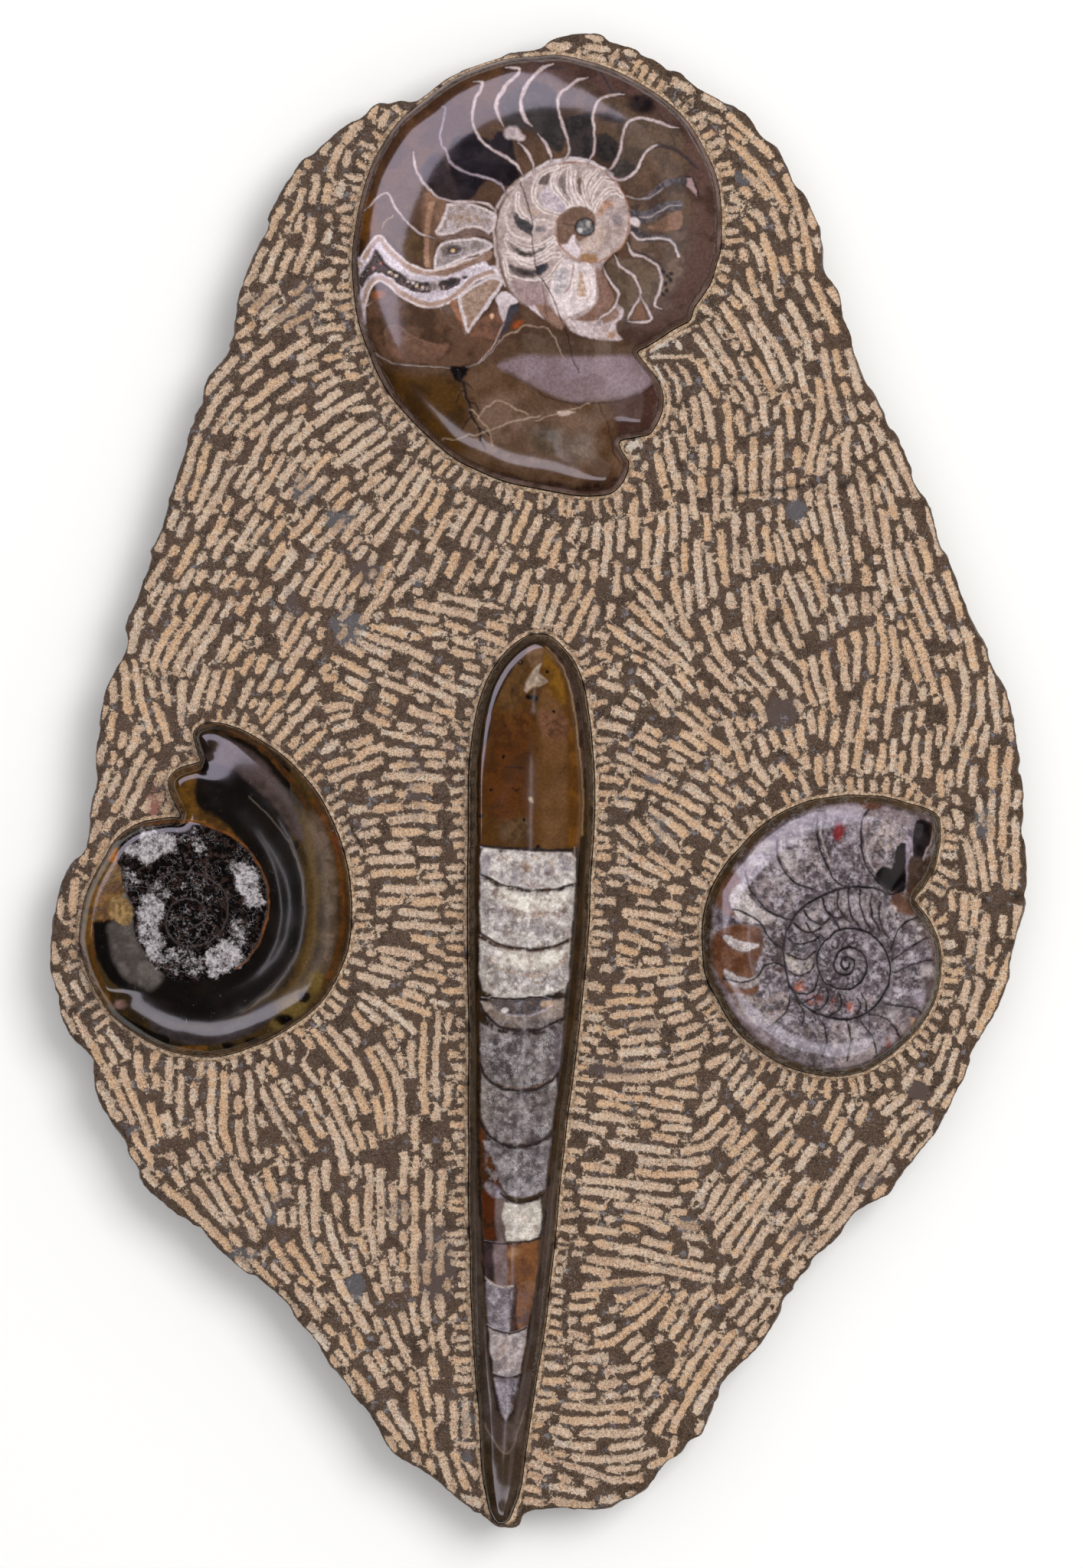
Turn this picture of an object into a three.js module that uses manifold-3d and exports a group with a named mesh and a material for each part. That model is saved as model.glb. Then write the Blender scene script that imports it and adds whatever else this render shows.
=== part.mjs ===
// Polished ammonites and an orthoceras standing out of a chiselled limestone slab.
// Units are millimetres. The slab lies flat on z = 0, +Z is the carved face, +Y runs
// along the slab towards the large ammonite. The origin is the centre of the outline
// on the underside.
import * as THREE from 'three';
import { mergeVertices } from 'three/addons/utils/BufferGeometryUtils.js';
import Module from 'manifold-3d';

// ---- slab ----
const SLAB_TOP = 28.5;          // height of the chiselled matrix face
const BEVEL_DROP = 3.2;         // height lost at the broken upper edge
const BEVEL_INSET = 3.4;        // width of the broken upper edge
const FOOT_INSET = 1.6;         // undercut of the lower edge
const MARGIN_SCALE = 0.962;     // inner limit of the sloping margin
const SOCKET_DEPTH = 8.0;       // how deep each fossil is set into the matrix
const SEAT_GAP = 0.3;           // seam round each fossil
const EDGE_WALL = 1.5;          // least matrix left outside a fossil at the rim

// ---- fossils ----
const LARGE_RISE = 10.5;        // height of the large ammonite above the matrix
const LARGE_SHOULDER = 23.0;    // width of its rounded shoulder
const LEFT_RISE = 9.5;          // height of the left goniatite
const LEFT_SHOULDER = 19.0;
const RIGHT_RISE = 9.5;         // height of the right goniatite
const RIGHT_SHOULDER = 18.0;
const RIM_LIP = 1.4;            // upright lip where a fossil leaves the matrix
const ORTHOCERAS_RISE = 9.5;    // height of the orthoceras at its widest
const ORTHOCERAS_TIP_RISE = 4.2;
const ARC_STEPS = 12;           // facets across the orthoceras

// ---- plan outlines, clockwise from the top ----
const SLAB_OUTLINE = [[12.6,258.9], [21.3,258.9], [24.0,256.5], [33.5,253.6], [35.9,251.5], [41.2,249.4], 
  [44.9,246.2], [48.9,245.7], [55.0,240.6], [71.2,231.6], [77.5,223.7], [83.6,218.1], [89.2,207.0], 
  [91.6,204.6], [94.7,199.3], [98.4,188.9], [99.0,178.6], [100.0,175.2], [103.0,171.7], [105.3,166.2], 
  [105.9,160.6], [108.3,155.3], [110.6,145.5], [114.1,137.3], [115.7,135.7], [119.9,127.2], [121.5,122.4], 
  [123.9,120.0], [129.7,108.7], [129.7,105.7], [131.6,101.0], [135.5,94.9], [140.1,80.0], [141.9,77.6], 
  [151.2,53.8], [154.4,48.5], [157.3,39.2], [162.3,30.7], [166.8,10.1], [166.3,3.2], [167.3,1.6], 
  [168.4,-4.5], [167.9,-18.3], [168.9,-22.0], [169.7,-36.6], [168.7,-39.2], [168.7,-44.8], [163.9,-62.3], 
  [163.1,-68.9], [157.8,-81.4], [150.4,-94.1], [149.3,-99.6], [141.1,-116.9], [135.3,-125.6], 
  [125.7,-137.0], [122.8,-142.3], [120.2,-144.7], [111.2,-149.5], [106.4,-154.8], [104.0,-158.7], 
  [94.7,-167.0], [94.2,-169.1], [88.6,-175.2], [88.6,-176.8], [84.9,-180.2], [83.3,-185.5], [75.4,-198.0], 
  [68.5,-204.1], [63.7,-209.6], [62.9,-213.9], [60.8,-217.0], [57.1,-226.0], [52.1,-229.5], [48.9,-233.7], 
  [43.9,-237.2], [38.3,-244.9], [31.7,-249.1], [29.3,-249.4], [21.6,-252.8], [-1.7,-253.3], [-6.5,-258.1], 
  [-10.7,-258.9], [-15.2,-258.6], [-20.5,-253.9], [-22.4,-253.9], [-38.3,-240.9], [-49.7,-234.5], 
  [-53.4,-230.0], [-57.9,-221.5], [-64.8,-213.6], [-67.2,-209.4], [-74.9,-199.5], [-77.5,-194.5], 
  [-84.4,-187.1], [-87.8,-181.0], [-98.2,-172.5], [-100.3,-172.2], [-108.3,-165.9], [-112.2,-162.2], 
  [-117.3,-155.6], [-119.4,-155.0], [-121.2,-153.2], [-125.5,-151.1], [-134.5,-143.6], [-138.5,-138.1], 
  [-139.0,-135.4], [-142.2,-130.1], [-144.0,-124.8], [-150.9,-114.7], [-153.8,-107.9], [-154.9,-102.3], 
  [-154.6,-98.6], [-155.7,-95.7], [-161.5,-90.1], [-164.7,-85.1], [-166.8,-77.4], [-166.6,-75.0], 
  [-168.1,-72.9], [-167.9,-70.5], [-169.2,-67.8], [-169.7,-57.8], [-166.8,-39.0], [-162.3,-28.6], 
  [-159.4,-26.0], [-156.5,-20.9], [-155.4,-8.5], [-153.3,0.0], [-154.1,5.6], [-153.8,12.5], [-152.5,17.0], 
  [-150.9,30.5], [-143.2,46.4], [-143.5,52.5], [-142.7,55.7], [-135.0,75.8], [-135.0,79.2], [-132.4,84.0], 
  [-128.7,94.9], [-128.7,97.3], [-123.1,113.7], [-122.3,118.5], [-119.6,124.8], [-119.6,126.7], 
  [-117.3,130.4], [-115.4,138.3], [-108.3,147.9], [-107.5,151.8], [-106.1,154.0], [-104.8,165.9], 
  [-102.7,174.1], [-94.2,191.9], [-94.5,194.0], [-93.1,197.4], [-87.6,207.8], [-81.0,216.2], [-79.6,216.5], 
  [-66.9,227.9], [-62.4,229.5], [-55.8,234.8], [-51.3,234.8], [-48.4,236.1], [-42.3,235.6], [-33.3,240.9], 
  [-30.6,243.3], [-21.6,247.5], [-15.5,249.4], [-11.5,251.8], [-0.7,253.3], [4.6,257.1]];
const LARGE_AMMONITE_OUTLINE = [[-0.9,249.9], [4.9,250.4], [10.2,249.9], [15.5,248.6], [21.1,247.0], 
  [26.6,244.9], [31.9,242.2], [37.0,239.3], [42.3,235.9], [47.0,231.9], [51.3,227.4], [54.5,222.6], 
  [57.4,217.3], [60.0,211.7], [61.9,205.6], [62.7,199.0], [62.9,191.1], [62.7,183.9], [61.1,177.8], 
  [59.5,172.5], [56.8,168.0], [53.4,163.0], [52.1,159.0], [46.8,156.1], [42.0,152.9], [37.5,150.0], 
  [33.8,147.9], [36.2,144.4], [38.8,141.0], [41.2,137.5], [42.8,132.8], [42.3,126.9], [39.6,121.4], 
  [37.8,119.5], [33.0,118.5], [27.7,117.1], [28.8,113.2], [30.9,110.0], [30.3,106.3], [28.5,102.6], 
  [25.6,99.6], [21.9,98.6], [16.3,98.3], [10.5,98.8], [4.9,99.9], [-0.7,101.0], [-7.6,102.3], [-13.4,103.9], 
  [-18.9,106.3], [-25.3,109.2], [-30.6,112.4], [-35.9,116.9], [-40.1,120.8], [-44.1,124.8], [-47.8,129.1], 
  [-51.3,133.3], [-53.9,137.5], [-56.3,142.3], [-58.2,147.1], [-60.0,151.8], [-61.6,156.6], [-62.7,161.4], 
  [-63.5,166.7], [-64.0,172.5], [-64.3,178.6], [-64.0,184.7], [-63.2,190.5], [-62.1,196.4], [-60.8,202.2], 
  [-59.2,207.8], [-57.1,213.3], [-54.5,218.4], [-51.3,223.4], [-47.8,227.9], [-43.6,231.6], [-39.1,235.1], 
  [-34.8,238.5], [-30.1,241.7], [-24.2,244.6], [-17.9,247.0], [-11.5,248.8], [-6.2,249.6]];
const LEFT_GONIATITE_OUTLINE = [[-118.9,17.0], [-117.0,18.8], [-114.1,19.6], [-110.4,19.6], [-106.4,18.6], 
  [-102.7,17.2], [-98.7,15.1], [-94.7,12.7], [-90.8,10.1], [-86.8,6.9], [-82.8,2.9], [-78.8,-1.6], 
  [-75.4,-6.4], [-72.2,-12.5], [-69.6,-18.6], [-67.4,-24.9], [-65.9,-31.8], [-65.1,-38.7], [-64.8,-45.3], 
  [-65.1,-51.9], [-66.1,-58.6], [-68.2,-64.4], [-71.2,-70.5], [-74.6,-75.8], [-78.8,-80.0], [-84.1,-84.0], 
  [-90.0,-87.7], [-95.8,-90.6], [-101.9,-93.0], [-106.9,-94.6], [-111.7,-95.4], [-116.7,-95.4], 
  [-122.0,-94.6], [-127.9,-93.3], [-132.9,-91.2], [-137.9,-88.2], [-144.3,-83.7], [-149.1,-79.0], 
  [-153.0,-72.3], [-156.0,-66.2], [-157.5,-61.0], [-158.6,-55.1], [-158.3,-51.4], [-157.8,-47.2], 
  [-156.7,-41.6], [-154.9,-36.3], [-152.8,-32.1], [-149.9,-27.0], [-146.7,-21.5], [-143.5,-18.3], 
  [-139.8,-15.9], [-135.5,-14.3], [-130.8,-13.5], [-126.8,-13.0], [-123.4,-13.0], [-124.9,-9.0], 
  [-126.8,-5.3], [-127.9,-1.6], [-126.8,1.9], [-123.4,4.2], [-119.6,5.3], [-116.5,6.6], [-117.5,9.0], 
  [-118.3,12.2], [-119.1,14.8]];
const RIGHT_GONIATITE_OUTLINE = [[113.3,-5.6], [118.3,-5.8], [123.4,-6.9], [128.4,-8.5], [132.6,-9.5], 
  [136.1,-11.1], [137.9,-12.7], [138.5,-16.4], [138.5,-21.5], [137.7,-25.4], [136.9,-29.4], [135.0,-33.1], 
  [132.9,-36.6], [130.8,-39.2], [129.5,-41.1], [130.5,-42.9], [132.6,-45.6], [134.8,-48.5], [136.6,-52.2], 
  [138.2,-56.4], [138.7,-61.2], [138.7,-66.5], [137.9,-71.3], [136.6,-76.1], [134.5,-80.6], [131.8,-84.5], 
  [128.7,-88.2], [125.2,-91.7], [121.5,-94.9], [117.5,-97.5], [113.6,-99.9], [109.0,-101.2], [104.3,-102.0], 
  [99.5,-102.0], [94.5,-101.2], [89.7,-100.2], [84.9,-98.3], [80.2,-95.9], [75.9,-92.8], [71.7,-89.6], 
  [68.0,-85.6], [64.5,-80.8], [61.9,-75.8], [59.2,-71.3], [57.4,-65.7], [56.8,-60.2], [56.6,-54.1], 
  [56.8,-48.5], [57.9,-42.9], [59.8,-37.4], [62.4,-32.6], [65.3,-28.1], [68.5,-24.6], [71.4,-21.5], 
  [74.9,-17.8], [78.6,-14.8], [83.3,-11.7], [88.9,-9.0], [94.2,-7.2], [100.8,-6.1], [107.5,-5.3]];
const ORTHOCERAS_SECTIONS = [[50.4,-2.5,2.3], [49.3,-4.9,4.4], [47.4,-7.8,6.8], [44.8,-10.7,9.1],
  [41.6,-13.6,11.8], [37.9,-16.0,13.6], [34.2,-17.9,15.0], [30.2,-19.5,16.0], [24.9,-21.1,16.8],
  [19.6,-22.1,17.6], [14.3,-22.9,18.2], [7.7,-23.7,18.7], [-0.3,-24.2,19.2], [-10.9,-24.2,19.2],
  [-21.5,-24.2,18.7], [-34.7,-24.5,17.6], [-48.0,-24.5,17.4], [-61.2,-24.5,16.3], [-74.5,-24.2,15.0],
  [-85.1,-24.0,13.9], [-95.7,-24.0,12.6], [-106.3,-24.2,11.3], [-116.9,-24.2,9.7], [-127.5,-24.0,8.6],
  [-140.7,-24.2,7.0], [-154.0,-24.0,6.0], [-164.6,-23.5,4.9], [-175.2,-23.5,3.6], [-185.8,-22.9,2.5],
  [-196.4,-22.4,0.9], [-207.0,-21.6,-0.9], [-217.6,-20.5,-2.5], [-228.2,-20.0,-4.1], [-236.1,-19.7,-5.2],
  [-242.7,-18.9,-6.0], [-248.0,-17.9,-7.3], [-252.0,-17.1,-8.9], [-254.9,-15.8,-9.9], [-256.5,-14.2,-11.5]];

// point inside each coiled fossil that its rings close on
const LARGE_CENTRE = [-1.0, 164.0];
const LEFT_CENTRE = [-109.6, -37.4];
const RIGHT_CENTRE = [97.0, -50.0];

// ---- helpers ----
const toCCW = (pts) => pts.map((p) => [p[0], p[1]]).reverse();

function splitLong(pts, limit) {
  const out = [];
  pts.forEach((p, i) => {
    const q = pts[(i + 1) % pts.length];
    const d = Math.hypot(q[0] - p[0], q[1] - p[1]);
    const n = Math.max(1, Math.ceil(d / limit));
    for (let k = 0; k < n; k++) out.push([p[0] + ((q[0] - p[0]) * k) / n, p[1] + ((q[1] - p[1]) * k) / n]);
  });
  return out;
}

// outward unit normals of a counter-clockwise outline, averaged over nearby corners
function outward(pts, spread = 1) {
  const n = pts.length;
  return pts.map((_, i) => {
    let x = 0;
    let y = 0;
    for (let k = -spread; k < spread; k++) {
      const a = pts[(i + k + n) % n];
      const b = pts[(i + k + 1 + n) % n];
      const d = Math.hypot(b[0] - a[0], b[1] - a[1]) || 1;
      x += (b[1] - a[1]) / d;
      y -= (b[0] - a[0]) / d;
    }
    const l = Math.hypot(x, y) || 1;
    return [x / l, y / l];
  });
}

const offset = (pts, d, spread = 1) => {
  const nrm = outward(pts, spread);
  return pts.map((p, i) => [p[0] + nrm[i][0] * d, p[1] + nrm[i][1] * d]);
};

function distanceTo(poly, p) {
  let best = Infinity;
  for (let i = 0; i < poly.length; i++) {
    const a = poly[i];
    const b = poly[(i + 1) % poly.length];
    const ux = b[0] - a[0];
    const uy = b[1] - a[1];
    const t = Math.min(1, Math.max(0, ((p[0] - a[0]) * ux + (p[1] - a[1]) * uy) / (ux * ux + uy * uy || 1)));
    best = Math.min(best, Math.hypot(p[0] - a[0] - t * ux, p[1] - a[1] - t * uy));
  }
  return best;
}

// stacks rings of equal length into one closed body; the last ring may be a single apex
function stack(rings, apex) {
  const n = rings[0].length;
  const pos = [];
  const idx = [];
  rings.forEach((r) => r.forEach((p) => pos.push(p[0], p[1], p[2])));
  for (let k = 0; k + 1 < rings.length; k++) {
    for (let i = 0; i < n; i++) {
      const a = k * n + i;
      const b = k * n + ((i + 1) % n);
      idx.push(a, b, b + n, a, b + n, a + n);
    }
  }
  const flat = (r) => r.map((p) => new THREE.Vector2(p[0], p[1]));
  const first = THREE.ShapeUtils.triangulateShape(flat(rings[0]), []);
  first.forEach((t) => idx.push(t[0], t[2], t[1]));
  const top = (rings.length - 1) * n;
  if (apex) {
    pos.push(apex[0], apex[1], apex[2]);
    for (let i = 0; i < n; i++) idx.push(top + i, top + ((i + 1) % n), rings.length * n);
  } else {
    const last = THREE.ShapeUtils.triangulateShape(flat(rings[rings.length - 1]), []);
    last.forEach((t) => idx.push(top + t[0], top + t[1], top + t[2]));
  }
  const g = new THREE.BufferGeometry();
  g.setAttribute('position', new THREE.Float32BufferAttribute(pos, 3));
  g.setIndex(idx);
  return g;
}

const ring = (pts, z) => pts.map((p, i) => [p[0], p[1], typeof z === 'function' ? z(i) : z]);

// ---- fossils ----
// A coiled fossil is a dome: a flat polished middle, a rounded shoulder and a short
// upright lip. Inner rings lose the broken notch of the aperture step by step.
function dome(outline, centre, rise, shoulder) {
  const pts = toCCW(outline);
  const n = pts.length;
  const round = pts.map((_, i) => {
    let x = 0;
    let y = 0;
    for (let k = -7; k <= 7; k++) {
      const q = pts[(i + k + n) % n];
      x += q[0] / 15;
      y += q[1] / 15;
    }
    return [x, y];
  });
  const reach = pts.reduce((s, p) => s + Math.hypot(p[0] - centre[0], p[1] - centre[1]), 0) / n;
  const rings = [ring(pts, SLAB_TOP - SOCKET_DEPTH + SEAT_GAP), ring(pts, SLAB_TOP + RIM_LIP)];
  for (const f of [0.985, 0.955, 0.91, 0.85, 0.77, 0.66, 0.48, 0.25]) {
    const s = Math.min(1, (1 - f) / 0.4);
    const t = Math.min(1, ((1 - f) * reach) / shoulder);
    const z = SLAB_TOP + RIM_LIP + (rise - RIM_LIP) * (0.93 * Math.sqrt(1 - (1 - t) * (1 - t)) + 0.07 * (1 - f));
    rings.push(ring(pts.map((p, i) => [0, 1].map((c) =>
      centre[c] + f * ((1 - s) * (p[c] - centre[c]) + s * (round[i][c] - centre[c])))), z));
  }
  return stack(rings, [centre[0], centre[1], SLAB_TOP + rise]);
}

// The orthoceras is a long cone lying in the slab, ground to a shallow arch.
function arch(sections) {
  const half = sections.map((s) => (s[2] - s[1]) / 2);
  const widest = Math.max(...half);
  const n = ARC_STEPS;
  const pos = [];
  const idx = [];
  sections.forEach((s, r) => {
    const w = half[r] / widest;
    const fade = Math.min(1, Math.sqrt((sections[0][0] - s[0]) / 42 + 0.02));
    const high = (ORTHOCERAS_TIP_RISE + (ORTHOCERAS_RISE - ORTHOCERAS_TIP_RISE) * Math.min(1, w)) * fade;
    for (let k = 0; k <= n; k++) {
      const a = Math.PI * (1 - k / n);
      pos.push((s[1] + s[2]) / 2 + half[r] * Math.cos(a), s[0],
        SLAB_TOP + RIM_LIP * 0.7 + Math.max(0.05, high - RIM_LIP * 0.7) * Math.sin(a));
    }
  });
  const rows = sections.length;
  const at = (r, k) => r * (n + 1) + k;
  for (let r = 0; r + 1 < rows; r++) {
    for (let k = 0; k < n; k++) {
      idx.push(at(r, k), at(r + 1, k), at(r + 1, k + 1), at(r, k), at(r + 1, k + 1), at(r, k + 1));
    }
  }
  // boundary loop, counter-clockwise seen from above
  const loop = [];
  for (let r = 0; r < rows; r++) loop.push(at(r, 0));
  for (let k = 1; k < n; k++) loop.push(at(rows - 1, k));
  for (let r = rows - 1; r >= 0; r--) loop.push(at(r, n));
  for (let k = n - 1; k > 0; k--) loop.push(at(0, k));
  const base = pos.length / 3;
  loop.forEach((v) => pos.push(pos[v * 3], pos[v * 3 + 1], SLAB_TOP - SOCKET_DEPTH + SEAT_GAP));
  const m = loop.length;
  loop.forEach((v, i) => {
    const v2 = loop[(i + 1) % m];
    const b = base + i;
    const b2 = base + ((i + 1) % m);
    idx.push(b, b2, v2, b, v2, v);
  });
  // The end rows run straight across, so their base points lie on one line: the
  // floor is triangulated from the plan outline alone.
  const flat = loop.map((v) => new THREE.Vector2(pos[v * 3], pos[v * 3 + 1]));
  THREE.ShapeUtils.triangulateShape(flat, []).forEach((t) => idx.push(base + t[0], base + t[2], base + t[1]));
  const g = new THREE.BufferGeometry();
  g.setAttribute('position', new THREE.Float32BufferAttribute(pos, 3));
  g.setIndex(idx);
  return g;
}

const orthocerasPlan = [
  ...ORTHOCERAS_SECTIONS.map((s) => [s[1], s[0]]),
  ...ORTHOCERAS_SECTIONS.map((s) => [s[2], s[0]]).reverse(),
];

// ---- slab ----
const sockets = [
  toCCW(LARGE_AMMONITE_OUTLINE), toCCW(LEFT_GONIATITE_OUTLINE), toCCW(RIGHT_GONIATITE_OUTLINE), orthocerasPlan,
].map((p) => offset(p, SEAT_GAP + 0.05));

function slabBody() {
  let rim = splitLong(toCCW(SLAB_OUTLINE), 9);
  const nearest = (p) => Math.min(...sockets.map((s) => distanceTo(s, p)));
  // keep a wall of matrix outside each socket
  for (let pass = 0; pass < 4; pass++) {
    const nrm = outward(rim, 2);
    rim = rim.map((p, i) => {
      const short = EDGE_WALL - nearest(p);
      return short > 0 ? [p[0] + nrm[i][0] * (short + 0.05), p[1] + nrm[i][1] * (short + 0.05)] : p;
    });
  }
  const nrm = outward(rim, 2);
  const chip = (i, s) => 0.5 + 0.5 * Math.sin(i * 1.7 + s * 2.3 + 1.9 * Math.sin(i * 0.61 + s));
  // the bevel fades out where a fossil reaches the rim
  const free = rim.map((p) => Math.min(1, Math.max(0, (nearest(p) - EDGE_WALL - 1.2) / 6)));
  const inset = (d, s, vary) => rim.map((p, i) => {
    const w = d * (1 - vary + 2 * vary * chip(i, s)) * free[i];
    return [p[0] - nrm[i][0] * w, p[1] - nrm[i][1] * w];
  });
  const inner = rim.map((p, i) => {
    const m = 1 - (1 - MARGIN_SCALE) * free[i];
    return [p[0] * m, p[1] * m];
  });
  const drop = (d, s) => (i) => SLAB_TOP - d * free[i] * (0.65 + 0.7 * chip(i, s));
  return stack([
    ring(inset(FOOT_INSET, 1, 0.3), 0),
    ring(inset(0.35, 2, 1), 2.6),
    ring(inset(0.0, 3, 0), 13),
    ring(inset(0.5, 4, 1), (i) => SLAB_TOP - BEVEL_DROP * 1.9 - 1.2 * chip(i, 5)),
    ring(inset(BEVEL_INSET * 0.38, 6, 0.45), drop(BEVEL_DROP * 0.62, 7)),
    ring(inset(BEVEL_INSET, 8, 0.3), drop(BEVEL_DROP * 0.2, 9)),
    ring(inner, SLAB_TOP),
  ]);
}

const wasm = await Module();
wasm.setup();

function toManifold(geometry) {
  const g = geometry.clone();
  g.deleteAttribute('normal');
  g.deleteAttribute('uv');
  const m = mergeVertices(g, 1e-5);
  return new wasm.Manifold(new wasm.Mesh({
    numProp: 3,
    vertProperties: new Float32Array(m.attributes.position.array),
    triVerts: new Uint32Array(m.index.array),
  }));
}

function toGeometry(solid) {
  const mesh = solid.getMesh();
  const g = new THREE.BufferGeometry();
  g.setAttribute('position', new THREE.Float32BufferAttribute(new Float32Array(mesh.vertProperties), 3));
  g.setIndex(Array.from(mesh.triVerts));
  return g;
}

let slab = toManifold(slabBody());
for (const plan of sockets) {
  const cutter = stack([ring(plan, SLAB_TOP - SOCKET_DEPTH), ring(plan, SLAB_TOP + 5)]);
  slab = slab.subtract(toManifold(cutter));
}

// ---- assembly ----
const group = new THREE.Group();
group.name = 'ammonite_and_orthoceras_fossil';

function add(name, geometry, colour, roughness) {
  const mesh = new THREE.Mesh(geometry, new THREE.MeshStandardMaterial({ color: colour, roughness, metalness: 0 }));
  mesh.name = name;
  group.add(mesh);
}

add('matrix_slab', toGeometry(slab), 0x8a7560, 0.9);
add('large_ammonite', dome(LARGE_AMMONITE_OUTLINE, LARGE_CENTRE, LARGE_RISE, LARGE_SHOULDER), 0x6b5443, 0.25);
add('left_goniatite', dome(LEFT_GONIATITE_OUTLINE, LEFT_CENTRE, LEFT_RISE, LEFT_SHOULDER), 0x2a221d, 0.22);
add('right_goniatite', dome(RIGHT_GONIATITE_OUTLINE, RIGHT_CENTRE, RIGHT_RISE, RIGHT_SHOULDER), 0x857d7c, 0.28);
add('orthoceras', arch(ORTHOCERAS_SECTIONS), 0x6e4a1f, 0.25);

export default group;
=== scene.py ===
# Polished ammonites and an orthoceras standing out of a chiselled limestone slab.
# Everything is built in code: the chisel work is laid stroke by stroke along a
# direction field, and the fossils are coloured from drawn sutures and chambers.
import math
import numpy as np
import bpy
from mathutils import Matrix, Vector, kdtree
from mathutils.geometry import delaunay_2d_cdt


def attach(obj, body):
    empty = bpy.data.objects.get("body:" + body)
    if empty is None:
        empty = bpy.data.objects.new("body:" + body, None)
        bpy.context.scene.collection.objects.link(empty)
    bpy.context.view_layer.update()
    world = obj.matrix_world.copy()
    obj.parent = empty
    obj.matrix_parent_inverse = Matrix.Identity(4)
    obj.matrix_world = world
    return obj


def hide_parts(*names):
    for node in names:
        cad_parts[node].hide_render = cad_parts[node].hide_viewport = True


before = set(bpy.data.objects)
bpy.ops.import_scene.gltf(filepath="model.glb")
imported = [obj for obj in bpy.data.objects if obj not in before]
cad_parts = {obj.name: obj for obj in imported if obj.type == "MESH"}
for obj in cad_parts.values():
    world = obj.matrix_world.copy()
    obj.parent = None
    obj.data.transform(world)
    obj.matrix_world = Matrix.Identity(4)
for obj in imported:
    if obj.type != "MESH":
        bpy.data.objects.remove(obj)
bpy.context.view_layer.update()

# ---------------------------------------------------------------- plan drawing
# Plan drawing units: 0.265 mm each, x to the right and y down the slab.
UNIT = 0.265
MID_X, MID_Y = 703.5, 1019.0
TOP = 28.5            # height of the matrix face in mm

SLAB = [
    (751, 42), (784, 42), (794, 51), (830, 62), (839, 70), (859, 78), (873, 90), (888, 92), (911, 111), (972, 145), (996, 175), (1019, 196),
    (1040, 238), (1049, 247), (1061, 267), (1075, 306), (1077, 345), (1081, 358), (1092, 371), (1101, 392), (1103, 413), (1112, 433), (1121, 470), (1134, 501),
    (1140, 507), (1156, 539), (1162, 557), (1171, 566), (1193, 609), (1193, 620), (1200, 638), (1215, 661), (1232, 717), (1239, 726), (1274, 816), (1286, 836),
    (1297, 871), (1316, 903), (1333, 981), (1331, 1007), (1335, 1013), (1339, 1036), (1337, 1088), (1341, 1102), (1344, 1157), (1340, 1167), (1340, 1188), (1322, 1254),
    (1319, 1279), (1299, 1326), (1271, 1374), (1267, 1395), (1236, 1460), (1214, 1493), (1178, 1536), (1167, 1556), (1157, 1565), (1123, 1583), (1105, 1603), (1096, 1618),
    (1061, 1649), (1059, 1657), (1038, 1680), (1038, 1686), (1024, 1699), (1018, 1719), (988, 1766), (962, 1789), (944, 1810), (941, 1826), (933, 1838), (919, 1872),
    (900, 1885), (888, 1901), (869, 1914), (848, 1943), (823, 1959), (814, 1960), (785, 1973), (697, 1975), (679, 1993), (663, 1996), (646, 1995), (626, 1977),
    (619, 1977), (559, 1928), (516, 1904), (502, 1887), (485, 1855), (459, 1825), (450, 1809), (421, 1772), (411, 1753), (385, 1725), (372, 1702), (333, 1670),
    (325, 1669), (295, 1645), (280, 1631), (261, 1606), (253, 1604), (246, 1597), (230, 1589), (196, 1561), (181, 1540), (179, 1530), (167, 1510), (160, 1490),
    (134, 1452), (123, 1426), (119, 1405), (120, 1391), (116, 1380), (94, 1359), (82, 1340), (74, 1311), (75, 1302), (69, 1294), (70, 1285), (65, 1275),
    (63, 1237), (74, 1166), (91, 1127), (102, 1117), (113, 1098), (117, 1051), (125, 1019), (122, 998), (123, 972), (128, 955), (134, 904), (163, 844),
    (162, 821), (165, 809), (194, 733), (194, 720), (204, 702), (218, 661), (218, 652), (239, 590), (242, 572), (252, 548), (252, 541), (261, 527),
    (268, 497), (295, 461), (298, 446), (303, 438), (308, 393), (316, 362), (348, 295), (347, 287), (352, 274), (373, 235), (398, 203), (403, 202),
    (451, 159), (468, 153), (493, 133), (510, 133), (521, 128), (544, 130), (578, 110), (588, 101), (622, 85), (645, 78), (660, 69), (701, 63),
    (721, 49),
]
LARGE = [
    (700, 76), (722, 74), (742, 76), (762, 81), (783, 87), (804, 95), (824, 105), (843, 116), (863, 129), (881, 144), (897, 161), (909, 179),
    (920, 199), (930, 220), (937, 243), (940, 268), (941, 298), (940, 325), (934, 348), (928, 368), (918, 385), (905, 404), (900, 419), (880, 430),
    (862, 442), (845, 453), (831, 461), (840, 474), (850, 487), (859, 500), (865, 518), (863, 540), (853, 561), (846, 568), (828, 572), (808, 577),
    (812, 592), (820, 604), (818, 618), (811, 632), (800, 643), (786, 647), (765, 648), (743, 646), (722, 642), (701, 638), (675, 633), (653, 627),
    (632, 618), (608, 607), (588, 595), (568, 578), (552, 563), (537, 548), (523, 532), (510, 516), (500, 500), (491, 482), (484, 464), (477, 446),
    (471, 428), (467, 410), (464, 390), (462, 368), (461, 345), (462, 322), (465, 300), (469, 278), (474, 256), (480, 235), (488, 214), (498, 195),
    (510, 176), (523, 159), (539, 145), (556, 132), (572, 119), (590, 107), (612, 96), (636, 87), (660, 80), (680, 77),
]
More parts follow.
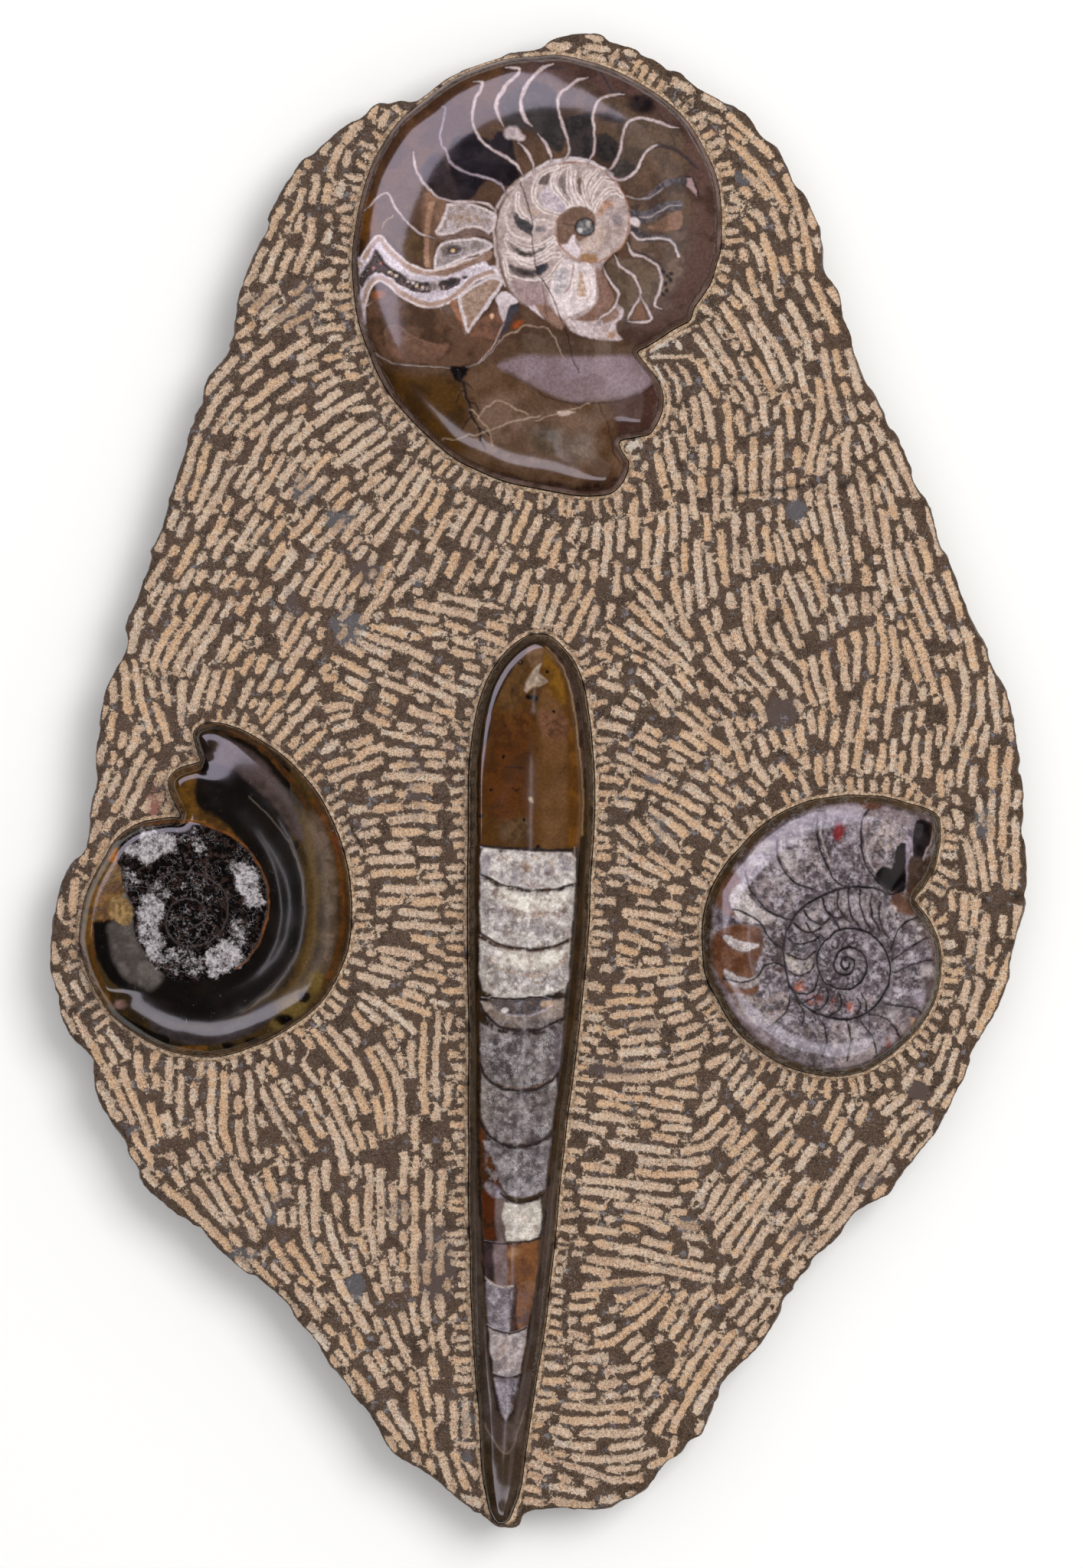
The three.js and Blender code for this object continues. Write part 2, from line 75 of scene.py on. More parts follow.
LEFT = [
    (255, 955), (262, 948), (273, 945), (287, 945), (302, 949), (316, 954), (331, 962), (346, 971), (361, 981), (376, 993), (391, 1008), (406, 1025),
    (419, 1043), (431, 1066), (441, 1089), (449, 1113), (455, 1139), (458, 1165), (459, 1190), (458, 1215), (454, 1240), (446, 1262), (435, 1285), (422, 1305),
    (406, 1321), (386, 1336), (364, 1350), (342, 1361), (319, 1370), (300, 1376), (282, 1379), (263, 1379), (243, 1376), (221, 1371), (202, 1363), (183, 1352),
    (159, 1335), (141, 1317), (126, 1292), (115, 1269), (109, 1249), (105, 1227), (106, 1213), (108, 1197), (112, 1176), (119, 1156), (127, 1140), (138, 1121),
    (150, 1100), (162, 1088), (176, 1079), (192, 1073), (210, 1070), (225, 1068), (238, 1068), (232, 1053), (225, 1039), (221, 1025), (225, 1012), (238, 1003),
    (252, 999), (264, 994), (260, 985), (257, 973), (254, 963),
]
RIGHT = [
    (1131, 1040), (1150, 1041), (1169, 1045), (1188, 1051), (1204, 1055), (1217, 1061), (1224, 1067), (1226, 1081), (1226, 1100), (1223, 1115), (1220, 1130), (1213, 1144),
    (1205, 1157), (1197, 1167), (1192, 1174), (1196, 1181), (1204, 1191), (1212, 1202), (1219, 1216), (1225, 1232), (1227, 1250), (1227, 1270), (1224, 1288), (1219, 1306),
    (1211, 1323), (1201, 1338), (1189, 1352), (1176, 1365), (1162, 1377), (1147, 1387), (1132, 1396), (1115, 1401), (1097, 1404), (1079, 1404), (1060, 1401), (1042, 1397),
    (1024, 1390), (1006, 1381), (990, 1369), (974, 1357), (960, 1342), (947, 1324), (937, 1305), (927, 1288), (920, 1267), (918, 1246), (917, 1223), (918, 1202),
    (922, 1181), (929, 1160), (939, 1142), (950, 1125), (962, 1112), (973, 1100), (986, 1086), (1000, 1075), (1018, 1063), (1039, 1053), (1059, 1046), (1084, 1042),
    (1109, 1039),
]
# y, left side, right side
ORTHO = [
    (829, 694, 712), (833, 685, 720), (840, 674, 729), (850, 663, 738), (862, 652, 748), (876, 643, 755), (890, 636, 760), (905, 630, 764),
    (925, 624, 767), (945, 620, 770), (965, 617, 772), (990, 614, 774), (1020, 612, 776), (1060, 612, 776), (1100, 612, 774), (1150, 611, 770),
    (1200, 611, 769), (1250, 611, 765), (1300, 612, 760), (1340, 613, 756), (1380, 613, 751), (1420, 612, 746), (1460, 612, 740), (1500, 613, 736),
    (1550, 612, 730), (1600, 613, 726), (1640, 615, 722), (1680, 615, 717), (1720, 617, 713), (1760, 619, 707), (1800, 622, 700), (1840, 626, 694),
    (1880, 628, 688), (1910, 629, 684), (1935, 632, 681), (1955, 636, 676), (1970, 639, 670), (1981, 644, 666), (1987, 650, 660),
]
# where the chisel ran, and at what angle: x, y, degrees counter-clockwise
DIRECTIONS = [
    (700, 68, 8), (740, 58, 0), (780, 62, -10), (815, 78, -22), (850, 92, -30), (885, 108, -33), (925, 130, -22), (955, 150, -28),
    (905, 160, -25), (935, 168, -32), (975, 172, -52), (960, 200, -25), (985, 212, -48), (1010, 215, -66), (965, 228, -38), (945, 235, -8),
    (948, 290, -6), (955, 312, 0), (975, 262, -55), (992, 288, -64), (1010, 305, -66), (1030, 265, -70), (1037, 300, -80), (1062, 290, -76),
    (1062, 320, -87), (985, 345, -70), (970, 350, -80), (1005, 362, -75), (1027, 372, -82), (1068, 372, -65), (1088, 380, -60), (1045, 402, -55),
    (950, 372, -38), (950, 402, -50), (925, 425, -60), (945, 445, -60), (965, 490, -55), (982, 480, -60), (1005, 442, -56), (1030, 442, -60),
    (1032, 500, -70), (1060, 490, 87), (1082, 520, -75), (1080, 460, -75), (1112, 480, -75), (1120, 540, -65), (990, 540, -86), (470, 160, 50),
    (440, 175, 55), (405, 225, 85), (440, 225, 80), (430, 255, 85), (370, 260, 55), (345, 325, 72), (330, 310, 62), (415, 300, 87),
    (355, 345, 65), (395, 345, 70), (375, 375, 40), (335, 400, 40), (350, 440, 35), (320, 470, 40), (400, 480, 25), (420, 500, 30),
    (370, 520, 30), (330, 520, 40), (300, 520, 45), (265, 530, 65), (440, 535, 35), (455, 260, 0), (455, 320, 3), (440, 360, 0),
    (440, 390, 0), (450, 440, 8), (475, 485, -5), (495, 520, -10), (520, 540, -10), (230, 620, 73), (250, 640, 76), (275, 660, 52),
    (330, 600, 62), (370, 590, 60), (420, 600, 45), (450, 570, 42), (485, 620, 35), (430, 650, 45), (500, 660, 52), (540, 690, 55),
    (590, 690, 60), (240, 740, 60), (300, 720, 56), (215, 700, 70), (260, 820, 57), (300, 870, 65), (340, 840, 65), (380, 780, 56),
    (420, 790, 60), (480, 770, 55), (370, 870, 58), (360, 930, 50), (400, 940, 48), (250, 930, 75), (215, 930, 110), (570, 720, 68),
    (610, 740, 68), (560, 600, 65), (590, 620, 70), (560, 805, -10), (600, 800, -16), (480, 870, -30), (540, 850, -20), (560, 900, -28),
    (480, 920, -30), (600, 930, -15), (520, 930, -25), (970, 560, 93), (1065, 570, 72), (1095, 580, 63), (920, 610, 87), (1000, 610, 88),
    (1050, 620, 95), (940, 680, 90), (980, 680, 97), (1000, 700, 100), (960, 730, 100), (1040, 710, 112), (1080, 700, 100), (1070, 760, 115),
    (1040, 790, 112), (980, 770, 93), (920, 760, 97), (1130, 600, 102), (1160, 620, 117), (1130, 550, 122), (1190, 680, 105), (1110, 690, 100),
    (1160, 700, 100), (1130, 760, 90), (1170, 770, 107), (1210, 790, 115), (1250, 800, 108), (960, 820, 100), (960, 880, 137), (1000, 880, 135),
    (920, 880, 128), (1070, 900, 108), (1090, 920, 95), (1110, 930, 82), (1140, 920, 80), (1170, 900, 80), (1130, 940, 75), (1200, 850, 112),
    (1230, 870, 115), (1270, 860, 105), (1290, 920, 100), (640, 640, 64), (680, 650, 85), (720, 655, 85), (760, 665, 86), (800, 655, 86),
    (830, 625, -55), (865, 635, -75), (890, 625, -76), (840, 665, 90), (650, 690, 64), (640, 740, 60), (700, 695, 57), (740, 695, 62),
    (775, 700, 76), (795, 700, 85), (640, 770, 60), (670, 770, 66), (715, 780, 80), (745, 790, 57), (770, 780, 70), (800, 770, 77),
    (755, 750, 85), (855, 720, 82), (900, 720, 88), (910, 745, 96), (890, 790, 92), (840, 762, -36), (860, 792, -48), (835, 825, -37),
    (850, 852, -27), (640, 800, -24), (640, 835, -20), (625, 860, -15), (775, 860, -10), (900, 885, -52), (920, 870, -50), (955, 885, -43),
    (880, 930, -48), (900, 912, -50), (940, 925, -45), (920, 960, -35), (880, 972, -32), (820, 958, -15), (790, 980, 5), (840, 990, -35),
    (965, 965, -76), (450, 955, 25), (480, 990, 27), (560, 980, -8), (500, 1020, 12), (550, 1015, -3), (500, 1040, 10), (570, 1040, -5),
    (530, 1070, 3), (570, 1070, -2), (500, 1092, 13), (530, 1105, -5), (530, 1137, 6), (570, 1140, 0), (530, 1155, 5), (570, 1160, -2),
    (520, 1190, 3), (560, 1195, -8), (550, 1210, 0), (550, 1228, -6), (540, 1250, -15), (520, 1265, -15), (560, 1280, -12), (510, 1285, -12),
    (500, 1312, -20), (540, 1325, -18), (465, 1335, -52), (490, 1325, -42), (500, 1362, -60), (480, 1385, -55), (535, 1370, 88), (550, 1372, 88),
    (570, 1350, 85), (585, 1382, 88), (810, 1010, -12), (830, 1035, -8), (870, 1045, -20), (870, 1010, -25), (890, 970, -30), (920, 1035, -35),
    (930, 1055, -37), (920, 1082, -40), (850, 1085, -55), (860, 1112, -36), (850, 1130, -40), (880, 1150, -12), (820, 1155, -5), (840, 1175, -5),
    (870, 1182, -20), (830, 1190, -3), (880, 1205, -15), (905, 1180, -3), (850, 1232, -30), (820, 1242, -15), (830, 1270, 10), (810, 1290, -5),
    (855, 1282, 12), (800, 1305, -5), (850, 1318, 10), (870, 1332, 17), (860, 1352, 10), (885, 1347, 23), (850, 1370, 5), (885, 1372, 17),
    (905, 1342, 30), (880, 1382, 15), (850, 1402, 6), (920, 1290, 4), (925, 1320, 10), (940, 1355, 17), (1195, 960, 76), (1210, 985, 85),
    (1270, 960, 60), (1290, 972, 70), (1310, 960, 105), (1305, 1005, 86), (1280, 1025, 90), (1320, 1010, 86), (1330, 1035, 72), (1300, 1062, 86),
    (1310, 1095, 95), (1330, 1110, 88), (1260, 1120, -72), (1240, 1062, -56), (1225, 1075, -55), (1195, 1030, 90), (1235, 1032, 95), (1250, 1155, 88),
    (1260, 1200, 86), (1320, 1180, 88), (1300, 1222, 85), (1315, 1232, 80), (1330, 1222, 78), (1285, 1242, 81), (1300, 1272, 75), (1280, 1285, 80),
    (1315, 1262, 75), (1235, 1310, 87), (1250, 1312, 80), (1220, 1345, 60), (1270, 1332, 60), (1290, 1322, 60), (1300, 1292, 66), (1240, 1352, 70),
    (1275, 1372, 66), (1210, 1402, 66), (1230, 1402, 74), (1240, 1402, 80), (130, 1382, -60), (150, 1420, -60), (130, 1430, -55), (165, 1445, -65),
    (190, 1400, 88), (225, 1400, 86), (270, 1400, 90), (310, 1392, 88), (340, 1410, -65), (358, 1430, -60), (205, 1455, -70), (230, 1440, 85),
    (275, 1450, 88), (315, 1450, 86), (330, 1440, 85), (185, 1440, -75), (190, 1480, -55), (215, 1505, -50), (235, 1525, -58), (215, 1555, -45),
    (250, 1590, -42), (285, 1600, -45), (270, 1505, -60), (300, 1530, -63), (325, 1530, -70), (350, 1530, -65), (310, 1570, -60), (370, 1465, -50),
    (395, 1490, -50), (410, 1510, -85), (430, 1410, -50), (450, 1390, -42), (470, 1380, -50), (500, 1388, -58), (470, 1402, -70), (460, 1460, -75),
    (440, 1460, -60), (415, 1555, 90), (450, 1570, 90), (480, 1560, 88), (470, 1605, -70), (450, 1632, -60), (490, 1640, -74), (500, 1610, 90),
    (530, 1640, 88), (380, 1582, 85), (375, 1628, -57), (350, 1650, -45), (385, 1690, -50), (410, 1720, -47), (440, 1722, -52), (465, 1730, -63),
    (530, 1450, 89), (520, 1440, 88), (500, 1560, 88), (560, 1560, 88), (580, 1540, 88), (600, 1580, 90), (600, 1680, 90), (545, 1640, 89),
    (565, 1640, 88), (480, 1760, -65), (510, 1795, -60), (530, 1830, -62), (545, 1825, -86), (560, 1860, -88), (580, 1830, -88), (520, 1865, -50),
    (450, 1785, -55), (470, 1825, -60), (440, 1752, -50), (606, 1440, 89), (607, 1500, 89), (608, 1620, 90), (608, 1740, 90), (770, 1402, -15),
    (800, 1415, -14), (825, 1435, -12), (855, 1400, 12), (890, 1392, 20), (870, 1432, -28), (890, 1452, -5), (780, 1458, -8), (830, 1462, -10),
    (870, 1472, -10), (775, 1490, -12), (830, 1500, -12), (780, 1512, -12), (830, 1525, -6), (890, 1512, 0), (800, 1540, -5), (870, 1550, -2),
    (780, 1562, -8), (780, 1588, -8), (860, 1602, -18), (780, 1610, -12), (870, 1622, -18), (785, 1640, -12), (850, 1637, -14), (885, 1652, -18),
    (770, 1662, -15), (810, 1675, 8), (890, 1665, -15), (780, 1690, 15), (815, 1705, 20), (830, 1730, 36), (850, 1720, 50), (870, 1705, 57),
    (895, 1715, 62), (900, 1750, 68), (925, 1765, 50), (930, 1430, 57), (965, 1405, 50), (985, 1435, 50), (1025, 1402, 55), (960, 1465, 50),
    (930, 1482, 55), (990, 1475, 45), (975, 1500, 42), (1010, 1500, 42), (970, 1532, 45), (1030, 1532, 50), (1040, 1460, 60), (930, 1555, 65),
    (975, 1562, 49), (1000, 1580, 58), (1050, 1560, 60), (1085, 1550, 64), (1130, 1522, 55), (1105, 1515, 50), (1090, 1455, 72), (1120, 1442, 75),
    (1080, 1410, 27), (1000, 1625, 60), (960, 1645, 60), (1030, 1638, 57), (1000, 1672, 65), (965, 1720, 38), (990, 1705, 60), (1050, 1642, 50),
    (1090, 1600, 47), (1010, 1712, 55), (1140, 1410, 88), (1125, 1400, 80), (1160, 1402, -75), (1165, 1435, 32), (1190, 1452, 25), (1200, 1468, 38),
    (1232, 1432, 52), (1220, 1455, 55), (1220, 1482, 55), (1190, 1512, 62), (1170, 1535, 48), (1120, 1520, 50), (1145, 1520, 60), (1165, 1550, 40),
    (1120, 1552, 60), (1080, 1602, 46), (1060, 1632, 44), (725, 1712, -30), (740, 1737, -24), (750, 1762, -16), (740, 1782, -1), (775, 1780, 5),
    (780, 1800, 2), (740, 1822, -20), (775, 1815, 10), (730, 1842, -25), (765, 1832, -4), (810, 1830, 5), (770, 1852, -3), (800, 1848, 10),
    (770, 1870, 0), (712, 1872, -20), (770, 1888, 0), (720, 1912, -30), (745, 1907, -25), (765, 1927, -24), (805, 1900, 5), (720, 1945, -25),
    (730, 1966, -4), (775, 1960, 18), (835, 1920, 15), (855, 1932, 25), (890, 1792, 60), (865, 1808, 60), (880, 1825, 64), (865, 1845, 57),
    (872, 1880, 70), (902, 1862, 75), (905, 1840, 60), (922, 1790, 60), (140, 962, 80), (150, 985, 75), (168, 962, 65), (172, 992, 60),
    (190, 932, -75), (203, 952, -60), (230, 962, -64), (160, 1012, 62), (150, 1035, 66), (178, 1038, 60), (200, 1002, 60), (128, 1042, 75),
    (270, 922, 75), (310, 922, 74), (335, 925, 62), (362, 932, 50), (395, 940, 45), (80, 1152, 80), (90, 1182, 85), (75, 1202, 92),
    (70, 1252, -80), (75, 1282, -70), (92, 1325, -62), (120, 1112, 66), (145, 1080, 62), (112, 1142, 70), (115, 1272, -60), (150, 1352, -60),
    (180, 1372, -52), (440, 1012, 20), (400, 1340, -50), (425, 1315, -42),
]

# bare, unworked places in the matrix: x, y, half width, half height
BARE = [
    (415, 275, 12, 10), (385, 312, 18, 14), (372, 438, 28, 12), (365, 482, 14, 14), (430, 810, 25, 20),
    (520, 870, 20, 18), (340, 752, 28, 10), (250, 770, 15, 10), (340, 825, 18, 12), (1040, 670, 14, 22),
    (1110, 695, 12, 12), (1060, 840, 12, 18), (1020, 930, 30, 25), (970, 925, 12, 10), (1200, 700, 10, 10),
    (1220, 940, 25, 15), (680, 737, 10, 10), (728, 752, 22, 11), (830, 712, 16, 13), (815, 775, 12, 20),
    (880, 870, 12, 10), (820, 880, 15, 20), (845, 930, 20, 12), (870, 945, 12, 15), (920, 915, 15, 12),
    (520, 1225, 18, 14), (480, 1210, 15, 12), (915, 1115, 15, 15), (810, 1170, 12, 20), (800, 1360, 12, 20),
    (925, 1375, 15, 15), (1300, 1178, 35, 15), (1265, 1370, 20, 20), (410, 1385, 20, 12), (200, 1430, 25, 10),
    (235, 1490, 25, 12), (350, 1490, 20, 18), (480, 1465, 20, 10), (500, 1510, 25, 12), (560, 1480, 20, 18),
    (560, 1520, 20, 10), (465, 1680, 15, 20), (370, 1610, 25, 12), (330, 1625, 15, 8), (500, 1710, 25, 12),
    (790, 1710, 12, 12), (825, 1615, 15, 12), (945, 1520, 12, 12), (1055, 1470, 25, 22), (1140, 1475, 15, 25),
    (1070, 1520, 22, 18), (935, 1715, 12, 22), (865, 1775, 20, 22), (1020, 1672, 10, 8), (780, 1945, 20, 10),
    (900, 1865, 15, 20), (1200, 1425, 18, 18), (850, 520, 10, 50), (345, 1475, 8, 8),
]
# stains: x, y, half width, half height, kind (1 mauve, 2 blue-grey, 3 white, 4 rusty)
STAINS = [
    (400, 385, 25, 20, 1), (385, 415, 30, 15, 1), (340, 395, 30, 12, 1), (480, 750, 22, 18, 1),
    (380, 785, 12, 25, 1), (540, 1000, 15, 15, 1), (545, 1050, 10, 30, 1), (830, 1683, 38, 11, 1),
    (1130, 1540, 25, 10, 1), (800, 1395, 40, 15, 1), (520, 1580, 25, 15, 1), (570, 1650, 30, 60, 1),
    (845, 1340, 20, 10, 1), (360, 1565, 20, 10, 1), (1040, 1610, 20, 20, 1), (395, 640, 15, 20, 2),
    (440, 680, 20, 15, 2), (455, 820, 25, 25, 2), (475, 825, 7, 7, 3), (545, 760, 8, 8, 2),
    (850, 1020, 8, 15, 2), (860, 1080, 12, 18, 2), (875, 1235, 8, 8, 2), (1285, 1075, 15, 22, 2),
    (900, 1600, 20, 12, 2), (315, 1640, 20, 10, 2), (350, 1590, 10, 10, 2), (175, 1475, 10, 6, 2),
    (430, 315, 6, 20, 3), (970, 235, 12, 12, 2), (610, 1860, 10, 20, 2), (610, 1900, 10, 10, 2),
    (1200, 1425, 18, 18, 1), (1040, 670, 14, 22, 2), (465, 1680, 15, 20, 2), (1020, 930, 28, 22, 1),
    (840, 480, 26, 22, 3), (868, 455, 22, 16, 3), (860, 515, 8, 42, 3), (828, 584, 18, 14, 3),
    (201, 1050, 13, 18, 4), (209, 1030, 7, 14, 1), (1068, 435, 8, 7, 4),
]
# cracks and ledges in the matrix, as lines
CRACKS = [
    [(1280, 1173), (1300, 1176), (1322, 1170), (1342, 1171)],
    [(880, 660), (915, 650), (950, 645), (1000, 642), (1060, 636), (1110, 635)],
    [(890, 122), (900, 136), (912, 150)],
    [(345, 1440), (375, 1475), (405, 1510)],
    [(395, 985), (414, 1008), (430, 1030), (450, 1060), (470, 1110)],
]


# ---------------------------------------------------------------- small maths
def hash2(ix, iy, seed):
    h = (ix.astype(np.int64) * 374761393 + iy.astype(np.int64) * 668265263 + seed * 1442695041) & 0x7FFFFFFF
    h = ((h ^ (h >> 13)) * 1274126177) & 0x7FFFFFFF
    h = ((h ^ (h >> 15)) * 668265263) & 0x7FFFFFFF
    return ((h ^ (h >> 16)) & 0xFFFFFF) / float(0xFFFFFF)


def noise(p, size, seed=0, octaves=1):
    """Smooth value noise from -1 to 1; size is the width of one lump."""
    total, norm, amp = 0.0, 0.0, 1.0
    for o in range(octaves):
        x, y = p[:, 0] / size + 37.7 * o, p[:, 1] / size - 19.3 * o
        ix, iy = np.floor(x), np.floor(y)
        fx, fy = x - ix, y - iy
        fx, fy = fx * fx * (3 - 2 * fx), fy * fy * (3 - 2 * fy)
        s = seed * 7 + o
        a, b = hash2(ix, iy, s), hash2(ix + 1, iy, s)
        c, d = hash2(ix, iy + 1, s), hash2(ix + 1, iy + 1, s)
        total = total + amp * ((a * (1 - fx) + b * fx) * (1 - fy) + (c * (1 - fx) + d * fx) * fy)
        norm += amp
        amp *= 0.55
        size *= 0.5
    return 2 * total / norm - 1


def smooth(lo, hi, v):
    t = np.clip((v - lo) / (hi - lo), 0, 1)
    return t * t * (3 - 2 * t)


def resample(line, step, closed=False):
    a = np.asarray(line, float)
    if closed:
        a = np.vstack([a, a[:1]])
    d = np.hypot(*(a[1:] - a[:-1]).T)
    cum = np.concatenate([[0], np.cumsum(d)])
    n = max(2, int(round(cum[-1] / step)))
    t = np.linspace(0, cum[-1], n + 1)
    if closed:
        t = t[:-1]
    return np.stack([np.interp(t, cum, a[:, 0]), np.interp(t, cum, a[:, 1])], 1)


def curve(line, step=3.0, closed=False):
    """A smooth curve through drawn points."""
    a = np.asarray(line, float)
    n = len(a)
    out = []
    for i in range(n if closed else n - 1):
        if closed:
            p0, p1, p2, p3 = a[i - 1], a[i], a[(i + 1) % n], a[(i + 2) % n]
        else:
            p0, p1, p2, p3 = a[max(i - 1, 0)], a[i], a[i + 1], a[min(i + 2, n - 1)]
        m = max(1, int(np.hypot(*(p2 - p1)) / step))
        for k in range(m):
            t = k / m
            out.append(0.5 * (2 * p1 + (p2 - p0) * t + (2 * p0 - 5 * p1 + 4 * p2 - p3) * t * t
                              + (3 * p1 - p0 - 3 * p2 + p3) * t ** 3))
    if not closed:
        out.append(a[-1])
    return np.array(out)


def inside(p, poly):
    q = np.asarray(poly, float)
    hit = np.zeros(len(p), bool)
    x, y = p[:, 0], p[:, 1]
    j = len(q) - 1
    for i in range(len(q)):
        (xi, yi), (xj, yj) = q[i], q[j]
        if yi != yj:
            hit ^= ((yi > y) != (yj > y)) & (x < (xj - xi) * (y - yi) / (yj - yi) + xi)
        j = i
    return hit


def away(p, line, closed=False):
    """Distance to a line, how far along it (mm of plan units) and on which side."""
    a = np.asarray(line, float)
    if closed:
        a = np.vstack([a, a[:1]])
    best = np.full(len(p), 1e9)
    arc = np.zeros(len(p))
    side = np.ones(len(p))
    cum = 0.0
    for k in range(len(a) - 1):
        d = a[k + 1] - a[k]
        dd = d @ d
        if dd < 1e-9:
            continue
        v = p - a[k]
        t = np.clip(v @ d / dd, 0, 1)
        r = np.hypot(v[:, 0] - t * d[0], v[:, 1] - t * d[1])
        m = r < best
        best[m] = r[m]
        arc[m] = cum + t[m] * math.sqrt(dd)
        side[m] = np.sign(d[0] * v[m, 1] - d[1] * v[m, 0])
        cum += math.sqrt(dd)
    return best, arc, side


def tree(points):
    kd = kdtree.KDTree(len(points))
    for i, q in enumerate(points):
        kd.insert((q[0], q[1], 0.0), i)
    kd.balance()
    return kd


def nearest(kd, points):
    out = np.empty(len(points))
    idx = np.empty(len(points), int)
    for i, q in enumerate(points):
        _, j, d = kd.find((q[0], q[1], 0.0))
        out[i], idx[i] = d, j
    return out, idx


def metres(p, z):
    """Plan points and heights in mm to row-frame metres."""
    x = (p[:, 0] - MID_X) * UNIT / 1000
    y = (MID_Y - p[:, 1]) * UNIT / 1000
    return np.stack([x, y, np.asarray(z, float) / 1000], 1)


def make_mesh(name, co, tris, attrs=None, colours=None, sharp=None):
    me = bpy.data.meshes.new(name)
    tris = np.asarray(tris, np.int32)
    me.vertices.add(len(co))
    me.vertices.foreach_set("co", np.asarray(co, np.float32).ravel())
    me.loops.add(len(tris) * 3)
    me.loops.foreach_set("vertex_index", tris.ravel())
    me.polygons.add(len(tris))
    me.polygons.foreach_set("loop_start", np.arange(0, len(tris) * 3, 3, dtype=np.int32))
    me.polygons.foreach_set("loop_total", np.full(len(tris), 3, np.int32))
    for key, v in (attrs or {}).items():
        me.attributes.new(key, "FLOAT", "POINT").data.foreach_set("value", np.asarray(v, np.float32))
    for key, v in (colours or {}).items():
        rgba = np.ones((len(co), 4), np.float32)
        rgba[:, :3] = v
        me.attributes.new(key, "FLOAT_COLOR", "POINT").data.foreach_set("color", rgba.ravel())
    me.update(calc_edges=True)
    me.validate(verbose=False)
    me.polygons.foreach_set("use_smooth", np.ones(len(me.polygons), bool))
    if sharp:
        me.set_sharp_from_angle(angle=math.radians(sharp))
    ob = bpy.data.objects.new(name, me)
    bpy.context.scene.collection.objects.link(ob)
    return ob


# ---------------------------------------------------------------- fossils in plan
def orthoceras_plan():
    left = [(l, y) for y, l, r in ORTHO]
    right = [(r, y) for y, l, r in ORTHO]
    return left[::-1] + right


PLANS = {
    "large_ammonite": curve(LARGE, 4, True),
    "left_goniatite": curve(LEFT, 4, True),
    "right_goniatite": curve(RIGHT, 4, True),
    "orthoceras": resample(orthoceras_plan(), 4, True),
}


def signed_area(q):
    x, y = q[:, 0], q[:, 1]
    return 0.5 * np.sum(x * np.roll(y, -1) - np.roll(x, -1) * y)


def anticlockwise(q):
    """Anticlockwise on the slab, which is clockwise with y down."""
    return q if signed_area(q) < 0 else q[::-1]


for key in PLANS:
    PLANS[key] = anticlockwise(resample(PLANS[key], 3.6, True))


def normals_out(q, spread=1):
    t = np.roll(q, -spread, 0) - np.roll(q, spread, 0)
    t /= np.hypot(t[:, 0], t[:, 1])[:, None] + 1e-9
    return np.stack([t[:, 1], -t[:, 0]], 1) * (1 if signed_area(q) > 0 else -1)


foot_points = np.vstack([resample(q, 1.0, True) for q in PLANS.values()])
foot_tree = tree(foot_points)
slab_line = resample(curve(SLAB, 4, True), 1.0, True)


def in_fossil(p):
    hit = np.zeros(len(p), bool)
    for q in PLANS.values():
        hit |= inside(p, q)
    return hit


# ---------------------------------------------------------------- the slab's rim
# The rim is broken stone: it wanders by half a millimetre, and keeps a wall of
# matrix outside each fossil.
def slab_rim(step):
    q = anticlockwise(resample(curve(SLAB, 4, True), step, True))
    n = normals_out(q, 3)
    shift = 1.5 * noise(q, 26, 3, 2) + 1.1 * noise(q, 7, 5, 2) - 3.8
    q = q + n * shift[:, None]
    for _ in range(6):
        d, _i = nearest(foot_tree, q)
        hit = in_fossil(q)
        d = np.where(hit, -d, d)
        short = np.clip(4.6 - d, 0, None)
        q = q + n * (short * 0.9)[:, None]
    return q


RIM = slab_rim(5.0)
rim_dense = resample(RIM, 1.0, True)
rim_tree = tree(rim_dense)

# ---------------------------------------------------------------- chisel strokes
GRID = 6.0
gx, gy = np.meshgrid(np.arange(0, 1414 + GRID, GRID), np.arange(0, 2048 + GRID, GRID), indexing="ij")
shape = gx.shape
cells = np.stack([gx.ravel(), gy.ravel()], 1)
samples = np.array(DIRECTIONS, float)
ang = np.radians(samples[:, 2])
c2, s2 = np.cos(2 * ang), np.sin(2 * ang)
FC, FS = np.zeros(len(cells)), np.zeros(len(cells))
for a in range(0, len(cells), 8000):
    d = (cells[a:a + 8000, None, 0] - samples[None, :, 0]) ** 2 + (cells[a:a + 8000, None, 1] - samples[None, :, 1]) ** 2
    w = 1.0 / (d + 520.0) ** 2
    FC[a:a + 8000], FS[a:a + 8000] = w @ c2, w @ s2
size = np.hypot(FC, FS) + 1e-20
FC, FS = (FC / size).reshape(shape), (FS / size).reshape(shape)
cell_foot, _ = nearest(foot_tree, cells)
cell_rim, _ = nearest(rim_tree, cells)
ok_slab = inside(cells, RIM)
ok_fossil = in_fossil(cells)
CLEAR = np.where(ok_fossil, -cell_foot, cell_foot).reshape(shape)
EDGE = np.where(ok_slab, cell_rim, -cell_rim).reshape(shape)
bare = np.zeros(len(cells))
for x, y, rx, ry in BARE:
    r = np.hypot((cells[:, 0] - x) / (rx - 1.0), (cells[:, 1] - y) / (ry - 1.0))
    bare = np.maximum(bare, 1.0 - r)
bare = bare + 0.15 * noise(cells, 14, 11)
BARE_MAP = bare.reshape(shape)


def look(grid, x, y):
    i, j = x / GRID, y / GRID
    a, b = int(i), int(j)
    if a < 0 or b < 0 or a >= shape[0] - 1 or b >= shape[1] - 1:
        return -1.0
    f, g = i - a, j - b
    return ((grid[a, b] * (1 - f) + grid[a + 1, b] * f) * (1 - g)
            + (grid[a, b + 1] * (1 - f) + grid[a + 1, b + 1] * f) * g)


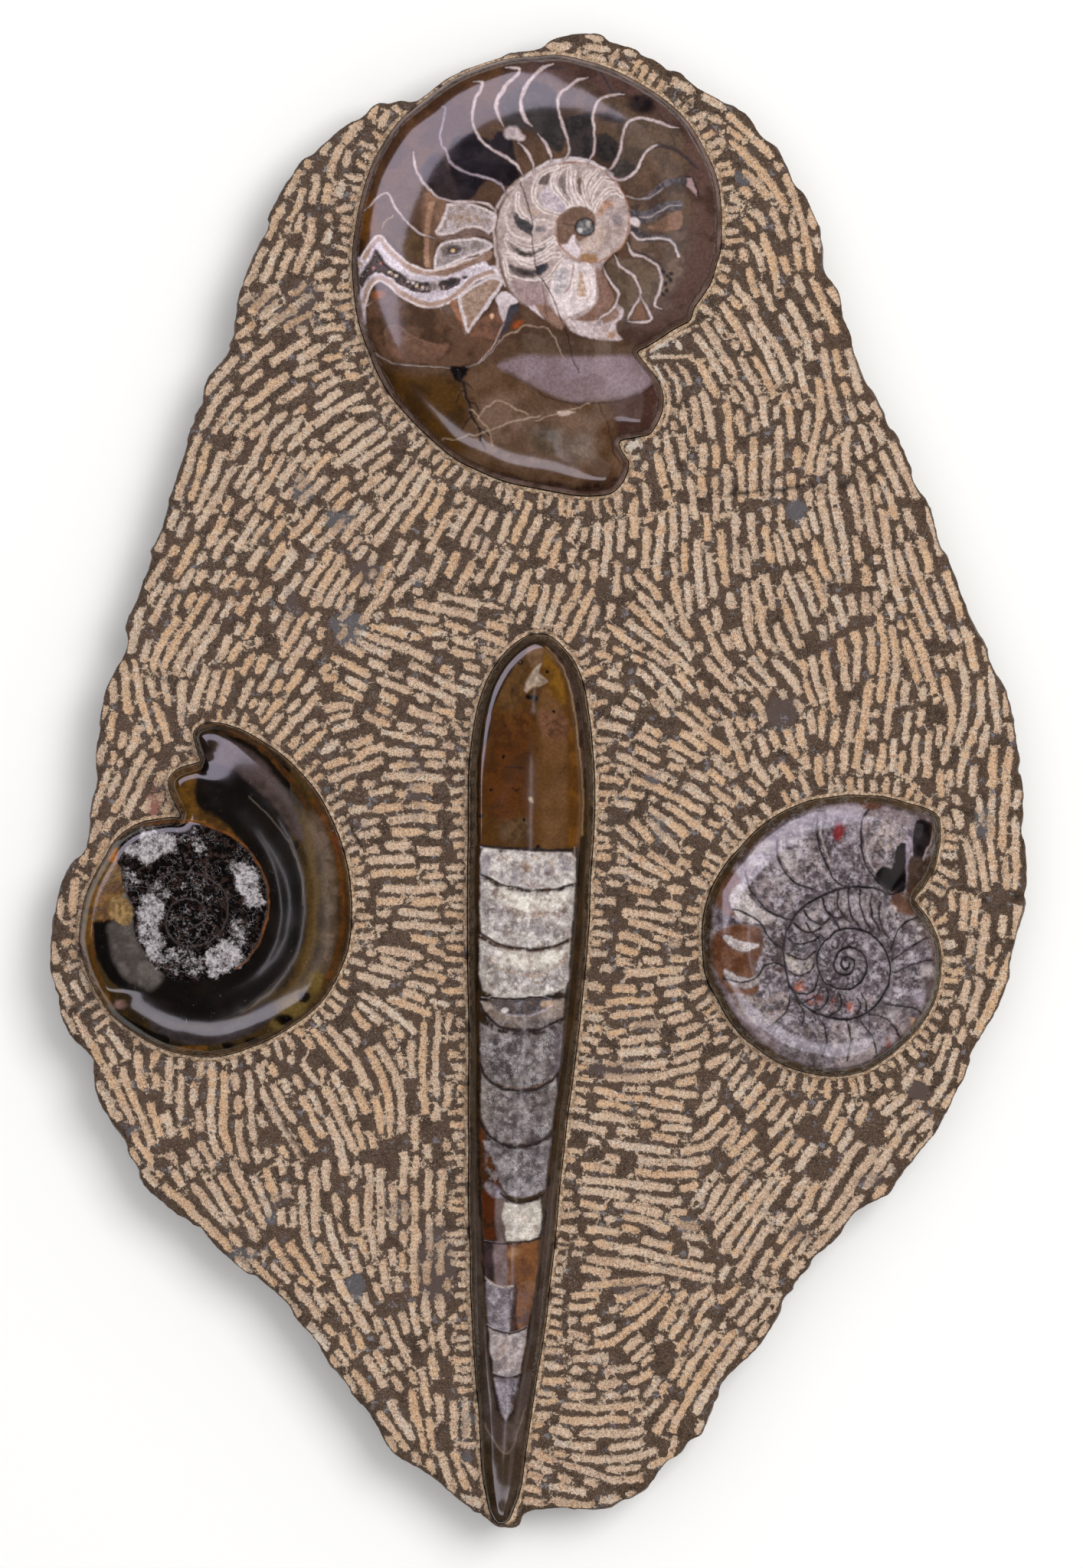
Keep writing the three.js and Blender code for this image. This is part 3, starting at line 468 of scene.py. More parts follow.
rng = np.random.default_rng(20261)
BIN = 12.0
bins = {}
strokes = []           # each is (centre points, half width)


def register(pts, k):
    for x, y in pts:
        bins.setdefault((int(x // BIN), int(y // BIN)), []).append((x, y, k))


def gap_to(x, y, way=None):
    """Distance to the nearest stroke; room ahead of a stroke's end counts for more."""
    best = 1e9
    bx, by = int(x // BIN), int(y // BIN)
    for i in (bx - 2, bx - 1, bx, bx + 1, bx + 2):
        for j in (by - 2, by - 1, by, by + 1, by + 2):
            for (u, v, k) in bins.get((i, j), ()):
                du, dv = u - x, v - y
                d = du * du + dv * dv
                if way is not None:
                    a = du * way[0] + dv * way[1]
                    d += 1.5 * a * a
                if d < best:
                    best = d
    return math.sqrt(best)


def heading(x, y, last=None):
    c, s = look(FC, x, y), look(FS, x, y)
    a = 0.5 * math.atan2(s, c)
    dx, dy = math.cos(a), -math.sin(a)       # y runs down
    if last is not None and dx * last[0] + dy * last[1] < 0:
        dx, dy = -dx, -dy
    return dx, dy


STEP = 3.0


def grow(x, y, forward, backward, near, twist, floor=0.05):
    """Draws one stroke through a point, stopping short of its neighbours."""
    d0 = heading(x, y)
    c, s = math.cos(twist), math.sin(twist)
    d0 = (d0[0] * c - d0[1] * s, d0[0] * s + d0[1] * c)
    arms = []
    for way, reach in ((1, forward), (-1, backward)):
        px, py = x, y
        d = (d0[0] * way, d0[1] * way)
        first = d
        pts = []
        run = 0.0
        while run < reach:
            h = heading(px, py, d)
            d = (d[0] * 0.8 + h[0] * 0.2, d[1] * 0.8 + h[1] * 0.2)
            l = math.hypot(*d)
            d = (d[0] / l, d[1] / l)
            if h[0] * first[0] + h[1] * first[1] < 0.78:
                break
            nx, ny = px + d[0] * STEP, py + d[1] * STEP
            if look(CLEAR, nx, ny) < 6.5 or look(EDGE, nx, ny) < 2.5 or look(BARE_MAP, nx, ny) > floor:
                break
            if gap_to(nx, ny, d) < near:
                break
            px, py = nx, ny
            pts.append((px, py))
            run += STEP
        arms.append(pts)
    return arms[1][::-1] + [(x, y)] + arms[0]


def can_seed(x, y, near, floor=0.05):
    return (look(CLEAR, x, y) > 7.0 and look(EDGE, x, y) > 3.0 and look(BARE_MAP, x, y) < floor
            and gap_to(x, y) >= near)


# radial ticks at the foot of each fossil
FRINGE = {  # name: list of (x0, y0, x1, y1, share)
    "large_ammonite": [(440, 60, 1000, 470, 0.62), (430, 300, 560, 640, 0.95), (540, 560, 840, 700, 0.95),
                       (925, 180, 980, 430, 0.8), (440, 60, 560, 300, 0.75)],
    "left_goniatite": [(420, 1000, 500, 1300, 0.95), (250, 900, 450, 1040, 0.55), (60, 1060, 130, 1420, 0.4),
                       (130, 1290, 470, 1420, 0.5)],
    "right_goniatite": [(880, 1000, 1260, 1440, 0.95)],
    "orthoceras": [(560, 820, 625, 1900, 0.9), (740, 820, 820, 1480, 0.9), (690, 1480, 800, 1900, 0.75),
                   (600, 1850, 720, 2000, 0.4)],
}
# narrow tracks fanning out of the notch of the large ammonite
for q in ([(848, 460), (860, 452), (874, 444), (888, 436), (902, 430)], [(852, 468), (864, 467), (882, 466), (904, 466)],
          [(855, 479), (866, 497), (872, 515), (873, 536), (867, 556)], [(869, 478), (880, 492), (885, 508), (885, 528)],
          [(884, 476), (896, 488), (900, 504)]):
    pts = curve(q, STEP)
    strokes.append((pts, 3.2))
    register(pts, len(strokes) - 1)
for name, q in PLANS.items():
    line = resample(q, 1.0, True)
    out = normals_out(line, 4)
    pos = 3.0
    total = len(line)
    while pos < total - 6:
        k = int(pos)
        x, y = line[k]
        share = 0.0
        for x0, y0, x1, y1, f in FRINGE[name]:
            if x0 <= x <= x1 and y0 <= y <= y1:
                share = max(share, f)
        nx, ny = out[k]
        turn = rng.normal(0, 0.10)
        c, s = math.cos(turn), math.sin(turn)
        nx, ny = nx * c - ny * s, nx * s + ny * c
        if rng.random() < share:
            reach = rng.uniform(15, 33)
            pts = []
            r = 4.6 + rng.uniform(0, 1.5)
            while r < reach:
                px, py = x + nx * r, y + ny * r
                if look(CLEAR, px, py) < 2.6 or look(EDGE, px, py) < 3.5 or gap_to(px, py) < 9.0:
                    break
                pts.append((px, py))
                r += STEP
            if len(pts) >= 4:
                strokes.append((np.array(pts), rng.uniform(4.2, 5.4)))
                register(pts, len(strokes) - 1)
        pos += rng.uniform(12.5, 15.5)

# the field itself: long strokes first, each with its neighbours beside it, so they lie in ranks
WIDE = 16.5
NEAR = 0.73 * WIDE


def try_stroke(x, y, least, most):
    if not can_seed(x, y, WIDE * 0.90):
        return None
    a, b = rng.uniform(0.5, 1.0) * most, rng.uniform(0.5, 1.0) * most
    pts = grow(x, y, a, b, NEAR, 0.0)
    if len(pts) * STEP < least:
        return None
    return np.array(pts)


def lay(pts):
    strokes.append((pts, rng.uniform(5.3, 6.5)))
    register(pts, len(strokes) - 1)


first = len(strokes)
seeds = [(p[0] + rng.normal(0, 4), p[1] + rng.normal(0, 4)) for p in DIRECTIONS]
for least, most in ((111, 104), (84, 82), (60, 64), (42, 56), (30, 48), (20, 40)):
    done = first                        # strokes whose sides are still to be tried
    order = rng.permutation(len(seeds))
    while True:
        while done < len(strokes):
            pts = strokes[done][0]
            t = np.gradient(pts, axis=0)
            t /= np.hypot(t[:, 0], t[:, 1])[:, None] + 1e-9
            middle = len(pts) // 2
            spots = [middle] + [k for o in range(3, middle, 3) for k in (middle - o, middle + o)]
            for side in (1, -1):
                wide = WIDE * rng.uniform(0.97, 1.05)
                for k in spots:
                    if k < 1 or k > len(pts) - 2:
                        continue
                    new = try_stroke(pts[k][0] - t[k][1] * side * wide, pts[k][1] + t[k][0] * side * wide,
                                     least, most)
                    if new is not None:
                        lay(new)
            for e, way in ((pts[-1], t[-1]), (pts[0], -t[0])):
                reach = rng.uniform(19, 24)
                new = try_stroke(e[0] + way[0] * (reach + 6), e[1] + way[1] * (reach + 6), least, most)
                if new is not None:
                    lay(new)
            done += 1
        while len(order):
            x, y = seeds[order[0]]
            order = order[1:]
            new = try_stroke(x, y, least, most)
            if new is not None:
                lay(new)
                break
        if done >= len(strokes) and not len(order):
            break
    print("strokes of", least, "or longer:", len(strokes) - first)

# short strokes wherever room is left
spots = [(x, y) for x in np.arange(60, 1350, 7.0) for y in np.arange(40, 2000, 7.0)]
for si in rng.permutation(len(spots)):
    x, y = spots[si]
    x, y = x + rng.uniform(-3, 3), y + rng.uniform(-3, 3)
    if not can_seed(x, y, 12.6, 0.3):
        continue
    pts = grow(x, y, rng.uniform(8, 30), rng.uniform(8, 30), 11.4, rng.normal(0, 0.08), 0.3)
    if len(pts) < 4:
        continue
    strokes.append((np.array(pts), rng.uniform(4.8, 6.4)))
    register(pts, len(strokes) - 1)
# the tool wavered, and its neighbours followed it
bent = []
for pts, half in strokes:
    pts = np.asarray(pts)
    free = smooth(7, 16, np.array([look(CLEAR, x, y) for x, y in pts]))[:, None]
    free = free * smooth(4, 12, np.array([look(EDGE, x, y) for x, y in pts]))[:, None]
    wave = np.stack([noise(pts, 21, 31, 2), noise(pts, 21, 32, 2)], 1) * 2.6
    bent.append((pts + wave * free, half))
strokes = bent
print("strokes", len(strokes))


# ---------------------------------------------------------------- meshing helpers
def triangulate(pts, loops):
    """Plan triangles of a point set that keep the loops' edges. Returns points,
    triangles and which given point each one is (-1 where edges crossed)."""
    edges = []
    for loop in loops:
        edges += [(int(loop[i - 1]), int(loop[i])) for i in range(len(loop))]
    vs, _e, fs, ov, _oe, _of = delaunay_2d_cdt([Vector((p[0], -p[1])) for p in pts], edges, [], 0, 1e-5)
    v = np.array([(a.x, -a.y) for a in vs])
    t = np.array([tuple(f) for f in fs], int)
    src = np.array([o[0] if len(o) else -1 for o in ov])
    p = v * (1, -1)
    area = ((p[t[:, 1], 0] - p[t[:, 0], 0]) * (p[t[:, 2], 1] - p[t[:, 0], 1])
            - (p[t[:, 2], 0] - p[t[:, 0], 0]) * (p[t[:, 1], 1] - p[t[:, 0], 1]))
    t[area < 0] = t[area < 0][:, ::-1]
    return v, t, src


def settle(z, tris, free, rounds):
    """Relaxes heights over a mesh; points that aren't free stay."""
    e = np.vstack([tris[:, [0, 1]], tris[:, [1, 2]], tris[:, [2, 0]]])
    n = len(z)
    count = np.bincount(e[:, 0], minlength=n) + np.bincount(e[:, 1], minlength=n)
    for _ in range(rounds):
        total = np.bincount(e[:, 0], z[e[:, 1]], n) + np.bincount(e[:, 1], z[e[:, 0]], n)
        z = np.where(free, 0.4 * z + 0.6 * total / np.maximum(count, 1), z)
    return z


def face_height(p, edge_mm, foot_mm):
    """Height in mm of the matrix face."""
    z = TOP - 0.45 + 0.34 * noise(p, 150, 21, 2) + 0.16 * noise(p, 40, 22, 2)
    free = smooth(1.0, 8.0, foot_mm)
    broken = 0.75 + 0.5 * noise(p, 22, 23, 2)
    z -= free * (0.8 * (1 - np.clip(edge_mm / 10, 0, 1)) ** 2
                 + 1.5 * broken * (1 - np.clip(edge_mm / 3.4, 0, 1)) ** 1.6)
    return z


# ---------------------------------------------------------------- matrix slab
all_centres = np.vstack([s[0] for s in strokes])
owner = np.concatenate([np.full(len(s[0]), i) for i, s in enumerate(strokes)])
centre_tree = tree(all_centres)


def room_beside(k, x, y):
    """Half of the way to the nearest other stroke."""
    for _co, j, d in centre_tree.find_n((x, y, 0.0), 24):
        if owner[j] != k:
            return d / 2
    return 12.0


pts, kind, trk, along, rnd = [], [], [], [], []
loops = []


def put(p, what, t, a, r):
    pts.append((p[0], p[1])); kind.append(what); trk.append(t); along.append(a); rnd.append(r)
    return len(pts) - 1


# 0 rim, 1 pocket edge, 2 pocket floor, 3 stroke edge, 4 stroke floor, 5 plain face
rim_index = [put(p, 0, 9, 0, 0) for p in RIM]
loops.append(rim_index)
for name, q in PLANS.items():
    n = normals_out(q, 1)
    loops.append([put(p, 1, 9, 0, 0) for p in q + n * 1.35])
    loops.append([put(p, 2, 9, 0, 0) for p in q + n * 0.75])

for k, (line, half) in enumerate(strokes):
    spots_k = resample(line, 6.0)
    m = len(spots_k)
    t = np.gradient(spots_k, axis=0)
    t /= np.hypot(t[:, 0], t[:, 1])[:, None] + 1e-9
    nrm = np.stack([-t[:, 1], t[:, 0]], 1)
    r = rng.random()
    wl, wr = [], []
    for i in range(m):
        x, y = spots_k[i]
        room = room_beside(k, x, y)
        cap = min(room - 1.6, look(CLEAR, x, y) - 1.6, look(EDGE, x, y) - 0.6)
        wide = min(max(half - 0.5, room - 3.4), 6.0) * (0.98 if i in (0, m - 1) else 1.0)
        wl.append(max(1.6, min(wide * rng.uniform(0.92, 1.06), cap)))
        wr.append(max(1.6, min(wide * rng.uniform(0.92, 1.06), cap)))
    wl, wr = np.array(wl), np.array(wr)
    reach = 1.2
    arc = np.arange(m) * (np.hypot(*(spots_k[1] - spots_k[0]))) * UNIT
    left, right = spots_k + nrm * wl[:, None], spots_k - nrm * wr[:, None]
    lap = [put(left[i], 3, 0, arc[i], r) for i in range(m)]
    lap.append(put(spots_k[-1] + t[-1] * reach + nrm[-1] * rng.uniform(-2.4, 2.4), 3, 0, arc[-1] + reach * UNIT, r))
    lap += [put(right[i], 3, 0, arc[i], r) for i in range(m - 1, -1, -1)]
    lap.append(put(spots_k[0] - t[0] * reach + nrm[0] * rng.uniform(-2.4, 2.4), 3, 0, -reach * UNIT, r))
    loops.append(lap)
    fl, fr = np.maximum(wl - 1.7, 0.7), np.maximum(wr - 1.7, 0.7)
    inner = spots_k.copy()
    inner[0] += t[0] * 0.6
    inner[-1] -= t[-1] * 0.6
    deep = -0.80
    lap = [put(inner[i] + nrm[i] * fl[i], 4, deep, arc[i], r) for i in range(m)]
    lap += [put(inner[i] - nrm[i] * fr[i], 4, deep, arc[i], r) for i in range(m - 1, -1, -1)]
    loops.append(lap)

# a ridge point half way across each gap
side_at = np.where(np.array(kind) == 3)[0]
side_pts = np.array([pts[i] for i in side_at])
side_owner = np.zeros(len(side_at), int)
k = -1
for n, i in enumerate(side_at):
    if n == 0 or rnd[i] != rnd[side_at[n - 1]]:
        k += 1
    side_owner[n] = k
side_tree = tree(side_pts)
taken = {}
for n in rng.permutation(len(side_at)):
    x, y = side_pts[n]
    for _co, j, d in side_tree.find_n((x, y, 0.0), 18):
        if side_owner[j] == side_owner[n]:
            continue
        if 3.4 < d < 15:
            mx, my = (x + side_pts[j][0]) / 2, (y + side_pts[j][1]) / 2
            if side_tree.find((mx, my, 0.0))[2] > 0.42 * d and look(CLEAR, mx, my) > 3 and look(EDGE, mx, my) > 2:
                key = (int(mx // 4), int(my // 4))
                close = [q for a in (-1, 0, 1) for b in (-1, 0, 1) for q in taken.get((key[0] + a, key[1] + b), ())]
                if all((mx - q[0]) ** 2 + (my - q[1]) ** 2 > 12.0 for q in close):
                    taken.setdefault(key, []).append((mx, my))
        break
ridge = [q for row in taken.values() for q in row]
for p in ridge:
    put(p, 6, 9, 0, 0)
print("ridge points", len(ridge))

# plain ground between the strokes
have = tree(pts)
extra = []
for x in np.arange(50, 1360, 8.5):
    for y in np.arange(30, 2010, 8.5):
        p = (x + rng.uniform(-3, 3), y + rng.uniform(-3, 3))
        if look(EDGE, *p) < 3.0 or look(CLEAR, *p) < 4.0:
            continue
        if have.find((p[0], p[1], 0.0))[2] > 4.6:
            extra.append(p)
for p in extra:
    put(p, 5, 9, 0, 0)
for q in PLANS.values():
    lo, hi = q.min(0), q.max(0)
    for x in np.arange(lo[0], hi[0], 24.0):
        for y in np.arange(lo[1], hi[1], 24.0):
            if look(CLEAR, x, y) < -8:
                put((x, y), 2, 9, 0, 0)

pts = np.array(pts)
kind, trk, along, rnd = map(np.array, (kind, trk.copy(), along, rnd))
trk = trk.astype(float)
v, t, src = triangulate(pts, loops)
mid = v[t].mean(1)
t = t[inside(mid, RIM)]
lost = np.where(src < 0)[0]
if len(lost):
    near_tree = tree(pts)
    _, idx = nearest(near_tree, v[lost])
    src[lost] = idx
K, TR, AL, RN = kind[src], trk[src], along[src], rnd[src]
TR[lost] = 0.0
edge_pts = v[(K == 3)]
edge_tree = tree(edge_pts)
edge_al, edge_rn = AL[K == 3], RN[K == 3]
far = np.where((K != 3) & (K != 4))[0]
dist, idx = nearest(edge_tree, v[far])
TR[far] = np.minimum(dist * UNIT, 2.5)
AL[far], RN[far] = edge_al[idx], edge_rn[idx]
foot_d, _ = nearest(foot_tree, v)
foot_mm = foot_d * UNIT
edge_d, _ = nearest(rim_tree, v)
edge_mm = edge_d * UNIT
z = face_height(v, edge_mm, foot_mm)
z = np.where(K == 4, z - 0.48 - 0.16 * noise(v, 6, 31), z)
z = np.where(K == 3, z + 0.07 * noise(v, 5, 33), z)
z = np.where(K == 5, z + 0.14 * noise(v, 9, 35) - 0.02, z)
z = np.where(K == 6, z + 0.10 + 0.10 * noise(v, 9, 35), z)
z = np.where(K == 1, np.minimum(z, TOP - 0.15), z)
z = np.where(K == 2, TOP - 8.0, z)
top_n = len(v)
rim_at = np.full(len(pts), -1)
rim_at[src] = np.arange(top_n)
ring0 = rim_at[np.array(rim_index)]
rim_z = z[ring0]

# broken side walls: rows of the rim going down, with fracture faces
side_out = normals_out(RIM, 3)
rows = [0.965, 0.90, 0.81, 0.70, 0.58, 0.45, 0.32, 0.20, 0.09, 0.0]
bulge = [0.9, 1.6, 2.1, 2.4, 2.3, 2.0, 1.2, 0.0, -1.8, -4.2]
arc = np.arange(len(RIM)) * 5.0
side_co, side_plan = [], []
wrap = np.minimum(arc, arc[-1] + 5 - arc)
for h, b in zip(rows, bulge):
    zz = rim_z * h
    key = np.stack([arc, zz / UNIT], 1)
    rough = 1.7 * noise(key, 58, 41, 2) + 1.5 * noise(key, 17, 43, 2)
    facet = np.abs(noise(key + 500, 34, 47, 2)) * 2.6 - 0.9
    fade = np.clip(wrap / 30, 0, 1)            # the seam where the ring closes
    room = 0.0 if h == 0 else 1.0
    push = b + (rough + facet) * fade * (0.25 + 0.75 * min(1.0, (1 - h) * 5)) * (0.6 if h == 0 else 1)
    push = np.minimum(push, 3.4)
    q = RIM + side_out * push[:, None]
    zz = zz + (0.5 * noise(key, 13, 49) * fade * room)
    side_plan.append(q)
    side_co.append(metres(q, np.clip(zz, 0, None)))
n_rim = len(RIM)
tris = [t]
prev = ring0
for r in range(len(rows)):
    cur = top_n + r * n_rim + np.arange(n_rim)
    a, b_ = prev, np.roll(prev, -1)
    c, d_ = cur, np.roll(cur, -1)
    tris.append(np.stack([a, c, d_], 1))
    tris.append(np.stack([a, d_, b_], 1))
    prev = cur
# flat underside
under = [tuple(p) for p in side_plan[-1]]
n_ring = len(under)
for x in np.arange(60, 1350, 24.0):
    for y in np.arange(40, 2000, 24.0):
        p = (x + rng.uniform(-6, 6), y + rng.uniform(-6, 6))
        if look(EDGE, *p) > 12:
            under.append(p)
under = np.array(under)
bv, bt, bsrc = triangulate(under, [range(n_ring)])
bt = bt[inside(bv[bt].mean(1), side_plan[-1])]
base = top_n + len(rows) * n_rim
last = top_n + (len(rows) - 1) * n_rim
where = np.empty(len(bv), int)
new_rows = []
for i, s in enumerate(bsrc):
    if 0 <= s < n_ring:
        where[i] = last + s
    else:
        where[i] = base + len(new_rows)
        new_rows.append(bv[i])
new_rows = np.array(new_rows)
under_z = np.abs(noise(new_rows, 70, 61, 2)) * 0.35
tris.append(where[bt][:, ::-1])
co = np.vstack([metres(v, z)] + side_co + [metres(new_rows, under_z)])
extra_n = len(co) - top_n
tris = np.vstack(tris)

st_rgb = np.tile(np.array([0.16, 0.10, 0.10]), (top_n, 1))
st_f = np.zeros(top_n)
pale = np.zeros(top_n)
STAIN_RGB = {1: (0.088, 0.060, 0.052), 2: (0.100, 0.094, 0.102), 4: (0.30, 0.125, 0.092)}
wob = v + np.stack([noise(v, 12, 71, 3), noise(v, 12, 73, 3)], 1) * 9
for x, y, rx, ry, what in STAINS:
    f = smooth(1.25, 0.55, np.hypot((wob[:, 0] - x) / rx, (wob[:, 1] - y) / ry))
    if what == 3:
        pale = np.maximum(pale, f)
        continue
    m = f > st_f
    st_rgb[m] = STAIN_RGB[what]
    st_f = np.maximum(st_f, f)
crack = np.zeros(top_n)
for line in CRACKS:
    d, _a, _s = away(wob, curve(line, 4))
    crack = np.maximum(crack, smooth(2.6, 0.6, d))
pad = lambda a, value=0.0: np.concatenate([a, np.full(extra_n, value)])
slab = make_mesh("matrix", co, tris, {
    "trk": pad(TR, 2.5), "along": pad(AL), "rnd": pad(RN), "foot": pad(np.minimum(foot_mm, 12), 12),
    "edge": pad(np.minimum(edge_mm, 12)), "stf": pad(st_f), "pale": pad(pale), "crack": pad(crack),
    "face": np.concatenate([np.ones(top_n), np.zeros(extra_n)])},
    {"stain": np.vstack([st_rgb, np.tile([0.16, 0.10, 0.10], (extra_n, 1))])}, sharp=38)
print("slab triangles", len(slab.data.polygons), "crossings", len(lost))


# ---------------------------------------------------------------- node materials
class Mat:
    """Short hand for building a node material."""

    def __init__(self, name):
        self.m = bpy.data.materials.new(name)
        self.m.use_nodes = True
        self.t = self.m.node_tree
        self.t.nodes.clear()
        self.out = self.t.nodes.new("ShaderNodeOutputMaterial")
        self.pos = self.t.nodes.new("ShaderNodeTexCoord").outputs["Object"]

    def put(self, socket, value):
        if isinstance(value, bpy.types.NodeSocket):
            self.t.links.new(value, socket)
        else:
            socket.default_value = value

    def attr(self, name, out="Fac"):
        n = self.t.nodes.new("ShaderNodeAttribute")
        n.attribute_name = name
        return n.outputs[out]

    def math(self, op, a, b=0.0, c=None, clamp=False):
        n = self.t.nodes.new("ShaderNodeMath")
        n.operation, n.use_clamp = op, clamp
        self.put(n.inputs[0], a)
        self.put(n.inputs[1], b)
        if c is not None:
            self.put(n.inputs[2], c)
        return n.outputs[0]

    def add(self, a, b):
        return self.math("ADD", a, b)

    def mul(self, a, b):
        return self.math("MULTIPLY", a, b)

    def span(self, v, lo, hi, to_lo=0.0, to_hi=1.0):
        n = self.t.nodes.new("ShaderNodeMapRange")
        n.interpolation_type = "SMOOTHSTEP"
        for s, x in zip(n.inputs[:5], (v, lo, hi, to_lo, to_hi)):
            self.put(s, x)
        return n.outputs[0]

    def mix(self, f, a, b, kind="MIX"):
        n = self.t.nodes.new("ShaderNodeMix")
        n.data_type, n.blend_type = "RGBA", kind
        self.put(n.inputs["Factor"], f)
        for s, x in ((n.inputs[6], a), (n.inputs[7], b)):
            self.put(s, (*x, 1.0) if isinstance(x, tuple) and len(x) == 3 else x)
        return n.outputs[2]

    def noise(self, scale, detail=2.0, rough=0.5, vec=None, warp=0.0):
        n = self.t.nodes.new("ShaderNodeTexNoise")
        self.put(n.inputs["Vector"], vec or self.pos)
        n.inputs["Scale"].default_value = scale
        n.inputs["Detail"].default_value = detail
        n.inputs["Roughness"].default_value = rough
        n.inputs["Distortion"].default_value = warp
        return n.outputs["Fac"]

    def cells(self, scale, feature="F1", out="Distance", vec=None, random=1.0):
        n = self.t.nodes.new("ShaderNodeTexVoronoi")
        n.feature = feature
        self.put(n.inputs["Vector"], vec or self.pos)
        n.inputs["Scale"].default_value = scale
        n.inputs["Randomness"].default_value = random
        return n.outputs[out]

    def shifted(self, amount, scale):
        """Coordinates moved about by noise, so cells and lines lose their regularity."""
        n = self.t.nodes.new("ShaderNodeTexNoise")
        self.put(n.inputs["Vector"], self.pos)
        n.inputs["Scale"].default_value = scale
        v = self.t.nodes.new("ShaderNodeVectorMath")
        v.operation = "MULTIPLY_ADD"
        self.put(v.inputs[0], n.outputs["Color"])
        v.inputs[1].default_value = (amount,) * 3
        self.put(v.inputs[2], self.pos)
        return v.outputs[0]

    def bump(self, height, depth, strength=1.0):
        n = self.t.nodes.new("ShaderNodeBump")
        n.inputs["Strength"].default_value = strength
        n.inputs["Distance"].default_value = depth
        self.put(n.inputs["Height"], height)
        return n.outputs["Normal"]

    def shader(self, colour, rough, normal=None, **fixed):
        n = self.t.nodes.new("ShaderNodeBsdfPrincipled")
        self.put(n.inputs["Base Color"], colour)
        self.put(n.inputs["Roughness"], rough)
        if normal is not None:
            self.put(n.inputs["Normal"], normal)
        for key, value in fixed.items():
            n.inputs[key.replace("_", " ")].default_value = value
        self.t.links.new(n.outputs[0], self.out.inputs["Surface"])
        return self.m


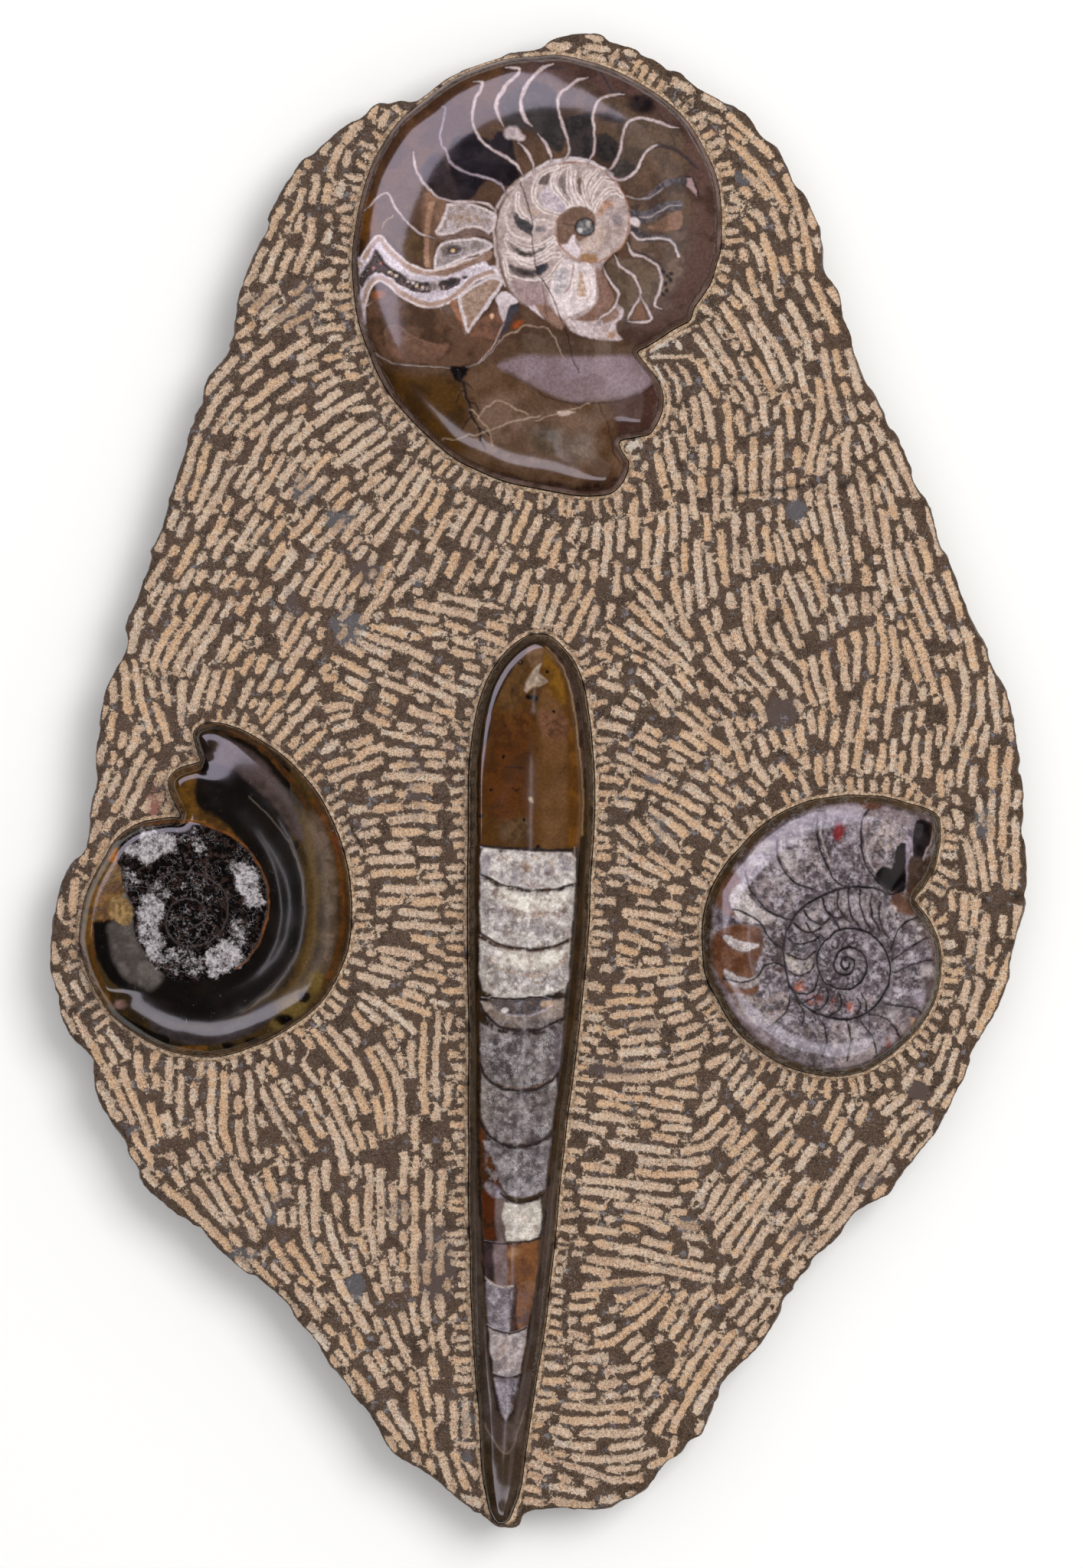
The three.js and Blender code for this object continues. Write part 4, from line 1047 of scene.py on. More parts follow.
def matrix_material():
    k = Mat("chiselled_limestone")
    big = k.noise(70, 3)
    lump = k.noise(330, 3)
    mid = k.noise(900, 4, 0.65)
    fine = k.noise(2600, 3, 0.6)
    grain = k.noise(7000, 2, 0.6)
    trk, along, rnd = k.attr("trk"), k.attr("along"), k.attr("rnd")
    face = k.attr("face")
    pale = k.attr("pale")
    # ragged edge of each stroke, scalloped at the pitch of the chisel's blows
    phase = k.add(k.mul(along, 3.5), k.add(k.mul(rnd, 40.0), k.add(k.mul(lump, 9.0), k.mul(mid, 3.0))))
    beat = k.math("SINE", phase)
    edge = k.add(trk, k.mul(k.add(mid, -0.5), 3.9))
    edge = k.add(edge, k.mul(k.add(fine, -0.5), 3.2))
    edge = k.add(edge, k.mul(k.add(lump, -0.5), 2.9))
    edge = k.add(edge, k.mul(beat, 0.03))
    work = k.span(edge, 0.03, -0.09)
    # cross marks inside the strokes, with a painted highlight on the top of each mark
    broken = k.add(beat, k.mul(k.add(mid, -0.5), 7.5))
    marks = k.span(broken, 0.15, 0.90)
    marks = k.mul(marks, k.span(k.noise(420, 3), 0.40, 0.56, 0.12, 1.0))
    painted_crest_highlight = k.mul(k.span(broken, -0.25, -0.95), k.span(k.noise(160, 3), 0.40, 0.62))
    # stone colours
    dark = k.mix(k.span(lump, 0.35, 0.65), (0.035, 0.0188, 0.0095), (0.073, 0.0425, 0.0245))
    dark = k.mix(k.span(big, 0.38, 0.62), dark, (0.073, 0.0410, 0.0245))
    dark = k.mix(k.span(mid, 0.54, 0.66, 0.0, 0.75), dark, (0.125, 0.086, 0.060))
    dark = k.mix(k.span(fine, 0.54, 0.68, 0.0, 0.75), dark, (0.235, 0.175, 0.128))
    pits = k.span(k.add(fine, k.mul(k.add(mid, -0.5), 0.8)), 0.42, 0.34)
    dark = k.mix(k.mul(pits, 0.75), dark, (0.016, 0.009, 0.005))
    tan = k.mix(k.span(mid, 0.38, 0.60), (0.49, 0.300, 0.178), (0.80, 0.588, 0.428))
    tan = k.mix(k.span(big, 0.46, 0.60, 0.0, 0.75), tan, (0.62, 0.490, 0.385))
    tan = k.mix(k.span(rnd, 0.0, 1.0, 0.0, 0.30), tan, (0.74, 0.575, 0.430))
    warm = k.math("FRACT", k.mul(rnd, 7.3))
    tan = k.mix(k.span(k.add(warm, k.mul(k.add(big, -0.5), 2.5)), 0.38, 0.92, 0.0, 0.80), tan, (0.70, 0.425, 0.222))
    tan = k.mix(k.span(k.add(k.math("FRACT", k.mul(rnd, 3.1)), k.mul(k.add(lump, -0.5), 2.0)), 0.80, 1.05, 0.0, 0.6), tan, (0.78, 0.68, 0.580))
    tan = k.mix(k.mul(marks, 0.32), tan, (0.410, 0.205, 0.090))
    # painted highlight: cream on the top of each chisel mark
    tan = k.mix(k.mul(painted_crest_highlight, 0.35), tan, (0.88, 0.77, 0.660))
    # worn brown in the floor of a track, pale along its lips
    worn = k.mul(k.span(k.noise(1350, 3, 0.65), 0.49, 0.59), k.span(edge, -0.18, -0.50))
    worn = k.mul(worn, k.span(k.noise(95, 3), 0.36, 0.58, 0.30, 1.0))
    tan = k.mix(k.mul(worn, 0.80), tan, (0.315, 0.146, 0.066))
    tan = k.mix(k.span(edge, -0.34, -0.10, 0.0, 0.60), tan, (0.90, 0.730, 0.565))
    tan = k.mix(k.span(grain, 0.54, 0.66, 0.0, 0.7), tan, (0.97, 0.88, 0.790))
    tan = k.mix(k.span(fine, 0.45, 0.36, 0.0, 0.9), tan, (0.090, 0.048, 0.028))
    tan = k.mix(k.mul(pale, 0.85), tan, k.mix(mid, (0.50, 0.42, 0.34), (0.92, 0.86, 0.79)))
    stain, stf = k.attr("stain", "Color"), k.attr("stf")
    rag = k.span(k.add(stf, k.mul(k.add(mid, -0.5), 2.0)), 0.35, 0.60)
    dark = k.mix(k.mul(rag, 0.85), dark, k.mix(1.0, stain, k.mix(fine, (0.45, 0.45, 0.45), (1.5, 1.5, 1.5)), "MULTIPLY"))
    tan = k.mix(k.mul(rag, 0.30), tan, stain)
    # pale flecks, bluish stones and calcite specks on the smooth stone
    fleck = k.span(k.cells(620), 0.055, 0.11, 1.0, 0.0)
    dark = k.mix(k.mul(fleck, 0.8), dark, (0.46, 0.42, 0.38))
    patch = k.span(k.noise(120, 3), 0.44, 0.60)
    blue = k.span(k.add(k.cells(240), k.mul(k.add(mid, -0.5), 1.9)), 0.14, 0.26, 1.0, 0.0)
    blue = k.mul(blue, k.mul(patch, 0.62))
    dark = k.mix(blue, dark, k.mix(fine, (0.085, 0.080, 0.092), (0.27, 0.262, 0.288)))
    body = k.mix(work, dark, tan)
    body = k.mix(k.mul(blue, 0.5), body, k.mix(fine, (0.080, 0.080, 0.100), (0.34, 0.34, 0.38)))
    # bruised stone at the foot of the fossils, broken and uneven
    near = k.attr("foot")
    foot = k.add(near, k.add(k.mul(k.add(mid, -0.5), 3.4), k.mul(k.add(lump, -0.5), 3.4)))
    collar = k.mul(k.span(foot, 1.75, 1.45), k.span(near, 0.28, 0.40))
    collar = k.mul(collar, k.span(k.noise(110, 3), 0.34, 0.46))
    cream = k.mix(k.span(mid, 0.40, 0.62), (0.36, 0.225, 0.130), (0.74, 0.57, 0.420))
    cream = k.mix(k.span(fine, 0.44, 0.36, 0.0, 0.8), cream, (0.130, 0.075, 0.045))
    body = k.mix(k.mul(collar, 0.95), body, cream)
    body = k.mix(k.span(near, 0.34, 0.20), body, (0.042, 0.024, 0.012))
    body = k.mix(k.mul(k.attr("crack"), 0.9), body, (0.014, 0.008, 0.005))
    # the broken rim and the sides
    lip = k.add(k.attr("edge"), k.mul(k.add(lump, -0.5), 1.6))
    body = k.mix(k.mul(k.span(lip, 0.40, 0.05), 0.6), body, (0.070, 0.044, 0.030))
    side = k.mix(k.span(k.noise(150, 4, 0.6), 0.38, 0.62), (0.060, 0.039, 0.026), (0.150, 0.108, 0.078))
    side = k.mix(k.span(mid, 0.54, 0.66, 0.0, 0.7), side, (0.28, 0.21, 0.155))
    side = k.mix(k.span(k.noise(55, 3), 0.50, 0.62, 0.0, 0.6), side, (0.175, 0.105, 0.066))
    side = k.mix(k.mul(pits, 0.6), side, (0.028, 0.018, 0.012))
    side = k.mix(k.mul(fleck, 0.5), side, (0.42, 0.36, 0.30))
    colour = k.mix(k.span(face, 0.45, 0.9), side, body)
    rough = k.span(work, 0.0, 1.0, 0.58, 0.95)
    relief = k.add(k.mul(k.mul(work, marks), -0.18), k.mul(k.mul(work, fine), 1.3))
    relief = k.add(relief, k.add(k.mul(mid, 0.9), k.mul(grain, 0.12)))
    return k.shader(colour, rough, k.bump(relief, 0.00042, 0.9), Specular_IOR_Level=0.14)


def fossil_material(name, clear_coat=0.25, crystal_size=1150, veil=0.35, speck=0.0, frosted=False):
    """Polished stone. The drawn colours come with the points; crystal grain, peppering,
    hairlines and wear are worked out here."""
    k = Mat(name)
    base = k.attr("ink", "Color")
    cal, rgh, fleck = k.attr("calcite"), k.attr("rough"), k.attr("fleck")
    lump = k.noise(260, 3, 0.6)
    mid = k.noise(850, 4, 0.65)
    fine = k.noise(3000, 3, 0.6)
    tone = k.add(k.mul(k.add(mid, -0.5), 1.5), k.mul(k.add(fine, -0.5), 1.1))
    light = k.mix(k.math("ADD", tone, 0.5, clamp=True), (0.55, 0.53, 0.51), (1.45, 1.45, 1.45))
    colour = k.mix(0.9, base, light, "MULTIPLY")
    if frosted:
        # white crystal grown through the black, feathery at its edges
        cloud = k.add(k.mul(k.add(k.noise(360, 5, 0.72), -0.5), 2.4), k.mul(k.add(k.noise(1300, 4, 0.7), -0.5), 1.7))
        cover = k.span(k.add(cal, cloud), 0.42, 1.12, 0.0, 0.95)
        dark_bits = k.span(k.noise(1250, 4, 0.7), 0.44, 0.34, 0.0, 0.75)
        white = k.mix(k.span(mid, 0.36, 0.62), (0.25, 0.22, 0.232), (0.56, 0.515, 0.535))
        white = k.mix(k.mul(dark_bits, 0.6), white, (0.110, 0.085, 0.082))
        ridge = k.math("ABSOLUTE", k.add(k.noise(380, 3, 0.6), -0.5))
        web = k.mul(k.span(ridge, 0.020, 0.004), k.span(k.noise(150, 3), 0.40, 0.56))
        mottle = k.span(k.noise(520, 5, 0.7), 0.50, 0.60)
        inner = k.mix(k.mul(mottle, 0.8), colour, (0.034, 0.018, 0.013))
        inner = k.mix(k.mul(web, 0.75), inner, (0.155, 0.135, 0.140))
        colour = k.mix(fleck, colour, inner)
        colour = k.mix(cover, colour, white)
    else:
        # crystals: pale cells with darker joints in the calcite
        place = k.shifted(0.0012, 900)
        joint = k.span(k.cells(crystal_size, "DISTANCE_TO_EDGE", vec=place), 0.0, 0.10, 1.0, 0.0)
        facet = k.cells(crystal_size, "F1", "Color", vec=place)
        bw = k.t.nodes.new("ShaderNodeSeparateColor")
        k.put(bw.inputs[0], facet)
        shade = k.span(bw.outputs[0], 0.0, 1.0, 0.72, 1.26)
        grey = k.t.nodes.new("ShaderNodeCombineColor")
        for i in range(3):
            k.put(grey.inputs[i], shade)
        crystal = k.mix(1.0, colour, grey.outputs[0], "MULTIPLY")
        crystal = k.mix(k.mul(joint, veil), crystal, (0.11, 0.085, 0.085))
        # frosty white grains and dark grains between them
        frost = k.span(k.add(fine, k.mul(k.add(lump, -0.5), 0.7)), 0.56, 0.68, 0.0, 0.45 + 0.3 * speck)
        crystal = k.mix(k.mul(frost, 0.8), crystal, (0.57, 0.53, 0.54))
        if speck:
            grit = k.noise(1050, 4, 0.7)
            dim = k.span(k.add(grit, k.mul(k.add(lump, -0.5), 1.1)), 0.48, 0.36, 0.0, speck)
            crystal = k.mix(dim, crystal, (0.050, 0.038, 0.040))
            bright = k.span(k.add(k.noise(820, 4, 0.7), k.mul(k.add(lump, -0.5), 0.9)), 0.54, 0.66, 0.0, 0.7 * speck)
            crystal = k.mix(bright, crystal, (0.56, 0.52, 0.545))
        colour = k.mix(cal, colour, crystal)
        pepper = k.span(k.add(k.cells(700), k.mul(k.add(mid, -0.5), 0.22)), 0.06, 0.14, 1.0, 0.0)
        colour = k.mix(k.mul(k.mul(pepper, fleck), 0.85), colour, (0.016, 0.010, 0.007))
    dust = k.span(k.cells(1300), 0.030, 0.065, 1.0, 0.0)
    colour = k.mix(k.mul(dust, 0.22), colour, (0.50, 0.42, 0.36))
    rough = k.add(k.span(rgh, 0.0, 1.0, 0.13, 0.80), k.mul(k.add(lump, -0.5), 0.06))
    relief = k.add(k.mul(k.mul(rgh, mid), 1.0), k.mul(lump, 0.04))
    return k.shader(colour, rough, k.bump(relief, 0.0006, 0.8), Specular_IOR_Level=0.5,
                    Coat_Weight=clear_coat, Coat_Roughness=0.07)


slab.data.materials.append(matrix_material())
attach(slab, "root")
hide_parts("matrix_slab")


# ---------------------------------------------------------------- drawing on a fossil
LEVEL = 0.86


def ink(*rgb):
    """Stone colour that looks like a given screen colour under these lamps."""
    c = np.array(rgb, float) / 255
    return LEVEL * np.where(c <= 0.04045, c / 12.92, ((c + 0.055) / 1.055) ** 2.4)


class Drawing:
    """Colour, crystal, roughness and relief of a fossil at each of its points."""

    def __init__(self, p, base, seed):
        self.p = p
        self.seed = seed
        n = len(p)
        self.ink = np.tile(np.asarray(base, float), (n, 1))
        self.calcite, self.rough, self.fleck, self.relief = (np.zeros(n) for _ in range(4))
        self.w = p + np.stack([noise(p, 9, seed + 1, 3), noise(p, 9, seed + 2, 3)], 1) * 1.6
        self.ww = p + np.stack([noise(p, 22, seed + 3, 3), noise(p, 22, seed + 4, 3)], 1) * 5.0

    def where(self, line, pad):
        a = np.asarray(line, float)
        lo, hi = a.min(0) - pad, a.max(0) + pad
        return np.where((self.p[:, 0] > lo[0]) & (self.p[:, 0] < hi[0]) & (self.p[:, 1] > lo[1]) & (self.p[:, 1] < hi[1]))[0]

    def lay(self, i, alpha, colour, calcite=None, rough=None, fleck=None, relief=None):
        a = np.clip(alpha, 0, 1)[:, None]
        self.ink[i] = self.ink[i] * (1 - a) + colour * a
        for key, value in (("calcite", calcite), ("rough", rough), ("fleck", fleck)):
            if value is not None:
                f = getattr(self, key)
                f[i] = f[i] * (1 - a[:, 0]) + value * a[:, 0]
        if relief is not None:
            self.relief[i] += relief * a[:, 0]

    def tone(self, i, c1, c2=None, size=18, seed=0, cut=0.0, soft=0.45):
        if c2 is None:
            return np.tile(np.asarray(c1, float), (len(i), 1))
        f = smooth(cut - soft, cut + soft, noise(self.p[i], size, self.seed + seed, 3) * 1.6)[:, None]
        return np.asarray(c1) * (1 - f) + np.asarray(c2) * f

    def fill(self, shape, c1, c2=None, soft=2.5, strength=1.0, size=18, seed=0, cut=0.0, wild=False,
             smoothed=True, ragged=0.0, grain=6.0, **more):
        """Fills a closed shape."""
        line = curve(shape, 4, True) if smoothed else np.asarray(shape, float)
        i = self.where(line, soft + 8)
        if not len(i):
            return
        w = (self.ww if wild else self.w)[i]
        d, _a, _s = away(w, line, True)
        d = np.where(inside(w, line), -d, d)
        if ragged:
            d = d + ragged * noise(self.p[i], grain, self.seed + 77, 3)
        self.lay(i, smooth(soft, -soft, d) * strength, self.tone(i, c1, c2, size, seed, cut), **more)

    def stroke(self, line, colour, width=3.0, soft=1.2, strength=1.0, smoothed=True, taper=False, wild=False,
               c2=None, patchy=0.0, **more):
        """Draws a line of a given full width."""
        line = curve(line, 3) if smoothed else np.asarray(line, float)
        i = self.where(line, width + soft + 4)
        if not len(i):
            return
        w = (self.ww if wild else self.w)[i]
        d, a, _s = away(w, line)
        total = np.hypot(*(line[1:] - line[:-1]).T).sum()
        half = np.full(len(i), width / 2)
        if taper:
            half = half * np.clip(np.minimum(a, total - a) / 12, 0.25, 1)
        half = half * (1 + 0.25 * noise(self.p[i], 14, self.seed + 55))
        alpha = smooth(half + soft, half - soft, d) * strength
        if patchy:
            alpha = alpha * (1 - patchy * smooth(-0.1, 0.5, noise(self.p[i], 9, self.seed + 56, 2)))
        self.lay(i, alpha, self.tone(i, colour, c2, 12), **more)

    def spot(self, x, y, rx, ry, c1, c2=None, soft=0.35, strength=1.0, turn=0.0, wild=True, seed=0, size=10, **more):
        i = self.where([(x - 1.6 * max(rx, ry), y - 1.6 * max(rx, ry)), (x + 1.6 * max(rx, ry), y + 1.6 * max(rx, ry))], 3)
        if not len(i):
            return
        w = (self.ww if wild else self.w)[i] - (x, y)
        c, s = math.cos(math.radians(turn)), math.sin(math.radians(turn))
        u, v_ = w[:, 0] * c - w[:, 1] * s, w[:, 0] * s + w[:, 1] * c
        r = np.hypot(u / rx, v_ / ry)
        self.lay(i, smooth(1 + soft, 1 - soft, r) * strength, self.tone(i, c1, c2, size, seed), **more)

    def cloud(self, c, size, amount, cut=0.1, soft=0.4, seed=0, mask=None, **more):
        """Blotches all over, or where the mask says."""
        i = np.arange(len(self.p))
        f = smooth(cut - soft, cut + soft, noise(self.p, size, self.seed + 100 + seed, 3) * 1.6) * amount
        if mask is not None:
            f = f * mask
        self.lay(i, f, self.tone(i, c), **more)

    def crack(self, line, colour=(0.012, 0.009, 0.008), width=1.6, strength=0.9, jag=2.0, **more):
        a = curve(line, 4)
        n = normals_out(a, 1) if len(a) > 2 else np.zeros_like(a)
        a = a + n * (jag * noise(a, 9, self.seed + 61, 2))[:, None]
        self.stroke(a, colour, width, 0.9, strength, smoothed=False, relief=-0.05, **more)


def soft_distance(outline, v, soft):
    """Distance in px from the outline, rounded over where two sides meet, so that the
    polish runs round a notch without a crease."""
    cell = 3.0
    lo, hi = outline.min(0) - 3 * cell, outline.max(0) + 3 * cell
    nx, ny = int((hi[0] - lo[0]) / cell) + 1, int((hi[1] - lo[1]) / cell) + 1
    gx, gy = np.meshgrid(lo[0] + cell * np.arange(nx), lo[1] + cell * np.arange(ny), indexing="ij")
    g = np.stack([gx.ravel(), gy.ravel()], 1)
    d, _ = nearest(tree(resample(outline, 0.8, True)), g)
    d = np.where(inside(g, outline), d, -d).reshape(nx, ny)
    fixed = d < 1.6 * cell
    u = np.exp(-d / soft)
    k = (cell / soft) ** 2
    for _ in range(2200):
        a = np.zeros_like(u)
        a[1:-1, 1:-1] = u[2:, 1:-1] + u[:-2, 1:-1] + u[1:-1, 2:] + u[1:-1, :-2]
        u = np.where(fixed, u, a / (4 + k))
    s = -soft * np.log(np.maximum(u, 1e-12))
    i, j = (v[:, 0] - lo[0]) / cell, (v[:, 1] - lo[1]) / cell
    p, q = i.astype(int), j.astype(int)
    f, h = i - p, j - q
    return np.maximum((s[p, q] * (1 - f) + s[p + 1, q] * f) * (1 - h)
                      + (s[p, q + 1] * (1 - f) + s[p + 1, q + 1] * f) * h, 0.0)


def build_fossil(name, spacing, rise, shoulder, draw, material, flat=0.93):
    outline = anticlockwise(resample(PLANS[name], spacing, True))
    n = len(outline)
    lo, hi = outline.min(0), outline.max(0)
    dy = spacing * 0.866
    ys = np.arange(lo[1], hi[1], dy)
    grid = []
    for r, y in enumerate(ys):
        x = np.arange(lo[0] + (spacing / 2 if r % 2 else 0), hi[0], spacing)
        grid.append(np.stack([x, np.full(len(x), y)], 1))
    grid = np.vstack(grid)
    grid = grid[inside(grid, outline)]
    kd = tree(resample(outline, 0.6, True))
    d, _ = nearest(kd, grid)
    # rows of points follow the rim, where the dome turns sharply
    rows = []
    out = normals_out(outline, 2)
    for inset in (0.8, 2.0, 3.6):
        q = outline - out * inset
        dq, _ = nearest(kd, q)
        ok = inside(q, outline) & (dq > 0.93 * inset - 0.1)
        rows.append((q[ok], dq[ok]))
    keep = d > 3.6 + 0.62 * spacing
    grid = np.vstack([q for q, _d in rows] + [grid[keep]])
    d = np.concatenate([dq for _q, dq in rows] + [d[keep]])
    close = tree(grid)
    spare = np.ones(len(grid), bool)
    for a in range(sum(len(q) for q, _d in rows)):
        if spare[a]:
            for _co, b, far_ in close.find_range((grid[a][0], grid[a][1], 0.0), 0.55):
                if b != a:
                    spare[b] = False
    grid, d = grid[spare], d[spare]
    pts_f = np.vstack([outline, grid])
    v, t, src = triangulate(pts_f, [range(n)])
    t = t[inside(v[t].mean(1), outline)]
    if (src < 0).any():
        raise RuntimeError("the outline of " + name + " crosses itself")
    back = np.empty(len(pts_f), int)
    back[src] = np.arange(len(src))
    dist = np.concatenate([np.zeros(n), d])[src] * UNIT
    free = src >= n
    art = draw(v, dist)
    if hasattr(art, "height"):
        z = art.height(rise, shoulder, flat)
    else:
        near = smooth(3.0, 9.0, dist)
        far = soft_distance(outline, v, 20.0) * UNIT
        z = dome_height(dist * (1 - near) + far * near, rise, getattr(art, "shoulder", shoulder), flat)
    z = settle(z, t, free & (dist > 0.7), 26)
    wave = smooth(0, 6, dist) * (0.10 * noise(v, 120, 7, 2) + 0.035 * noise(v, 30, 8, 2))
    z = z + wave + art.relief
    ring = back[:n]
    cols = {"ink": art.ink}
    attrs = {"calcite": art.calcite, "rough": art.rough, "fleck": art.fleck}
    co = [metres(v, z)]
    tris = [t]
    prev = ring
    nv = len(v)
    foot = outline
    levels = [TOP + 1.0, TOP + 0.45, TOP - 0.6, TOP - 3.6, TOP - 7.7]
    for r, zz in enumerate(levels):
        cur = nv + r * n + np.arange(n)
        co.append(metres(foot, np.full(n, zz)))
        a, b, c, e = prev, np.roll(prev, -1), cur, np.roll(cur, -1)
        tris += [np.stack([a, c, e], 1), np.stack([a, e, b], 1)]
        prev = cur
    sparse = triangulate(foot, [range(n)])
    bt = sparse[1][inside(sparse[0][sparse[1]].mean(1), outline)]
    tris.append((nv + (len(levels) - 1) * n + sparse[2][bt])[:, ::-1])
    more = len(levels) * n
    cols = {"ink": np.vstack([art.ink] + [art.ink[ring] * 0.8] * len(levels))}
    attrs = {key: np.concatenate([a] + [a[ring]] * len(levels)) for key, a in attrs.items()}
    ob = make_mesh(name + "_polished", np.vstack(co), np.vstack(tris), attrs, cols, sharp=70)
    ob.data.materials.append(material)
    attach(ob, "root")
    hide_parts(name)
    print(name, "triangles", len(ob.data.polygons))
    return ob


def dome_height(dist, rise, shoulder, flat=0.93):
    lip = 1.4
    t = np.clip(dist / shoulder, 0, 1)
    inner = np.clip(dist / (2.2 * shoulder), 0, 1)
    return TOP + lip + (rise - lip) * (flat * np.sqrt(1 - (1 - t) ** 2) + (1 - flat) * inner)


def rim_band(art, dist, c1, c2, width=2.2, strength=1.0, seed=0, soft=0.5):
    """The dark worked rim of a fossil."""
    i = np.where(dist < width + 1.5)[0]
    d = dist[i] + 0.35 * noise(art.p[i], 16, art.seed + 91 + seed, 2)
    art.lay(i, smooth(width + soft, width - soft, d) * strength, art.tone(i, c1, c2, 24, seed))


# ---------------------------------------------------------------- the large ammonite
def ink_of(c):
    return ink(*c)


def chamber(a, shape, c1, c2=None, soft=2.0, wild=False, **more):
    a.fill(shape, ink(*c1), None if c2 is None else ink(*c2), soft=soft, wild=wild, **more)


def line(a, shape, c, width=3.0, c2=None, **more):
    a.stroke(shape, ink(*c), width=width, c2=None if c2 is None else ink(*c2), **more)


def blob(a, x, y, rx, ry, c1, c2=None, **more):
    a.spot(x, y, rx, ry, ink(*c1), None if c2 is None else ink(*c2), **more)


